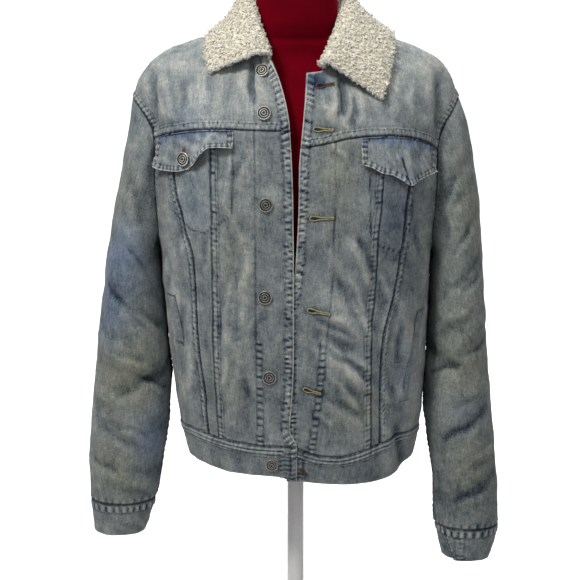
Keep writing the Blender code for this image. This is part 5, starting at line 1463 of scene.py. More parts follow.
# Creases finer than the solid's folds, on the trunk: distance from the centre plane and height of both ends.
CREASES = (
    # side, back, x0, z0, x1, z1, breadth, out
    (-1, False, 0.0640, 0.865, 0.0600, 0.800, 0.0055, -0.0030),
    (-1, False, 0.1300, 0.850, 0.1350, 0.780, 0.0070, 0.0012),
    (-1, False, 0.1600, 0.835, 0.1620, 0.775, 0.0055, -0.0012),
    (-1, False, 0.1850, 0.820, 0.1780, 0.775, 0.0050, 0.0012),
    (-1, False, 0.0700, 0.735, 0.0900, 0.690, 0.0050, -0.0010),
    (-1, False, 0.0930, 0.650, 0.0730, 0.600, 0.0060, 0.0014),
    (-1, False, 0.0750, 0.600, 0.0880, 0.500, 0.0055, -0.0016),
    (-1, False, 0.0930, 0.560, 0.1020, 0.430, 0.0060, 0.0016),
    (-1, False, 0.0800, 0.460, 0.0650, 0.370, 0.0060, -0.0013),
    (-1, False, 0.1000, 0.410, 0.1080, 0.345, 0.0050, -0.0014),
    (-1, False, 0.0500, 0.520, 0.0700, 0.470, 0.0045, 0.0010),
    (-1, False, 0.1250, 0.620, 0.1350, 0.560, 0.0050, -0.0012),
    (-1, False, 0.1300, 0.480, 0.1220, 0.400, 0.0045, -0.0012),
    (-1, False, 0.1620, 0.660, 0.1700, 0.580, 0.0060, -0.0014),
    (-1, False, 0.1500, 0.440, 0.1600, 0.370, 0.0060, 0.0013),
    (1, False, 0.0640, 0.840, 0.0700, 0.775, 0.0055, -0.0030),
    (1, False, 0.0850, 0.815, 0.0800, 0.765, 0.0050, -0.0026),
    (1, False, 0.1250, 0.835, 0.1300, 0.780, 0.0060, -0.0012),
    (1, False, 0.1650, 0.830, 0.1600, 0.775, 0.0055, 0.0012),
    (1, False, 0.0850, 0.620, 0.1130, 0.560, 0.0048, -0.0018),
    (1, False, 0.0700, 0.570, 0.1000, 0.505, 0.0050, 0.0017),
    (1, False, 0.0900, 0.540, 0.1180, 0.470, 0.0050, -0.0016),
    (1, False, 0.0250, 0.500, 0.0850, 0.468, 0.0042, -0.0022),
    (1, False, 0.0300, 0.480, 0.0700, 0.440, 0.0045, 0.0017),
    (1, False, 0.0600, 0.455, 0.1100, 0.400, 0.0050, -0.0018),
    (1, False, 0.0400, 0.425, 0.0750, 0.385, 0.0042, 0.0014),
    (1, False, 0.0550, 0.380, 0.1000, 0.345, 0.0050, -0.0016),
    (1, False, 0.0300, 0.365, 0.0550, 0.335, 0.0040, 0.0012),
    (1, False, 0.1350, 0.540, 0.1250, 0.450, 0.0050, 0.0015),
    (1, False, 0.1550, 0.500, 0.1450, 0.420, 0.0050, -0.0015),
    (1, False, 0.1700, 0.640, 0.1780, 0.570, 0.0060, -0.0014),
    (1, False, 0.1450, 0.400, 0.1650, 0.345, 0.0055, 0.0014),
    (1, False, 0.0843, 0.5997, 0.1089, 0.5327, 0.0042, 0.0015),
    (1, False, 0.1170, 0.5641, 0.1344, 0.5240, 0.0038, 0.0014),
    (1, False, 0.0541, 0.4518, 0.0856, 0.4358, 0.0038, 0.0015),
    (1, False, 0.0827, 0.4388, 0.1129, 0.4140, 0.0046, 0.0016),
    (1, False, 0.0496, 0.5025, 0.0767, 0.4880, 0.0038, 0.0012),
    (1, False, 0.0715, 0.4110, 0.1049, 0.3478, 0.0054, -0.0019),
    (1, False, 0.0792, 0.5240, 0.1081, 0.4692, 0.0038, 0.0014),
    (1, False, 0.1443, 0.5269, 0.1679, 0.4591, 0.0042, 0.0014),
    (1, False, 0.1244, 0.4008, 0.1377, 0.3611, 0.0038, 0.0014),
    (1, False, 0.0620, 0.5698, 0.0792, 0.5240, 0.0042, 0.0014),
    (-1, False, 0.0968, 0.4446, 0.1074, 0.3611, 0.0046, 0.0015),
    (-1, False, 0.0790, 0.5670, 0.0953, 0.4518, 0.0050, 0.0015),
    (-1, False, 0.1047, 0.5240, 0.1110, 0.4518, 0.0038, -0.0012),
    (-1, False, 0.1874, 0.5784, 0.1953, 0.5240, 0.0038, 0.0014),
    (-1, False, 0.1698, 0.5240, 0.1764, 0.4591, 0.0038, 0.0012),
    (-1, False, 0.0892, 0.7357, 0.1009, 0.6519, 0.0046, 0.0012),
    (1, False, 0.0471, 0.7495, 0.0779, 0.7149, 0.0042, 0.0012),
    (1, False, 0.0357, 0.8156, 0.0469, 0.7772, 0.0042, 0.0015),
    (1, False, 0.0675, 0.8156, 0.0580, 0.7744, 0.0046, -0.0019),
    (-1, False, 0.0663, 0.8538, 0.0611, 0.8046, 0.0050, -0.0022),
    (-1, True, 0.0500, 0.860, 0.0600, 0.790, 0.0070, -0.0014),
    (-1, True, 0.1400, 0.850, 0.1250, 0.780, 0.0070, 0.0013),
    (-1, True, 0.1700, 0.740, 0.1300, 0.660, 0.0065, -0.0018),
    (-1, True, 0.1500, 0.660, 0.1100, 0.590, 0.0060, 0.0015),
    (-1, True, 0.0400, 0.600, 0.0600, 0.500, 0.0065, -0.0014),
    (-1, True, 0.0900, 0.470, 0.1100, 0.380, 0.0060, -0.0016),
    (-1, True, 0.0300, 0.430, 0.0450, 0.350, 0.0060, 0.0014),
    (1, True, 0.0700, 0.860, 0.0650, 0.790, 0.0070, -0.0013),
    (1, True, 0.1500, 0.850, 0.1400, 0.780, 0.0070, 0.0013),
    (1, True, 0.1750, 0.730, 0.1350, 0.670, 0.0065, -0.0018),
    (1, True, 0.1450, 0.650, 0.1150, 0.600, 0.0060, 0.0015),
    (1, True, 0.0500, 0.640, 0.0350, 0.540, 0.0065, 0.0013),
    (1, True, 0.1000, 0.510, 0.0850, 0.410, 0.0060, -0.0017),
    (1, True, 0.0350, 0.420, 0.0300, 0.350, 0.0060, -0.0012),
)
# The same on the sleeves: turn round the arm (0 outside, 0.25 front) and height of both ends.
ARM_CREASES = (
    # side, turn0, z0, turn1, z1, breadth, out
    (-1, 0.06, 0.740, 0.22, 0.690, 0.0060, -0.0014),
    (-1, 0.12, 0.660, 0.30, 0.610, 0.0060, 0.0014),
    (-1, 0.20, 0.600, 0.36, 0.555, 0.0055, -0.0016),
    (-1, 0.08, 0.540, 0.24, 0.500, 0.0060, -0.0013),
    (-1, 0.26, 0.500, 0.44, 0.450, 0.0055, 0.0017),
    (-1, 0.14, 0.440, 0.34, 0.415, 0.0055, -0.0016),
    (-1, 0.28, 0.400, 0.46, 0.370, 0.0050, -0.0018),
    (-1, 0.04, 0.380, 0.20, 0.350, 0.0060, 0.0014),
    (-1, 0.18, 0.330, 0.38, 0.300, 0.0055, -0.0016),
    (-1, 0.06, 0.270, 0.24, 0.250, 0.0055, -0.0013),
    (-1, 0.26, 0.235, 0.42, 0.220, 0.0050, 0.0014),
    (-1, 0.60, 0.560, 0.78, 0.520, 0.0065, -0.0016),
    (-1, 0.66, 0.450, 0.90, 0.420, 0.0065, 0.0015),
    (-1, 0.62, 0.340, 0.84, 0.310, 0.0060, -0.0016),
    (1, 0.05, 0.750, 0.20, 0.700, 0.0060, -0.0015),
    (1, 0.10, 0.690, 0.30, 0.640, 0.0055, 0.0016),
    (1, 0.12, 0.630, 0.32, 0.575, 0.0060, -0.0017),
    (1, 0.06, 0.560, 0.28, 0.515, 0.0055, -0.0016),
    (1, 0.20, 0.500, 0.40, 0.470, 0.0055, 0.0017),
    (1, 0.05, 0.455, 0.26, 0.425, 0.0050, -0.0017),
    (1, 0.22, 0.420, 0.44, 0.400, 0.0050, -0.0018),
    (1, 0.08, 0.385, 0.32, 0.355, 0.0055, 0.0016),
    (1, 0.16, 0.330, 0.38, 0.300, 0.0055, -0.0017),
    (1, 0.03, 0.290, 0.24, 0.265, 0.0050, 0.0013),
    (1, 0.14, 0.225, 0.34, 0.205, 0.0050, -0.0015),
    (1, 0.58, 0.570, 0.80, 0.530, 0.0065, -0.0016),
    (1, 0.64, 0.460, 0.88, 0.430, 0.0065, 0.0015),
    (1, 0.60, 0.330, 0.82, 0.300, 0.0060, -0.0016),
)


# ---------------------------------------------------------------- cloth surfaces with their finer creases
CREASE_GAIN = 1.7  # how much deeper all creases are than their tables say

# Rough real lengths of the pieces, which the spacing of their grids is worked out from.
BODY_LENGTH, YOKE_LENGTH, BAND_LENGTH = 0.445, 0.165, 0.052
CENTER_WIDE, PANEL_WIDE, SIDE_WIDE, BACK_WIDE = 0.118, 0.040, 0.085, 0.120
YOKE_INNER, YOKE_OUTER, YOKE_OUTER_BACK = 0.110, 0.120, 0.135
BAND_SIDE, BAND_BACK = 0.125, 0.235
CAP_LENGTH, TOP_ROUND, UNDER_ROUND = 0.240, 0.245, 0.120
CUFF_ROUND, CUFF_LENGTH = 0.295, 0.050


def creased(points, normals, lift):
    """The cloth raised by its creases and by low uneven waves all over, and its normals."""
    lift = lift + crumple(points, 0.016, 0.0010, 1.0) + crumple(points, 0.006, 0.00026, 4.0)
    return points + lift[..., None] * normals, normals


def shaped(side, back, points, normals):
    """The trunk's cloth with its creases."""
    rows = [row[2:] for row in CREASES if row[:2] == (side, back)]
    lift = CREASE_GAIN * crease_height(rows, np.abs(points[..., 0]), points[..., 2])
    return creased(points, normals, lift)


def ease_last(points, normals, reach=0.012):
    """Turns the wall's way gradually towards that of the last column, where the armhole's seam has its own."""
    away = np.linalg.norm(points - points[:, -1:], axis=-1)
    share = (1 - ease(away / reach))[..., None]
    return unit(normals * (1 - share) + normals[:, -1:] * share)


def trunk_cloth(side, back, columns, rows):
    """Points and normals of the finished trunk at these columns and rows."""
    s, h = np.meshgrid(columns, rows)
    points, normals = cloth(side, back, s, h)
    if abs(columns[-1] - 3.0) < 1e-6 and rows[-1] > ARM_ROW:
        normals = ease_last(points, normals)
    return shaped(side, back, points, normals)


def arm_shaped(side, turn, k):
    """The sleeve's cloth with its creases, which fade out at the armhole and at the cuff's seam."""
    points, normals = arm_cloth(side, turn, k)
    rows = []
    for own, t0, z0, t1, z1, breadth, out in ARM_CREASES:
        if own == side:
            rows.append((t0 * ARM_ROUND, z0, t1 * ARM_ROUND, z1, breadth, out))
    free = ease(k / 0.45) * (1 - 0.7 * ease((k - 1.9) / 0.2))
    lift = CREASE_GAIN * crease_height(rows, np.mod(turn, 1.0) * ARM_ROUND, points[..., 2]) * free
    return creased(points, normals, lift)


def body_rows(coarse=PLAIN):
    low = graded(0.0, ARM_ROW, BODY_LENGTH * ARM_ROW, (True, False), coarse)
    return joined(low, graded(ARM_ROW, 1.0, BODY_LENGTH * (1 - ARM_ROW), (False, True), coarse))


def yoke_rows(coarse=PLAIN):
    return graded(1.0, 2.0, YOKE_LENGTH, (True, False), coarse)


def column_line(points, away):
    """The line down a front grid that keeps these distances from the centre plane, one a row."""
    spots = []
    for row, wanted in zip(points, np.broadcast_to(away, len(points))):
        order = np.abs(row[:, 0])
        if order.min() <= wanted <= order.max():
            sorting = np.argsort(order)
            spots.append([np.interp(wanted, order[sorting], row[sorting, i]) for i in range(3)])
    return Line(np.array(spots))


# ---------------------------------------------------------------- rows of stitches
STITCH_ROWS = []
STITCH_WIDE = 0.00078


def row_along(relief, border, away, part=slice(None)):
    """Notes a row of stitches this far in from one border of a panel, on the relief's surface."""
    normals = relief.normals
    surface = relief.points + relief.height[..., None] * normals
    if border in ("low", "high"):
        surface, normals = surface.transpose(1, 0, 2), normals.transpose(1, 0, 2)
    if border in ("right", "high"):
        surface, normals = surface[:, ::-1], normals[:, ::-1]
    surface, normals = surface[part], normals[part]
    steps = np.linalg.norm(np.diff(surface, axis=1), axis=2)
    length = np.concatenate([np.zeros((len(surface), 1)), np.cumsum(steps, axis=1)], axis=1)
    column = np.clip((length < away).sum(axis=1) - 1, 0, surface.shape[1] - 2)
    rows = np.arange(len(surface))
    share = ((away - length[rows, column]) / np.maximum(steps[rows, column], 1e-9))[:, None]
    spots = surface[rows, column] * (1 - share) + surface[rows, column + 1] * share
    ways = unit(normals[rows, column] * (1 - share) + normals[rows, column + 1] * share)
    STITCH_ROWS.append((spots, ways))


def rows_along(relief, *borders, part=slice(None)):
    """Notes rows of stitches: each border comes with how far in its rows lie."""
    for border, rows in borders:
        for away in rows:
            row_along(relief, border, away, part)


def row_on_grid(relief, line):
    """Notes a row of stitches along a line that lies on the inside of a panel."""
    surface = (relief.points + relief.height[..., None] * relief.normals).reshape(-1, 3)
    flat = relief.points.reshape(-1, 3)
    nearest = [((flat - spot) ** 2).sum(axis=1).argmin() for spot in line.points]
    ways = relief.normals.reshape(-1, 3)[nearest]
    lift = np.sum((surface[nearest] - line.points) * ways, axis=1)
    STITCH_ROWS.append((line.points + lift[:, None] * ways, ways))


def stitch_mesh(name, material):
    """All stitches as one mesh: a small lozenge copied along every row."""
    bm = bmesh.new()
    bmesh.ops.create_icosphere(bm, subdivisions=1, radius=0.5)
    shape, faces = read_shape(bm)
    places, along, up = [], [], []
    for spots, ways in STITCH_ROWS:
        length = lengths_along(spots)
        count = int(length[-1] / sizes().stitch_pitch)
        if count < 2:
            continue
        at = (np.arange(count) + 0.5) * sizes().stitch_pitch
        spot = read_along(at, length, spots)
        places.append(spot)
        along.append(unit(read_along(at + 0.001, length, spots) - spot))
        up.append(unit(read_along(at, length, ways)))
    places, along, up = (np.concatenate(item) for item in (places, along, up))
    across = unit(np.cross(up, along))
    up = np.cross(along, across)
    lozenge = shape * (sizes().stitch_length, STITCH_WIDE, STITCH_WIDE * 0.8)
    points = (
        places[:, None]
        + lozenge[None, :, :1] * along[:, None]
        + lozenge[None, :, 1:2] * across[:, None]
        + (lozenge[None, :, 2:] + 0.00012) * up[:, None]
    )
    settle(keep_copies(name, material, points, faces))


# ---------------------------------------------------------------- fronts
# The line that sews the hidden pocket bag to the front, from the flap down, round its point and up:
# distance from the centre plane and height.
POCKET_BAGS = {
    -1: ((0.0880, 0.7350), (0.0900, 0.6450), (0.1300, 0.6180), (0.1480, 0.6220), (0.1780, 0.6480)),
    1: ((0.1030, 0.7000), (0.1050, 0.6180), (0.1190, 0.6000), (0.1470, 0.5900), (0.1660, 0.6000), (0.1860, 0.6250)),
}
FACINGS = {
    -1: Table("z away", (0.300, 0.0560), (0.845, 0.0590)),
    1: Table(
        "z away",
        (0.300, 0.0260),
        (0.415, 0.0400),
        (0.500, 0.0460),
        (0.565, 0.0520),
        (0.666, 0.0540),
        (0.845, 0.0580),
    ),
}
YOKE_FACING, YOKE_FACING_TOP = 0.0585, 0.835  # where the facing's row runs on the yoke, and where it ends
DOUBLE_BELOW = 0.470  # the facing is sewn with a second row below this height
ROW_GAP, LUMPS_GAP = 0.0095, 0.0047  # from the facing's row to its second row and to the lumps between them

# How the seams and edges look that more than one panel shares.
FRONT_EDGE = {
    "band": 0.0125, "rise": 0.0006, "pitch": 0.0088, "rows": EDGE_ROWS, "edge": 0.0, "line_dark": 0.0,
}
YOKE_SEAM = {
    "band": 0.0115, "rise": 0.0013, "rope": 0.00055, "pitch": 0.0076, "rows": YOKE_ROWS, "dark": 0.9,
}
RUBBED = {"width": 0.0021, "pale": 1.5}
BAG_ROW = {"width": 0.0010, "dark": 0.95}


def bag_line(side):
    corners = np.array(POCKET_BAGS[side])
    length = lengths_along(corners)
    at = np.linspace(0.0, length[-1], 90)
    x, z = (np.interp(at, length, corners[:, i]) for i in (0, 1))
    return Line(front_spot(side, x, z)[0])


def front_spot(side, x, z):
    """Points and normals of a front's finished cloth at these distances from the centre plane and heights."""
    return shaped(side, False, *on_front(side, side * np.asarray(x, float), np.asarray(z, float)))


def shade_buttonholes(side, relief):
    """The cloth round a buttonhole, which its thread draws in, darkened with painted shade."""
    if side < 0:
        return
    x, z = relief.points[..., 0], relief.points[..., 2]
    for inner, outer, height, rise, _ in BUTTONHOLES:
        near = np.clip(x, inner, outer)
        drawn = bell(np.hypot(x - near, z - height - rise * (near - inner) / (outer - inner)), 0.0050)
        # painted shade round the buttonhole
        relief.wear_and_shade -= 0.75 * drawn
        relief.height += 0.0005 * drawn * np.sin(x / 0.0011)


def front_center(side, denim):
    points, normals = trunk_cloth(side, False, graded(0.0, 1.0, CENTER_WIDE, coarse=CLOSE), body_rows())
    relief = Relief(points, normals)
    relief.seam("left", rope=0.0014, seed=2 + side, dark=3.2, pale=0.80, **FRONT_EDGE)
    relief.worn_edge("left", **RUBBED)
    relief.seam("right", seed=5 + side)
    relief.plain_edge("low")
    relief.plain_edge("high")
    facing = FACINGS[side].at(points[:, 0, 2])["away"]
    facing_line = column_line(points, facing)
    relief.stitch_row(facing_line, seed=3)
    low = points[:, 0, 2] < DOUBLE_BELOW
    second = column_line(points[low], facing[low] - ROW_GAP)
    relief.stitch_row(second, dark=0.80, depth=0.0006, gather=0.0005, seed=6)
    middle = column_line(points[low], facing[low] - LUMPS_GAP)
    relief.lumps(middle, -0.003, 0.0048, size=0.0008, pitch=0.0095, seed=4, dark=1.1)
    relief.stitch_row(bag_line(side), **BAG_ROW)
    shade_buttonholes(side, relief)
    # Painted light: the centre front takes a share of the yokes' painted lightness.
    relief.wear_and_shade += FADE_AND_PAINTED_LIGHT["yoke"] * 0.4
    rows_along(relief, ("left", EDGE_ROWS), ("right", FELLED))
    row_on_grid(relief, facing_line)
    row_on_grid(relief, second)
    sew("front_center_" + letter(side), relief, denim)


def front_panel(side, denim):
    relief = Relief(*trunk_cloth(side, False, graded(1.0, 2.0, PANEL_WIDE), body_rows()))
    relief.plain_edge("left")
    relief.plain_edge("right", edge=0.0014, dark=0.75)
    relief.plain_edge("low")
    relief.plain_edge("high")
    relief.stitch_row(bag_line(side), **BAG_ROW)
    relief.wear_and_shade -= 0.03
    sew("front_panel_" + letter(side), relief, denim)


def front_side(side, denim):
    rows = body_rows()
    points, normals = trunk_cloth(side, False, graded(2.0, 3.0, SIDE_WIDE), rows)
    relief = Relief(points, normals)
    relief.seam("left", seed=8 + side)
    arm = rows >= ARM_ROW
    relief.seam(Line(points[arm, -1]), seed=11 + side, dark=1.0)
    relief.plain_edge(Line(points[~arm, -1]))
    relief.plain_edge("low")
    relief.plain_edge("high")
    relief.stitch_row(bag_line(side), **BAG_ROW)
    rows_along(relief, ("left", FELLED))
    rows_along(relief, ("right", FELLED), part=arm)
    sew("front_side_" + letter(side), relief, denim)


def front_yoke(side, denim):
    inner = graded(0.0, 1.0, YOKE_INNER, (True, False), 0.0028)
    columns = joined(inner, graded(1.0, 3.0, YOKE_OUTER, (False, True)))
    points, normals = trunk_cloth(side, False, columns, yoke_rows())
    relief = Relief(points, normals)
    relief.seam("left", rope=0.0012, seed=3 + side, dark=2.3, pale=0.75, **FRONT_EDGE)
    relief.worn_edge("left", **RUBBED)
    relief.seam("low", seed=13 + side, **YOKE_SEAM)
    relief.seam("right", seed=15 + side, dark=1.1, rope=0.0009)
    relief.plain_edge("high")
    if side > 0:
        relief.worn_edge(Line(points[-1, columns < 0.22]), **RUBBED)
    facing_line = column_line(points[points[:, 0, 2] < YOKE_FACING_TOP], YOKE_FACING)
    relief.stitch_row(facing_line, seed=3)
    shade_buttonholes(side, relief)
    # Painted light: the yoke made lighter, as lit from above.
    relief.wear_and_shade += FADE_AND_PAINTED_LIGHT["yoke"]
    rows_along(relief, ("left", EDGE_ROWS), ("low", YOKE_ROWS), ("right", FELLED))
    row_on_grid(relief, facing_line)
    sew("front_yoke_" + letter(side), relief, denim)


# ---------------------------------------------------------------- back
def both_sides(columns, rows):
    """Points and normals of the back from the wearer's left to the right."""
    left = trunk_cloth(1, True, columns, rows)
    right = trunk_cloth(-1, True, columns, rows)
    return tuple(np.concatenate([left[i][:, ::-1], right[i][:, 1:]], axis=1) for i in (0, 1))


def back_center(denim):
    relief = Relief(*both_sides(graded(0.0, BACK_SPLIT, BACK_WIDE, (False, True), REAR), body_rows(REAR)))
    for upright, level in (("left", "low"), ("right", "high")):
        relief.plain_edge(upright, edge=0.0014, dark=0.6)
        relief.plain_edge(level)
    sew("back_center", relief, denim)


def back_side(side, denim):
    rows = body_rows(REAR)
    points, normals = trunk_cloth(side, True, graded(BACK_SPLIT, 3.0, BACK_WIDE, coarse=REAR), rows)
    relief = Relief(points, normals)
    relief.seam("left", seed=21 + side)
    arm = rows >= ARM_ROW
    relief.seam(Line(points[arm, -1]), seed=24 + side)
    relief.seam(Line(points[~arm, -1]), seed=25 + side)
    relief.plain_edge("low")
    relief.plain_edge("high")
    for away in FELLED:
        rows_along(relief, ("left", (away,)), ("right", (away,)))
    sew("back_side_" + letter(side), relief, denim)


def back_yoke(denim):
    inner = graded(0.0, 1.0, YOKE_INNER, (False, False), REAR)
    columns = joined(inner, graded(1.0, 3.0, YOKE_OUTER_BACK, (False, True), REAR))
    relief = Relief(*both_sides(columns, yoke_rows(REAR)))
    relief.seam("low", seed=27, **YOKE_SEAM)
    relief.seam("left", seed=28)
    relief.seam("right", seed=27)
    relief.plain_edge("high")
    # Painted light: the yoke made lighter, as lit from above.
    relief.wear_and_shade += FADE_AND_PAINTED_LIGHT["yoke"]
    rows_along(relief, ("low", YOKE_ROWS), ("left", FELLED), ("right", FELLED))
    sew("back_yoke", relief, denim)


def waistband(denim):
    rows = graded(-1.0, 0.0, BAND_LENGTH, (False, True), CLOSE)
    inner = graded(0.0, 1.0, CENTER_WIDE, (True, False), 0.0030)
    front = joined(inner, graded(1.0, 3.0, BAND_SIDE, (False, False)))
    rear = graded(0.0, 3.0, BAND_BACK, (False, False), REAR)
    left = trunk_cloth(1, False, front, rows)
    back = both_sides(rear, rows)
    right = trunk_cloth(-1, False, front, rows)
    points, normals = (
        np.concatenate([left[i], back[i][:, 1:], right[i][:, ::-1][:, 1:]], axis=1) for i in (0, 1)
    )
    relief = Relief(points, normals)
    band_rows = (0.0020, 0.0075, 0.0132)
    ropes = {"rise": 0.0010, "rope": 0.00025, "pitch": 0.0088}
    relief.seam("high", band=0.0150, rows=band_rows, dark=0.25, seed=31, row_dark=1.35, **ropes)
    away, _ = relief.measure("high")
    sewn = 1 - ease((away - 0.0140) / 0.002)
    relief.wear_and_shade += 0.22 * sewn
    relief.height += 0.0005 * np.cos(2 * math.pi * (away - 0.0048) / 0.0056) * sewn
    relief.worn_edge("low", width=0.0018, pale=0.35)
    for end, seed in (("left", 33), ("right", 32)):
        relief.seam(end, band=0.0100, rise=0.0004, rope=0.0006, rows=(0.0022, 0.0090), seed=seed, dark=1.0)
        relief.worn_edge(end)
    relief.wear_and_shade += FADE_AND_PAINTED_LIGHT["band"]
    rows_along(relief, ("high", band_rows), ("left", (0.0022,)), ("right", (0.0022,)))
    sew("waistband", relief, denim)


# ---------------------------------------------------------------- sleeves and cuffs
def sleeve_piece(side, part, low, high, around, denim):
    """One of a sleeve's two pieces, from its low to its high turn round the arm."""
    cap = graded(0.0, 1.0, CAP_LENGTH, (True, False), WIDE)
    tube_rows = graded(1.0, 2.0, CAP_END - CUFF_SEAM[side], (False, True), 0.0044)
    turn, k = np.meshgrid(graded(low, high, around, coarse=WIDE), joined(cap, tube_rows))
    relief = Relief(*arm_shaped(side, turn, k))
    for border, seed in (("left", 41), ("right", 40)):
        if part == "sleeve_under":
            relief.seam(border, seed=seed, dark=0.7)
            rows_along(relief, (border, FELLED))
        else:
            relief.plain_edge(border)
    relief.plain_edge("low", edge=0.0012, dark=0.55)
    relief.plain_edge("high", edge=0.0014, dark=0.5)
    relief.lumps("high", 0.001, 0.009, size=0.0006, pitch=0.012, seed=side, dark=0.5)
    # Painted shade: the sleeve made darker.
    relief.wear_and_shade += FADE_AND_PAINTED_LIGHT["sleeve"]
    sew(part + "_" + letter(side), relief, denim)


def sleeves(side, denim):
    back_edge = float(turn_at_row(side, True, 1.0))
    sleeve_piece(side, "sleeve_top", back_edge - 1, 0.5, TOP_ROUND, denim)
    sleeve_piece(side, "sleeve_under", 0.5, back_edge, UNDER_ROUND, denim)


def cuff(side, denim):
    lengths = graded(0.0, 1.0, CUFF_ROUND, coarse=0.0028)
    share, k = np.meshgrid(lengths, graded(2.0, 3.0, CUFF_LENGTH, (True, False), CLOSE))
    points, normals = cuff_points(side, share, k)
    sag = 0.0010 * ease((k - 2.2) / 0.6) * crumple(points, 0.008, 1.0, 3.0)
    relief = Relief(points + sag[..., None] * normals, normals)
    top_rows = (0.0018, 0.0145)
    relief.seam("low", band=0.0, rows=top_rows, rope=0.0003, rise=0.0, seed=51 + side, edge=0.0004, dark=0.3)
    relief.lumps("low", 0.0028, 0.0136, size=0.0016, pitch=0.0125, seed=2 + side, dark=0.9)
    relief.worn_edge("high", width=0.0018, pale=0.5)
    for end in ("left", "right"):
        relief.seam(end, band=0.006, rise=0.0002, rope=0.0005, rows=(0.002,), seed=53)
    relief.wear_and_shade += FADE_AND_PAINTED_LIGHT["cuff"]
    rows_along(relief, ("low", top_rows), ("right", (0.0022,)))
    sew("cuff_" + letter(side), relief, denim)


# ---------------------------------------------------------------- the collar: cream pile over a denim under collar
def cells(points, size, seed):
    """Jittered lattice: share of the spacing to the nearest and second spot, and the way to the nearest."""
    place = points.reshape(-1, 3) / size + seed
    base = np.floor(place)
    nearest = np.full(len(place), 9.0)
    second = np.full(len(place), 9.0)
    way = np.zeros_like(place)
    for shift in np.ndindex(3, 3, 3):
        cell = base + np.array(shift) - 1
        mix = np.sin(cell @ np.array([[127.1, 269.5, 113.5], [311.7, 183.3, 271.9], [74.7, 246.1, 124.6]])) * 43758.5453
        spot = cell + 0.15 + 0.7 * (mix - np.floor(mix))
        off = np.linalg.norm(place - spot, axis=1)
        second = np.minimum(second, np.maximum(nearest, off))
        way = np.where((off < nearest)[:, None], spot - place, way)
        nearest = np.minimum(nearest, off)
    shape = points.shape[:-1]
    return nearest.reshape(shape), second.reshape(shape), (way * size).reshape(points.shape)


def resample(grid, count, axis):
    """A grid read at more places along one axis, on a smooth curve through its own."""
    place = np.linspace(0, grid.shape[axis] - 1, count)
    low = np.minimum(place.astype(int), grid.shape[axis] - 2)
    t = (place - low).reshape([-1 if i == axis else 1 for i in range(grid.ndim)])
    a, b, c, d = (np.take(grid, np.clip(low + i, 0, grid.shape[axis] - 1), axis) for i in (-1, 0, 1, 2))
    return b + 0.5 * t * (c - a + t * (2 * a - 5 * b + 4 * c - d + t * (3 * (b - c) + d - a)))


def collar_grid(rows, columns):
    points, normals = collar(*np.meshgrid(np.linspace(-1, 1, 121), np.linspace(0, 1, 33)))
    points, normals = (resample(resample(item, columns, 1), rows, 0) for item in (points, normals))
    return points, unit(normals)


def pile_surface(rows, columns):
    """The pile's backing: the collar raised by most of its thickness, rounded off at its edge and ends."""
    share, t = np.meshgrid(np.linspace(-1, 1, columns), np.linspace(0, 1, rows))
    points, normals = collar_grid(rows, columns)
    round_edge = np.sqrt(np.clip(1 - (1 - np.minimum(1, (1 - t) / 0.12)) ** 2, 0.05, 1))
    round_end = np.sqrt(np.clip(1 - (1 - np.minimum(1, (1 - np.abs(share)) / 0.07)) ** 2, 0.05, 1))
    thick = PILE * (0.35 + 0.65 * round_edge * round_end)
    return share, t, points, normals, thick


def collar_pile(sherpa):
    share, t, points, normals, thick = pile_surface(84, 340)
    surface = points + (thick - 0.0014)[..., None] * normals
    clump, clump_next, _ = cells(surface, 0.0070, 3.0)
    cracks = np.clip(1 - (clump_next - clump) / 0.30, 0, 1)
    bumps = sizes().pile_depth * (1.1 * (0.5 - clump) - 0.9 * cracks)
    border = np.minimum(np.minimum((1 - np.abs(share)) / 0.02, (1 - t) / 0.05), t / 0.03)
    surface = surface + (bumps * np.clip(0.35 + border, 0.35, 1))[..., None] * normals
    # Lightness of the pile from its height: painted shade in the cracks and low places between the clumps.
    depth = np.clip(0.30 + 120 * bumps, 0, 1)
    inner = points + COLLAR_GAP / 2 * normals
    dye_and_shade = np.stack([depth, np.zeros(depth.shape), np.zeros(depth.shape)], axis=-1)
    made = cloth_wall("pile_collar_top", sherpa, surface, inner, cloth_map(points), dye_and_shade)
    settle(made, "collar_top")
    declare_cut(made, points)
    return surface


def curl_shape():
    """One curl as a thin three-sided rod in four rings, from foot to tip."""
    bm = bmesh.new()
    foot = Matrix.Translation((0, 0, 0.5))
    bmesh.ops.create_cone(bm, cap_ends=True, segments=3, radius1=1.0, radius2=0.45, depth=1.0, matrix=foot)
    upright = [edge for edge in bm.edges if abs(edge.verts[0].co.z - edge.verts[1].co.z) > 0.5]
    bmesh.ops.subdivide_edges(bm, edges=upright, cuts=2, use_grid_fill=True)
    bmesh.ops.triangulate(bm, faces=bm.faces[:])
    bmesh.ops.recalc_face_normals(bm, faces=bm.faces[:])
    return read_shape(bm)


# The curl's rings from foot to tip: their places, then their rise, lean, swirl to the side and breadth.
CURL_RINGS = (0, 1 / 3, 2 / 3, 1)
CURL_BEND = ((-0.10, 0.42, 0.60, 0.40), (0.0, 0.12, 0.50, 0.86), (0.0, 0.6, 0.5, -0.5), (1.0, 1.0, 1.15, 1.0))


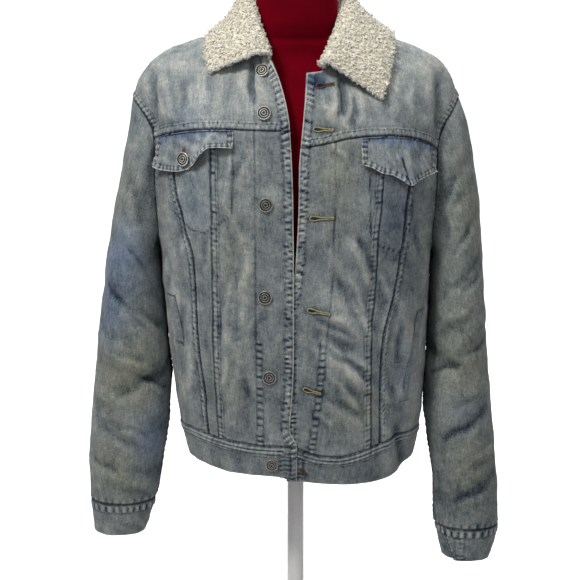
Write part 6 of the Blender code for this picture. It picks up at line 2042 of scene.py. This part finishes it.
def collar_curls(material, surface, count=7400, rim=2100):
    """The pile's curls: small arched locks that lean together into clumps, with more along the edge."""
    chance = np.random.default_rng(11)
    across = np.gradient(surface, axis=1)
    down = np.gradient(surface, axis=0)
    facing = unit(np.cross(across, down))
    facing *= np.sign(np.sum(facing * collar_grid(*surface.shape[:2])[1]))
    area = np.linalg.norm(np.cross(across, down), axis=-1)[:-1, :-1].ravel()
    cell = chance.choice(len(area), count, p=area / area.sum())
    row, column = np.divmod(cell, surface.shape[1] - 1)
    u, v = chance.random((2, count, 1))

    def between(grid):
        low = grid[row, column] * (1 - u) + grid[row, column + 1] * u
        return low * (1 - v) + (grid[row + 1, column] * (1 - u) + grid[row + 1, column + 1] * u) * v

    foot, up = between(surface), unit(between(facing))
    rows, columns = surface.shape[:2]
    border = [(rows - 1, i) for i in range(columns)] + [(i, j) for j in (0, columns - 1) for i in range(rows)]
    picked = tuple(np.array(border)[chance.integers(0, len(border), rim)].T)
    right = picked[1] == columns - 1
    ends = (picked[0] == rows - 1, unit(down)), (picked[1] == 0, -unit(across)), (right, unit(across))
    outward = sum(np.where(there[:, None], way[picked], 0) for there, way in ends)
    rim_up = unit(outward + 0.35 * facing[picked] * chance.normal(0.3, 1.0, (rim, 1)))
    rim_foot = surface[picked] - 0.0012 * rim_up
    foot, up = np.concatenate([foot, rim_foot]), np.concatenate([up, rim_up])
    number = len(foot)
    _, _, lean = cells(foot, 0.0062, 5.0)
    lean = lean - up * np.sum(lean * up, axis=1, keepdims=True)
    loose = chance.normal(0.0, 1.0, (number, 3))
    loose = loose - up * np.sum(loose * up, axis=1, keepdims=True)
    lean = unit(lean + 0.0014 * loose)
    aside = np.cross(up, lean)
    size = chance.uniform(0.0032, 0.0052, (number, 1))
    swirl = chance.normal(0.0, 0.30, (number, 1))
    size[count:] *= 1.7
    shape, faces = curl_shape()
    along = shape[:, 2]
    rise, reach, turn, ring = (np.interp(along, CURL_RINGS, values)[None, :, None] for values in CURL_BEND)
    thick = chance.uniform(0.00075, 0.00110, (number, 1, 1))
    arch = rise * up[:, None] + reach * lean[:, None]
    middle = foot[:, None] + size[:, None] * (arch + (turn * swirl[:, None]) * aside[:, None])
    tilt = unit(up + 0.8 * lean)
    flat = shape[None, :, :1] * aside[:, None] + shape[None, :, 1:2] * np.cross(aside, tilt)[:, None]
    made = keep_copies("pile_curls", material, middle + thick * ring * flat, faces)
    tint = np.ones((number, len(shape), 4))
    # Each curl darker at its foot than at its tip, as painted shade among the pile, with a random tone for each curl.
    tint[:, :, 0] = np.clip(0.66 + 0.40 * along[None] + chance.normal(0, 0.07, (number, 1)), 0, 1)
    paint(made.data, tint)
    settle(made)


def collar_under(denim):
    points, normals = collar_grid(30, 150)
    outer = points - UNDER_COLLAR * normals
    inner = points - COLLAR_GAP / 2 * normals
    relief = Relief(points, normals)
    relief.worn_edge("high", pale=0.5)
    made = cloth_wall("cloth_collar_under", denim, outer, inner, cloth_map(points), dye_and_shade_of(points, relief.wear_and_shade))
    settle(made, "collar_under")
    declare_cut(made, points)


# ---------------------------------------------------------------- flaps and welts
def laid_on(name, material, points, normals, low, high, relief, blue=0.0):
    """A piece that lies on a panel: its under side at low and its face at high above the panel's points."""
    low, high = (np.broadcast_to(item, points.shape[:-1])[..., None] for item in (low, high))
    face = points + high * normals
    outer = face + relief.height[..., None] * normals
    # Painted light and shade of the folds: paler on the ridges, as rubbed cloth and painted light, darker in the
    # hollows as painted shade.
    worn_and_shaded = relief.wear_and_shade + 0.22 * np.clip(hollows(outer, normals) / 0.0010, -2.2, 1.8)
    dye_and_shade = dye_and_shade_of(face, worn_and_shaded, blue)
    made = cloth_wall("cloth_" + name, material, outer, points + low * normals, cloth_map(points), dye_and_shade)
    settle(made, name)
    declare_cut(made, points)


# Creases down the flaps: distance along the flap at its top, lean, breadth and height.
FLAP_FOLDS = {
    -1: ((0.030, 0.012, 0.006, 0.0022), (0.052, 0.016, 0.005, -0.0018), (0.086, -0.006, 0.006, 0.0016)),
    1: (
        (0.030, 0.020, 0.006, 0.0020),
        (0.052, 0.010, 0.0040, -0.0032),
        (0.066, -0.004, 0.006, 0.0026),
        (0.090, -0.012, 0.006, -0.0016),
    ),
}
FLAP_ROWS = (0.0022, 0.0076)
SLIT_FOLD = -0.0030  # a crease deeper than this closes to a slit that is painted dark as shade


def flap(side, denim):
    share, fall = np.meshgrid(np.linspace(0, 1, 100), np.linspace(0, 1, 44))
    points, normals, stand = flap_surface(side, share, fall)
    face = points + (stand + FLAP_THICK)[..., None] * normals
    relief = Relief(face, normals)
    away, along = relief.measure(Line(np.concatenate([face[:, 0], face[-1, 1:], face[::-1, -1][1:]])))
    wave = np.sin(2 * math.pi * along / 0.0082 + 2.2 * wander(along / 0.02, 3.0 + side))
    inside = 1 - ease((away - 0.0072) / 0.002)
    relief.height += 0.0008 * inside * wave
    # pale on the puckers' crests; dark in their troughs as kept indigo and painted shade
    relief.wear_and_shade += inside * (0.10 + 0.30 * np.maximum(wave, 0) - 0.75 * np.maximum(-wave - 0.15, 0))
    frayed = 0.0014 + 0.0006 * wander(along / 0.003, 8.0)
    relief.wear_and_shade += 1.8 * bell(away, frayed) * (0.7 + 0.3 * wander(along / 0.004, 6.0))
    relief.height += 0.0005 * bell(away, 0.002) * wander(along / 0.0018, 5.0)
    for row in FLAP_ROWS:
        sunk = bell(away - row, DENT)
        relief.height -= 0.0004 * sunk
        # painted shade in the stitch groove
        relief.wear_and_shade -= 0.40 * sunk
    relief.plain_edge("low", edge=0.0006, dark=0.6)
    span = share * (FLAP_SPAN[side][1] - FLAP_SPAN[side][0])
    bundles = wander(span / 0.0045, 2.0 + side) * wander(span / 0.0021, 7.0)
    near_seam = bell(fall, 0.17 + 0.09 * wander(span / 0.005, 4.0))
    relief.height += 0.0009 * near_seam * bundles + crumple(face, 0.009, 0.0018, 2.0) * ease(fall / 0.3)
    for middle, lean, breadth, out in FLAP_FOLDS[side]:
        off = (span - middle - lean * fall) / breadth
        relief.height += out * np.exp(-(off**2)) * ease(fall / 0.35)
        if out < SLIT_FOLD:
            # painted shade in the deep crease
            relief.wear_and_shade -= 1.5 * bell(off, 0.30) * ease((fall - 0.15) / 0.2)
    blue = 0.04 + 0.90 * near_seam * (0.75 + 0.5 * bundles)
    relief.wear_and_shade += FADE_AND_PAINTED_LIGHT["flap"] + near_seam * (-0.30 + 0.45 * bundles)
    for away in FLAP_ROWS:
        rows_along(relief, ("left", (away,)), ("right", (away,)), ("high", (away,)))
    top = stand + FLAP_THICK
    laid_on("flap_" + letter(side), denim, points, normals, stand, top, relief, blue)


def welt(side, denim):
    (x0, z0), (x1, z1) = WELTS[side]
    across, t = np.meshgrid(np.linspace(-0.5, 0.5, 10), np.linspace(0, 1, 56))
    x = x0 + (x1 - x0) * t + WELT_WIDE * across
    points, normals = on_front(side, side * x, z0 + (z1 - z0) * t)
    relief = Relief(points, normals)
    for border in ("left", "right"):
        away, _ = relief.measure(border)
        # painted shade along the welt's turned-down edges
        relief.wear_and_shade -= 0.9 * bell(away, 0.0010)
        relief.height -= 0.0010 * (1 - ease(away / 0.0016))
    relief.stitch_row(Line(points[:, 2]), dark=0.4)
    laid_on("welt_" + letter(side), denim, points, normals, 0.0006, 0.0006 + WELT_THICK, relief)


# ---------------------------------------------------------------- buttons, buttonholes, bar tacks
# A button from its shank round its rim and in to its middle: radius and height, as shares of its own.
BUTTON_PROFILE = (
    (0.50, 0.0), (0.50, 0.28), (0.90, 0.33), (0.985, 0.44), (1.0, 0.58), (0.985, 0.72), (0.94, 0.84), (0.88, 0.89),
    (0.82, 0.87), (0.775, 0.78), (0.74, 0.70), (0.68, 0.68), (0.63, 0.72), (0.59, 0.80), (0.54, 0.82), (0.50, 0.76),
    (0.46, 0.68), (0.41, 0.68), (0.37, 0.78), (0.33, 0.93), (0.27, 0.99), (0.20, 0.99), (0.14, 0.94), (0.07, 0.90),
)


def button(name, across, away, z, stand, side, metal, polish_and_highlight):
    """A domed shank button of antique silver: rolled rim, sunk ring, a low boss ringed again and a dimple."""
    r, tall = across / 2, BUTTON_TALL
    profile = [(0, 0), *((x * r, z * tall) for x, z in BUTTON_PROFILE), (0, 0.89 * tall)]
    made = keep_mesh("metal_" + name, metal, spun(profile, 48))
    flat = read_points(made.data)
    off = np.hypot(flat[:, 0], flat[:, 1]) / r
    rings = bell(off - 0.93, 0.07) + 0.9 * bell(off - 0.57, 0.05) + 0.8 * bell(off - 0.27, 0.06)
    tarnish = np.ones((len(flat), 4))
    # Rims bright as polished silver, by an amount that also holds a painted highlight.
    tarnish[:, 0] = np.clip(0.12 + polish_and_highlight * rings * (flat[:, 2] > 0.55 * tall), 0, 1)
    paint(made.data, tarnish)
    points, normals = on_front(side, np.array([side * away]), np.array([z]))
    turn = Vector((0, 0, 1)).rotation_difference(Vector(normals[0])).to_matrix()
    write_points(made.data, flat @ np.array(turn).T + points[0] + normals[0] * stand)
    made.data.shade_smooth()
    settle(made, name)


# Keyhole buttonholes on the wearer's left: distances from the centre plane, height, rise and rusty thread.
BUTTONHOLES = (
    # inner end, outer end, height, rise, rusty
    (0.0280, 0.0520, 0.8235, 0.0015, True),
    (0.0240, 0.0510, 0.7640, -0.0010, False),
    (0.0190, 0.0520, 0.6410, 0.0005, False),
    (0.0160, 0.0470, 0.5110, -0.0060, False),
    (0.0105, 0.0350, 0.3960, -0.0075, False),
    (0.0060, 0.0165, 0.2750, -0.0080, True),
)
# Threads of the holes: how far off the cloth, how wide, how tall and how strongly ribbed.
HOLE_THREAD = (0.0007, 0.0017, 0.0015, 0.25)
BAR_THREAD = (0.0006, 0.0019, 0.0015, 0.22)
# SLIT is no thread: a dark cord down the cut, painted shade inside the slit.
SLIT = (0.0006, 0.0024, 0.0008, 0.0)
TACK_THREAD = (0.0019, 0.0020, 0.0012, 0.2)
FLAP_THREAD = (0.0003, 0.0016, 0.0011, 0.18)
FLAP_HOLE = 0.1560  # the flap's buttonhole, from the centre plane
EYE_LONG, EYE_HALF, EYE_CLOSES = 0.0045, 0.0031, 0.0019  # a keyhole's eye, and how far its sides close


def tube(spots, ways, off, wide, tall, ribs, sides=8, step=0.0003):
    """A cord of stitches along a line, off the cloth: wide across, tall off it, ribbed once a thread."""
    spots = spots + off * ways
    length = lengths_along(spots)
    at = np.linspace(0, length[-1], max(4, int(length[-1] / step)))
    line = read_along(at, length, spots)
    way = unit(read_along(at, length, ways))
    across = unit(np.cross(unit(np.gradient(line, axis=0)), way))
    size = 1 + ribs * np.sin(2 * math.pi * at / 0.0009)
    size[0] = size[-1] = 0.25
    turn = np.linspace(0, 2 * math.pi, sides, endpoint=False)
    ring = (
        line[:, None]
        + across[:, None] * (np.cos(turn) * wide / 2)[None, :, None] * size[:, None, None]
        + way[:, None] * (np.sin(turn) * tall / 2 + tall * 0.2)[None, :, None] * size[:, None, None]
    )
    bm = bmesh.new()
    verts = [[bm.verts.new(point) for point in loop] for loop in ring]
    close_skin(bm, [[bm.edges.new((row[i], row[(i + 1) % sides])) for i in range(sides)] for row in verts])
    mesh = bpy.data.meshes.new("tube")
    bm.to_mesh(mesh)
    bm.free()
    return mesh


def keep_threads(name, tubes, material):
    """Joins tubes into one piece of this thread."""
    bm = bmesh.new()
    for mesh in tubes:
        bm.from_mesh(mesh)
        bpy.data.meshes.remove(mesh)
    made = keep_mesh(name, MATERIALS[material], bm)
    made.data.shade_smooth()
    settle(made)


def buttonhole_outline(inner, outer, z, rise):
    """A keyhole: a round eye next to the front edge, and two sides that close towards the other end."""
    long = outer - inner
    turn = np.linspace(-1, 1, 90)
    x = inner + long * np.abs(turn) ** 1.6
    half = EYE_HALF * np.sqrt(np.clip(1 - (1 - np.abs(turn) ** 1.6 * long / EYE_LONG) ** 2, 0, 1))
    past = np.clip((x - inner - EYE_LONG) / (long - EYE_LONG), 0, 1)
    half = np.where(x > inner + EYE_LONG, EYE_HALF - EYE_CLOSES * ease(past / 0.5), half)
    return x, z + np.sign(turn) * half + rise * (x - inner) / long


def buttonholes():
    plain, rust, slit = [], [], []
    for inner, outer, z, rise, rusty in BUTTONHOLES:
        threads = rust if rusty else plain
        spots, ways = front_spot(1, *buttonhole_outline(inner, outer, z, rise))
        threads.append(tube(spots, ways, *HOLE_THREAD))
        x = np.linspace(inner + 0.0015, outer - 0.001, 12)
        spots, ways = front_spot(1, x, z + rise * (x - inner) / (outer - inner))
        # a dark cord down the cut: painted shade inside the slit
        slit.append(tube(spots, ways, *SLIT))
        spots, ways = front_spot(1, np.full(8, outer), z + rise + np.linspace(-0.0022, 0.0022, 8))
        threads.append(tube(spots, ways, *BAR_THREAD))
    z = np.linspace(0.728, 0.7385, 20)
    for shift in (-0.0011, 0.0011):
        points, ways, stand = flap_spot(-1, FLAP_HOLE + shift + 0.0 * z, z)
        rust.append(tube(points + (stand + FLAP_THICK)[:, None] * ways, ways, *FLAP_THREAD))
    keep_threads("thread_buttonholes", plain, "tan")
    keep_threads("thread_buttonholes_rust", rust, "rust")
    keep_threads("slit_buttonholes", slit, "slit")


def flap_spot(side, x, z):
    """Panel point, normal and stand of the flap's face at a distance from the centre plane and a height."""
    inner, outer = FLAP_SPAN[side]
    share = (x - inner) / (outer - inner)
    seam = body(side, False, *locate_yoke(side, side * x))[..., 2] - FLAP_DROP
    low = FLAP_EDGE.at(share)["low_" + letter(side)]
    return flap_surface(side, share, np.clip((seam - z) / (seam - low), 0, 1))


def bar_tacks():
    """Short thick bars of thread that hold the pocket ends."""
    tacks = []
    for side in SIDES.values():
        (x0, z0), (x1, z1) = WELTS[side]
        for x, z in ((x0, z0 + 0.002), (x1, z1 - 0.002)):
            across = np.linspace(-0.0060, 0.0060, 14)
            spots, ways = front_spot(side, x + across, np.full(14, z) + 0.15 * across)
            tacks.append(tube(spots, ways, *TACK_THREAD))
    keep_threads("thread_bar_tacks", tacks, "tonal")


# ---------------------------------------------------------------- the dress form and its stand
def form_torso(velvet):
    heights = np.unique(np.concatenate([np.linspace(low, high, 5) for low, high in zip(FORM.keys, FORM.keys[1:])]))
    bm = bmesh.new()
    loops = []
    for z in heights:
        ring = bmesh.ops.create_circle(bm, cap_ends=False, radius=1.0, segments=112)["verts"]
        row = {key: float(value) for key, value in FORM.at(z).items()}
        shift = NECK_SHIFT * float(ease((z - 0.87) / 0.05))
        power = 2 / row["power"]
        for vert in ring:
            away, ahead = vert.co.x, -vert.co.y
            depth = row["front"] if ahead > 0 else row["back"]
            vert.co = (
                shift + math.copysign(abs(away) ** power, away) * row["half"],
                row["middle"] - math.copysign(abs(ahead) ** power, ahead) * depth,
                z,
            )
        loops.append(list({edge for vert in ring for edge in vert.link_edges}))
    close_skin(bm, loops)
    made = keep_mesh("cover_form_torso", velvet, bm)
    made.data.shade_smooth()
    made.data.set_sharp_from_angle(angle=math.radians(60))
    settle(made, "form_torso")


def turned(name, profile, steps, material):
    """A round piece of the stand."""
    made = keep_mesh("painted_" + name, material, spun(profile, steps))
    made.data.shade_smooth()
    made.data.set_sharp_from_angle(angle=math.radians(35))
    settle(made, name)


def form_stand(white):
    top, bottom = float(FORM.keys[0]) - SEAM_GAP, BASE_THICK + SEAM_GAP
    r = POLE_RADIUS
    turned("form_pole", ((0, bottom), (r, bottom), (r, top), (0, top)), 72, white)
    r, h = BASE_RADIUS, BASE_THICK
    edge = [(r - 0.003 + 0.003 * math.cos(a), h - 0.003 + 0.003 * math.sin(a)) for a in np.linspace(0, math.pi / 2, 7)]
    turned("form_base", [(0, 0), (r, 0), *edge, (0, h)], 160, white)


# ---------------------------------------------------------------- sizes and colours that a user would change
class JacketSizes(bpy.types.PropertyGroup):
    """Sizes of the cloth and its sewing."""

    wall: bpy.props.FloatProperty(
        name="Cloth thickness", description="Denim with its backing", default=WALL, min=0.001, max=0.003, unit="LENGTH"
    )
    stitch_pitch: bpy.props.FloatProperty(
        name="Stitch pitch", description="From one stitch to the next", default=0.0034, min=0.002, unit="LENGTH"
    )
    stitch_length: bpy.props.FloatProperty(
        name="Stitch length", description="Thread that shows in one stitch", default=0.0024, min=0.001, unit="LENGTH"
    )
    pile_depth: bpy.props.FloatProperty(
        name="Pile relief", description="Height of the pile's tufts", default=0.0013, min=0.0, unit="LENGTH"
    )


class JacketColours(bpy.types.PropertyGroup):
    """Colours of the finishes."""

    # The darkest denim: kept indigo and painted shade in the puckers.
    denim_dark: bpy.props.FloatVectorProperty(
        name="Denim in puckers",
        description="Unwashed dye in the folds of the seams",
        default=DENIM_DARK,
        subtype="COLOR",
    )
    denim_mid: bpy.props.FloatVectorProperty(
        name="Denim", description="Washed denim", default=DENIM_MID, subtype="COLOR"
    )
    denim_bare: bpy.props.FloatVectorProperty(
        name="Worn denim", description="Denim rubbed down to its white weft", default=DENIM_BARE, subtype="COLOR"
    )
    pile: bpy.props.FloatVectorProperty(
        name="Pile", description="Cream pile of the collar", default=(0.97, 0.94, 0.84), subtype="COLOR"
    )
    form: bpy.props.FloatVectorProperty(
        name="Form cover", description="Stretch cover of the dress form", default=(0.20, 0.0012, 0.010), subtype="COLOR"
    )


def sizes():
    return bpy.context.scene.jacket_sizes


def colours():
    return bpy.context.scene.jacket_colours


MATERIALS = {}


# ---------------------------------------------------------------- operators
class JACKET_OT_finishes(bpy.types.Operator):
    """Mix the finishes of cloth, pile, thread, metal and stand"""

    bl_idname = "jacket.finishes"
    bl_label = "Finishes"

    def execute(self, context):
        MATERIALS.update(
            denim=denim_finish(),
            sherpa=sherpa_finish(),
            tufts=sherpa_finish("sherpa curls", 0.10),
            metal=metal_finish(),
            cover=velvet_finish(),
            paint=paint_finish(),
            tonal=thread_finish("faded blue thread", (0.150, 0.180, 0.200), (0.045, 0.060, 0.085)),
            tan=thread_finish("tan thread", (0.56, 0.49, 0.29), (0.33, 0.27, 0.13)),
            rust=thread_finish("rust thread", (0.20, 0.10, 0.05), (0.08, 0.045, 0.03)),
            slit=thread_finish("shade in the slits", (0.030, 0.034, 0.045), (0.014, 0.016, 0.022)),
        )
        return {"FINISHED"}


class JACKET_OT_fronts(bpy.types.Operator):
    """Sew both fronts: centre, wedge and side panels"""

    bl_idname = "jacket.fronts"
    bl_label = "Fronts"

    def execute(self, context):
        for side in SIDES.values():
            front_center(side, MATERIALS["denim"])
            front_panel(side, MATERIALS["denim"])
            front_side(side, MATERIALS["denim"])
        return {"FINISHED"}


class JACKET_OT_back(bpy.types.Operator):
    """Sew the back's three panels"""

    bl_idname = "jacket.back"
    bl_label = "Back"

    def execute(self, context):
        back_center(MATERIALS["denim"])
        for side in SIDES.values():
            back_side(side, MATERIALS["denim"])
        return {"FINISHED"}


class JACKET_OT_yokes(bpy.types.Operator):
    """Sew the yokes over the shoulders"""

    bl_idname = "jacket.yokes"
    bl_label = "Yokes"

    def execute(self, context):
        for side in SIDES.values():
            front_yoke(side, MATERIALS["denim"])
        back_yoke(MATERIALS["denim"])
        return {"FINISHED"}


class JACKET_OT_waistband(bpy.types.Operator):
    """Sew the waistband round the hem"""

    bl_idname = "jacket.waistband"
    bl_label = "Waistband"

    def execute(self, context):
        waistband(MATERIALS["denim"])
        return {"FINISHED"}


class JACKET_OT_sleeves(bpy.types.Operator):
    """Sew the two-piece sleeves"""

    bl_idname = "jacket.sleeves"
    bl_label = "Sleeves"

    def execute(self, context):
        for side in SIDES.values():
            sleeves(side, MATERIALS["denim"])
        return {"FINISHED"}


class JACKET_OT_cuffs(bpy.types.Operator):
    """Sew the cuffs, each lapped over its own start"""

    bl_idname = "jacket.cuffs"
    bl_label = "Cuffs"

    def execute(self, context):
        for side in SIDES.values():
            cuff(side, MATERIALS["denim"])
        return {"FINISHED"}


class JACKET_OT_collar(bpy.types.Operator):
    """Sew the collar: cream pile over a denim under collar"""

    bl_idname = "jacket.collar"
    bl_label = "Collar"

    def execute(self, context):
        collar_curls(MATERIALS["tufts"], collar_pile(MATERIALS["sherpa"]))
        collar_under(MATERIALS["denim"])
        return {"FINISHED"}


class JACKET_OT_pockets(bpy.types.Operator):
    """Sew the chest flaps and the hand pocket welts"""

    bl_idname = "jacket.pockets"
    bl_label = "Flaps and welts"

    def execute(self, context):
        for side in SIDES.values():
            flap(side, MATERIALS["denim"])
            welt(side, MATERIALS["denim"])
        return {"FINISHED"}


class JACKET_OT_stitching(bpy.types.Operator):
    """Sew the rows of stitches, the buttonholes and the bar tacks"""

    bl_idname = "jacket.stitching"
    bl_label = "Stitching"

    def execute(self, context):
        stitch_mesh("thread_stitches", MATERIALS["tonal"])
        buttonholes()
        bar_tacks()
        return {"FINISHED"}


class JACKET_OT_buttons(bpy.types.Operator):
    """Turn the shank buttons"""

    bl_idname = "jacket.buttons"
    bl_label = "Buttons"

    def execute(self, context):
        for name, away, z, across, stand, side in BUTTONS:
            # Painted highlight: buttons above 0.66 m get brighter rims than the lower ones.
            button(name, across, away, z, stand, side, MATERIALS["metal"], 0.85 if z > 0.66 else 0.42)
        return {"FINISHED"}


class JACKET_OT_form(bpy.types.Operator):
    """Build the dress form and its stand"""

    bl_idname = "jacket.form"
    bl_label = "Dress form"

    def execute(self, context):
        form_torso(MATERIALS["cover"])
        form_stand(MATERIALS["paint"])
        return {"FINISHED"}


class JACKET_OT_stage(bpy.types.Operator):
    """Set the pale floor with its sweep, the soft lights and the camera"""

    bl_idname = "jacket.stage"
    bl_label = "Stage"

    def execute(self, context):
        floor_and_sweep()
        soft_lights()
        place_camera()
        return {"FINISHED"}


def floor_and_sweep():
    """A floor that bends up into a wall behind the object."""
    n = Nodes("white paper")
    grain = n.noise(n.place(), 3.0, 2.0)
    paper = n.finish(
        Base_Color=n.ramp(grain, (0.3, (0.90, 0.90, 0.90)), (0.7, (0.93, 0.93, 0.93))),
        Roughness=1.0,
        Specular_IOR_Level=0.0,
        Emission_Color=(1.0, 1.0, 1.0, 1.0),
        Emission_Strength=0.80,
    )
    bend = [(2.6 + 1.2 * math.sin(a), 1.2 - 1.2 * math.cos(a)) for a in np.linspace(0, math.pi / 2, 16)]
    bm = bmesh.new()
    verts = [bm.verts.new((-7.0, y, z)) for y, z in [(-6.0, 0.0), *bend, (3.8, 6.0)]]
    edges = [bm.edges.new(pair) for pair in zip(verts, verts[1:])]
    raised = bmesh.ops.extrude_edge_only(bm, edges=edges)["geom"]
    bmesh.ops.translate(bm, verts=[item for item in raised if isinstance(item, bmesh.types.BMVert)], vec=(14, 0, 0))
    bmesh.ops.recalc_face_normals(bm, faces=bm.faces[:])
    made = keep_mesh("paper_sweep", paper, bm)
    made.data.shade_smooth()
    made.visible_diffuse = False


# Area lights: place, size, power and colour.
LIGHTS = (
    ("key", (-1.3, -1.7, 2.8), 0.7, 56.0, (1.0, 0.99, 0.965)),
    ("fill", (1.8, -2.2, 1.3), 1.6, 7.0, (0.97, 0.985, 1.0)),
    ("top", (0.2, 0.1, 2.9), 1.4, 16.0, (1.0, 1.0, 1.0)),
    ("back", (0.6, 2.4, 2.2), 1.4, 22.0, (1.0, 1.0, 1.0)),
)


def soft_lights():
    for name, place, size, power, colour in LIGHTS:
        lamp = bpy.data.lights.new(name, "AREA")
        lamp.shape, lamp.size, lamp.energy, lamp.color = "DISK", size, power, colour
        made = bpy.data.objects.new(name, lamp)
        made.location = place
        made.rotation_euler = (Vector((0, 0, 0.6)) - Vector(place)).to_track_quat("-Z", "Y").to_euler()
        bpy.context.scene.collection.objects.link(made)
    world = bpy.data.worlds.new("studio")
    world.use_nodes = True
    world.node_tree.nodes["Background"].inputs["Color"].default_value = (1.0, 1.0, 1.0, 1.0)
    world.node_tree.nodes["Background"].inputs["Strength"].default_value = 0.26
    bpy.context.scene.world = world
    bpy.context.scene.view_settings.view_transform = "Standard"


def place_camera():
    lens = bpy.data.cameras.new("camera")
    lens.lens, lens.sensor_width = 87.4, 36.0
    made = bpy.data.objects.new("camera", lens)
    made.location = (-0.0085, -2.094, 0.86)
    made.rotation_euler = (math.radians(80.7), 0, 0)
    bpy.context.scene.collection.objects.link(made)
    bpy.context.scene.camera = made


class JACKET_PT_panel(bpy.types.Panel):
    """Sizes, colours and the making of each piece"""

    bl_idname = "JACKET_PT_panel"
    bl_label = "Jacket"
    bl_space_type = "VIEW_3D"
    bl_region_type = "UI"
    bl_category = "Jacket"

    def draw(self, context):
        for group in (context.scene.jacket_sizes, context.scene.jacket_colours):
            for name in group.bl_rna.properties.keys():
                if name not in {"rna_type", "name"}:
                    self.layout.prop(group, name)
        for operator in OPERATORS:
            self.layout.operator(operator.bl_idname)


OPERATORS = (
    JACKET_OT_finishes,
    JACKET_OT_fronts,
    JACKET_OT_back,
    JACKET_OT_yokes,
    JACKET_OT_waistband,
    JACKET_OT_sleeves,
    JACKET_OT_cuffs,
    JACKET_OT_collar,
    JACKET_OT_pockets,
    JACKET_OT_stitching,
    JACKET_OT_buttons,
    JACKET_OT_form,
    JACKET_OT_stage,
)
CLASSES = (JacketSizes, JacketColours, *OPERATORS, JACKET_PT_panel)


def register():
    for item in CLASSES:
        bpy.utils.register_class(item)
    bpy.types.Scene.jacket_sizes = bpy.props.PointerProperty(type=JacketSizes)
    bpy.types.Scene.jacket_colours = bpy.props.PointerProperty(type=JacketColours)


def unregister():
    del bpy.types.Scene.jacket_sizes
    del bpy.types.Scene.jacket_colours
    for item in reversed(CLASSES):
        bpy.utils.unregister_class(item)


def main():
    register()
    for operator in OPERATORS:
        group, name = operator.bl_idname.split(".")
        getattr(getattr(bpy.ops, group), name)()


if __name__ == "__main__":
    main()
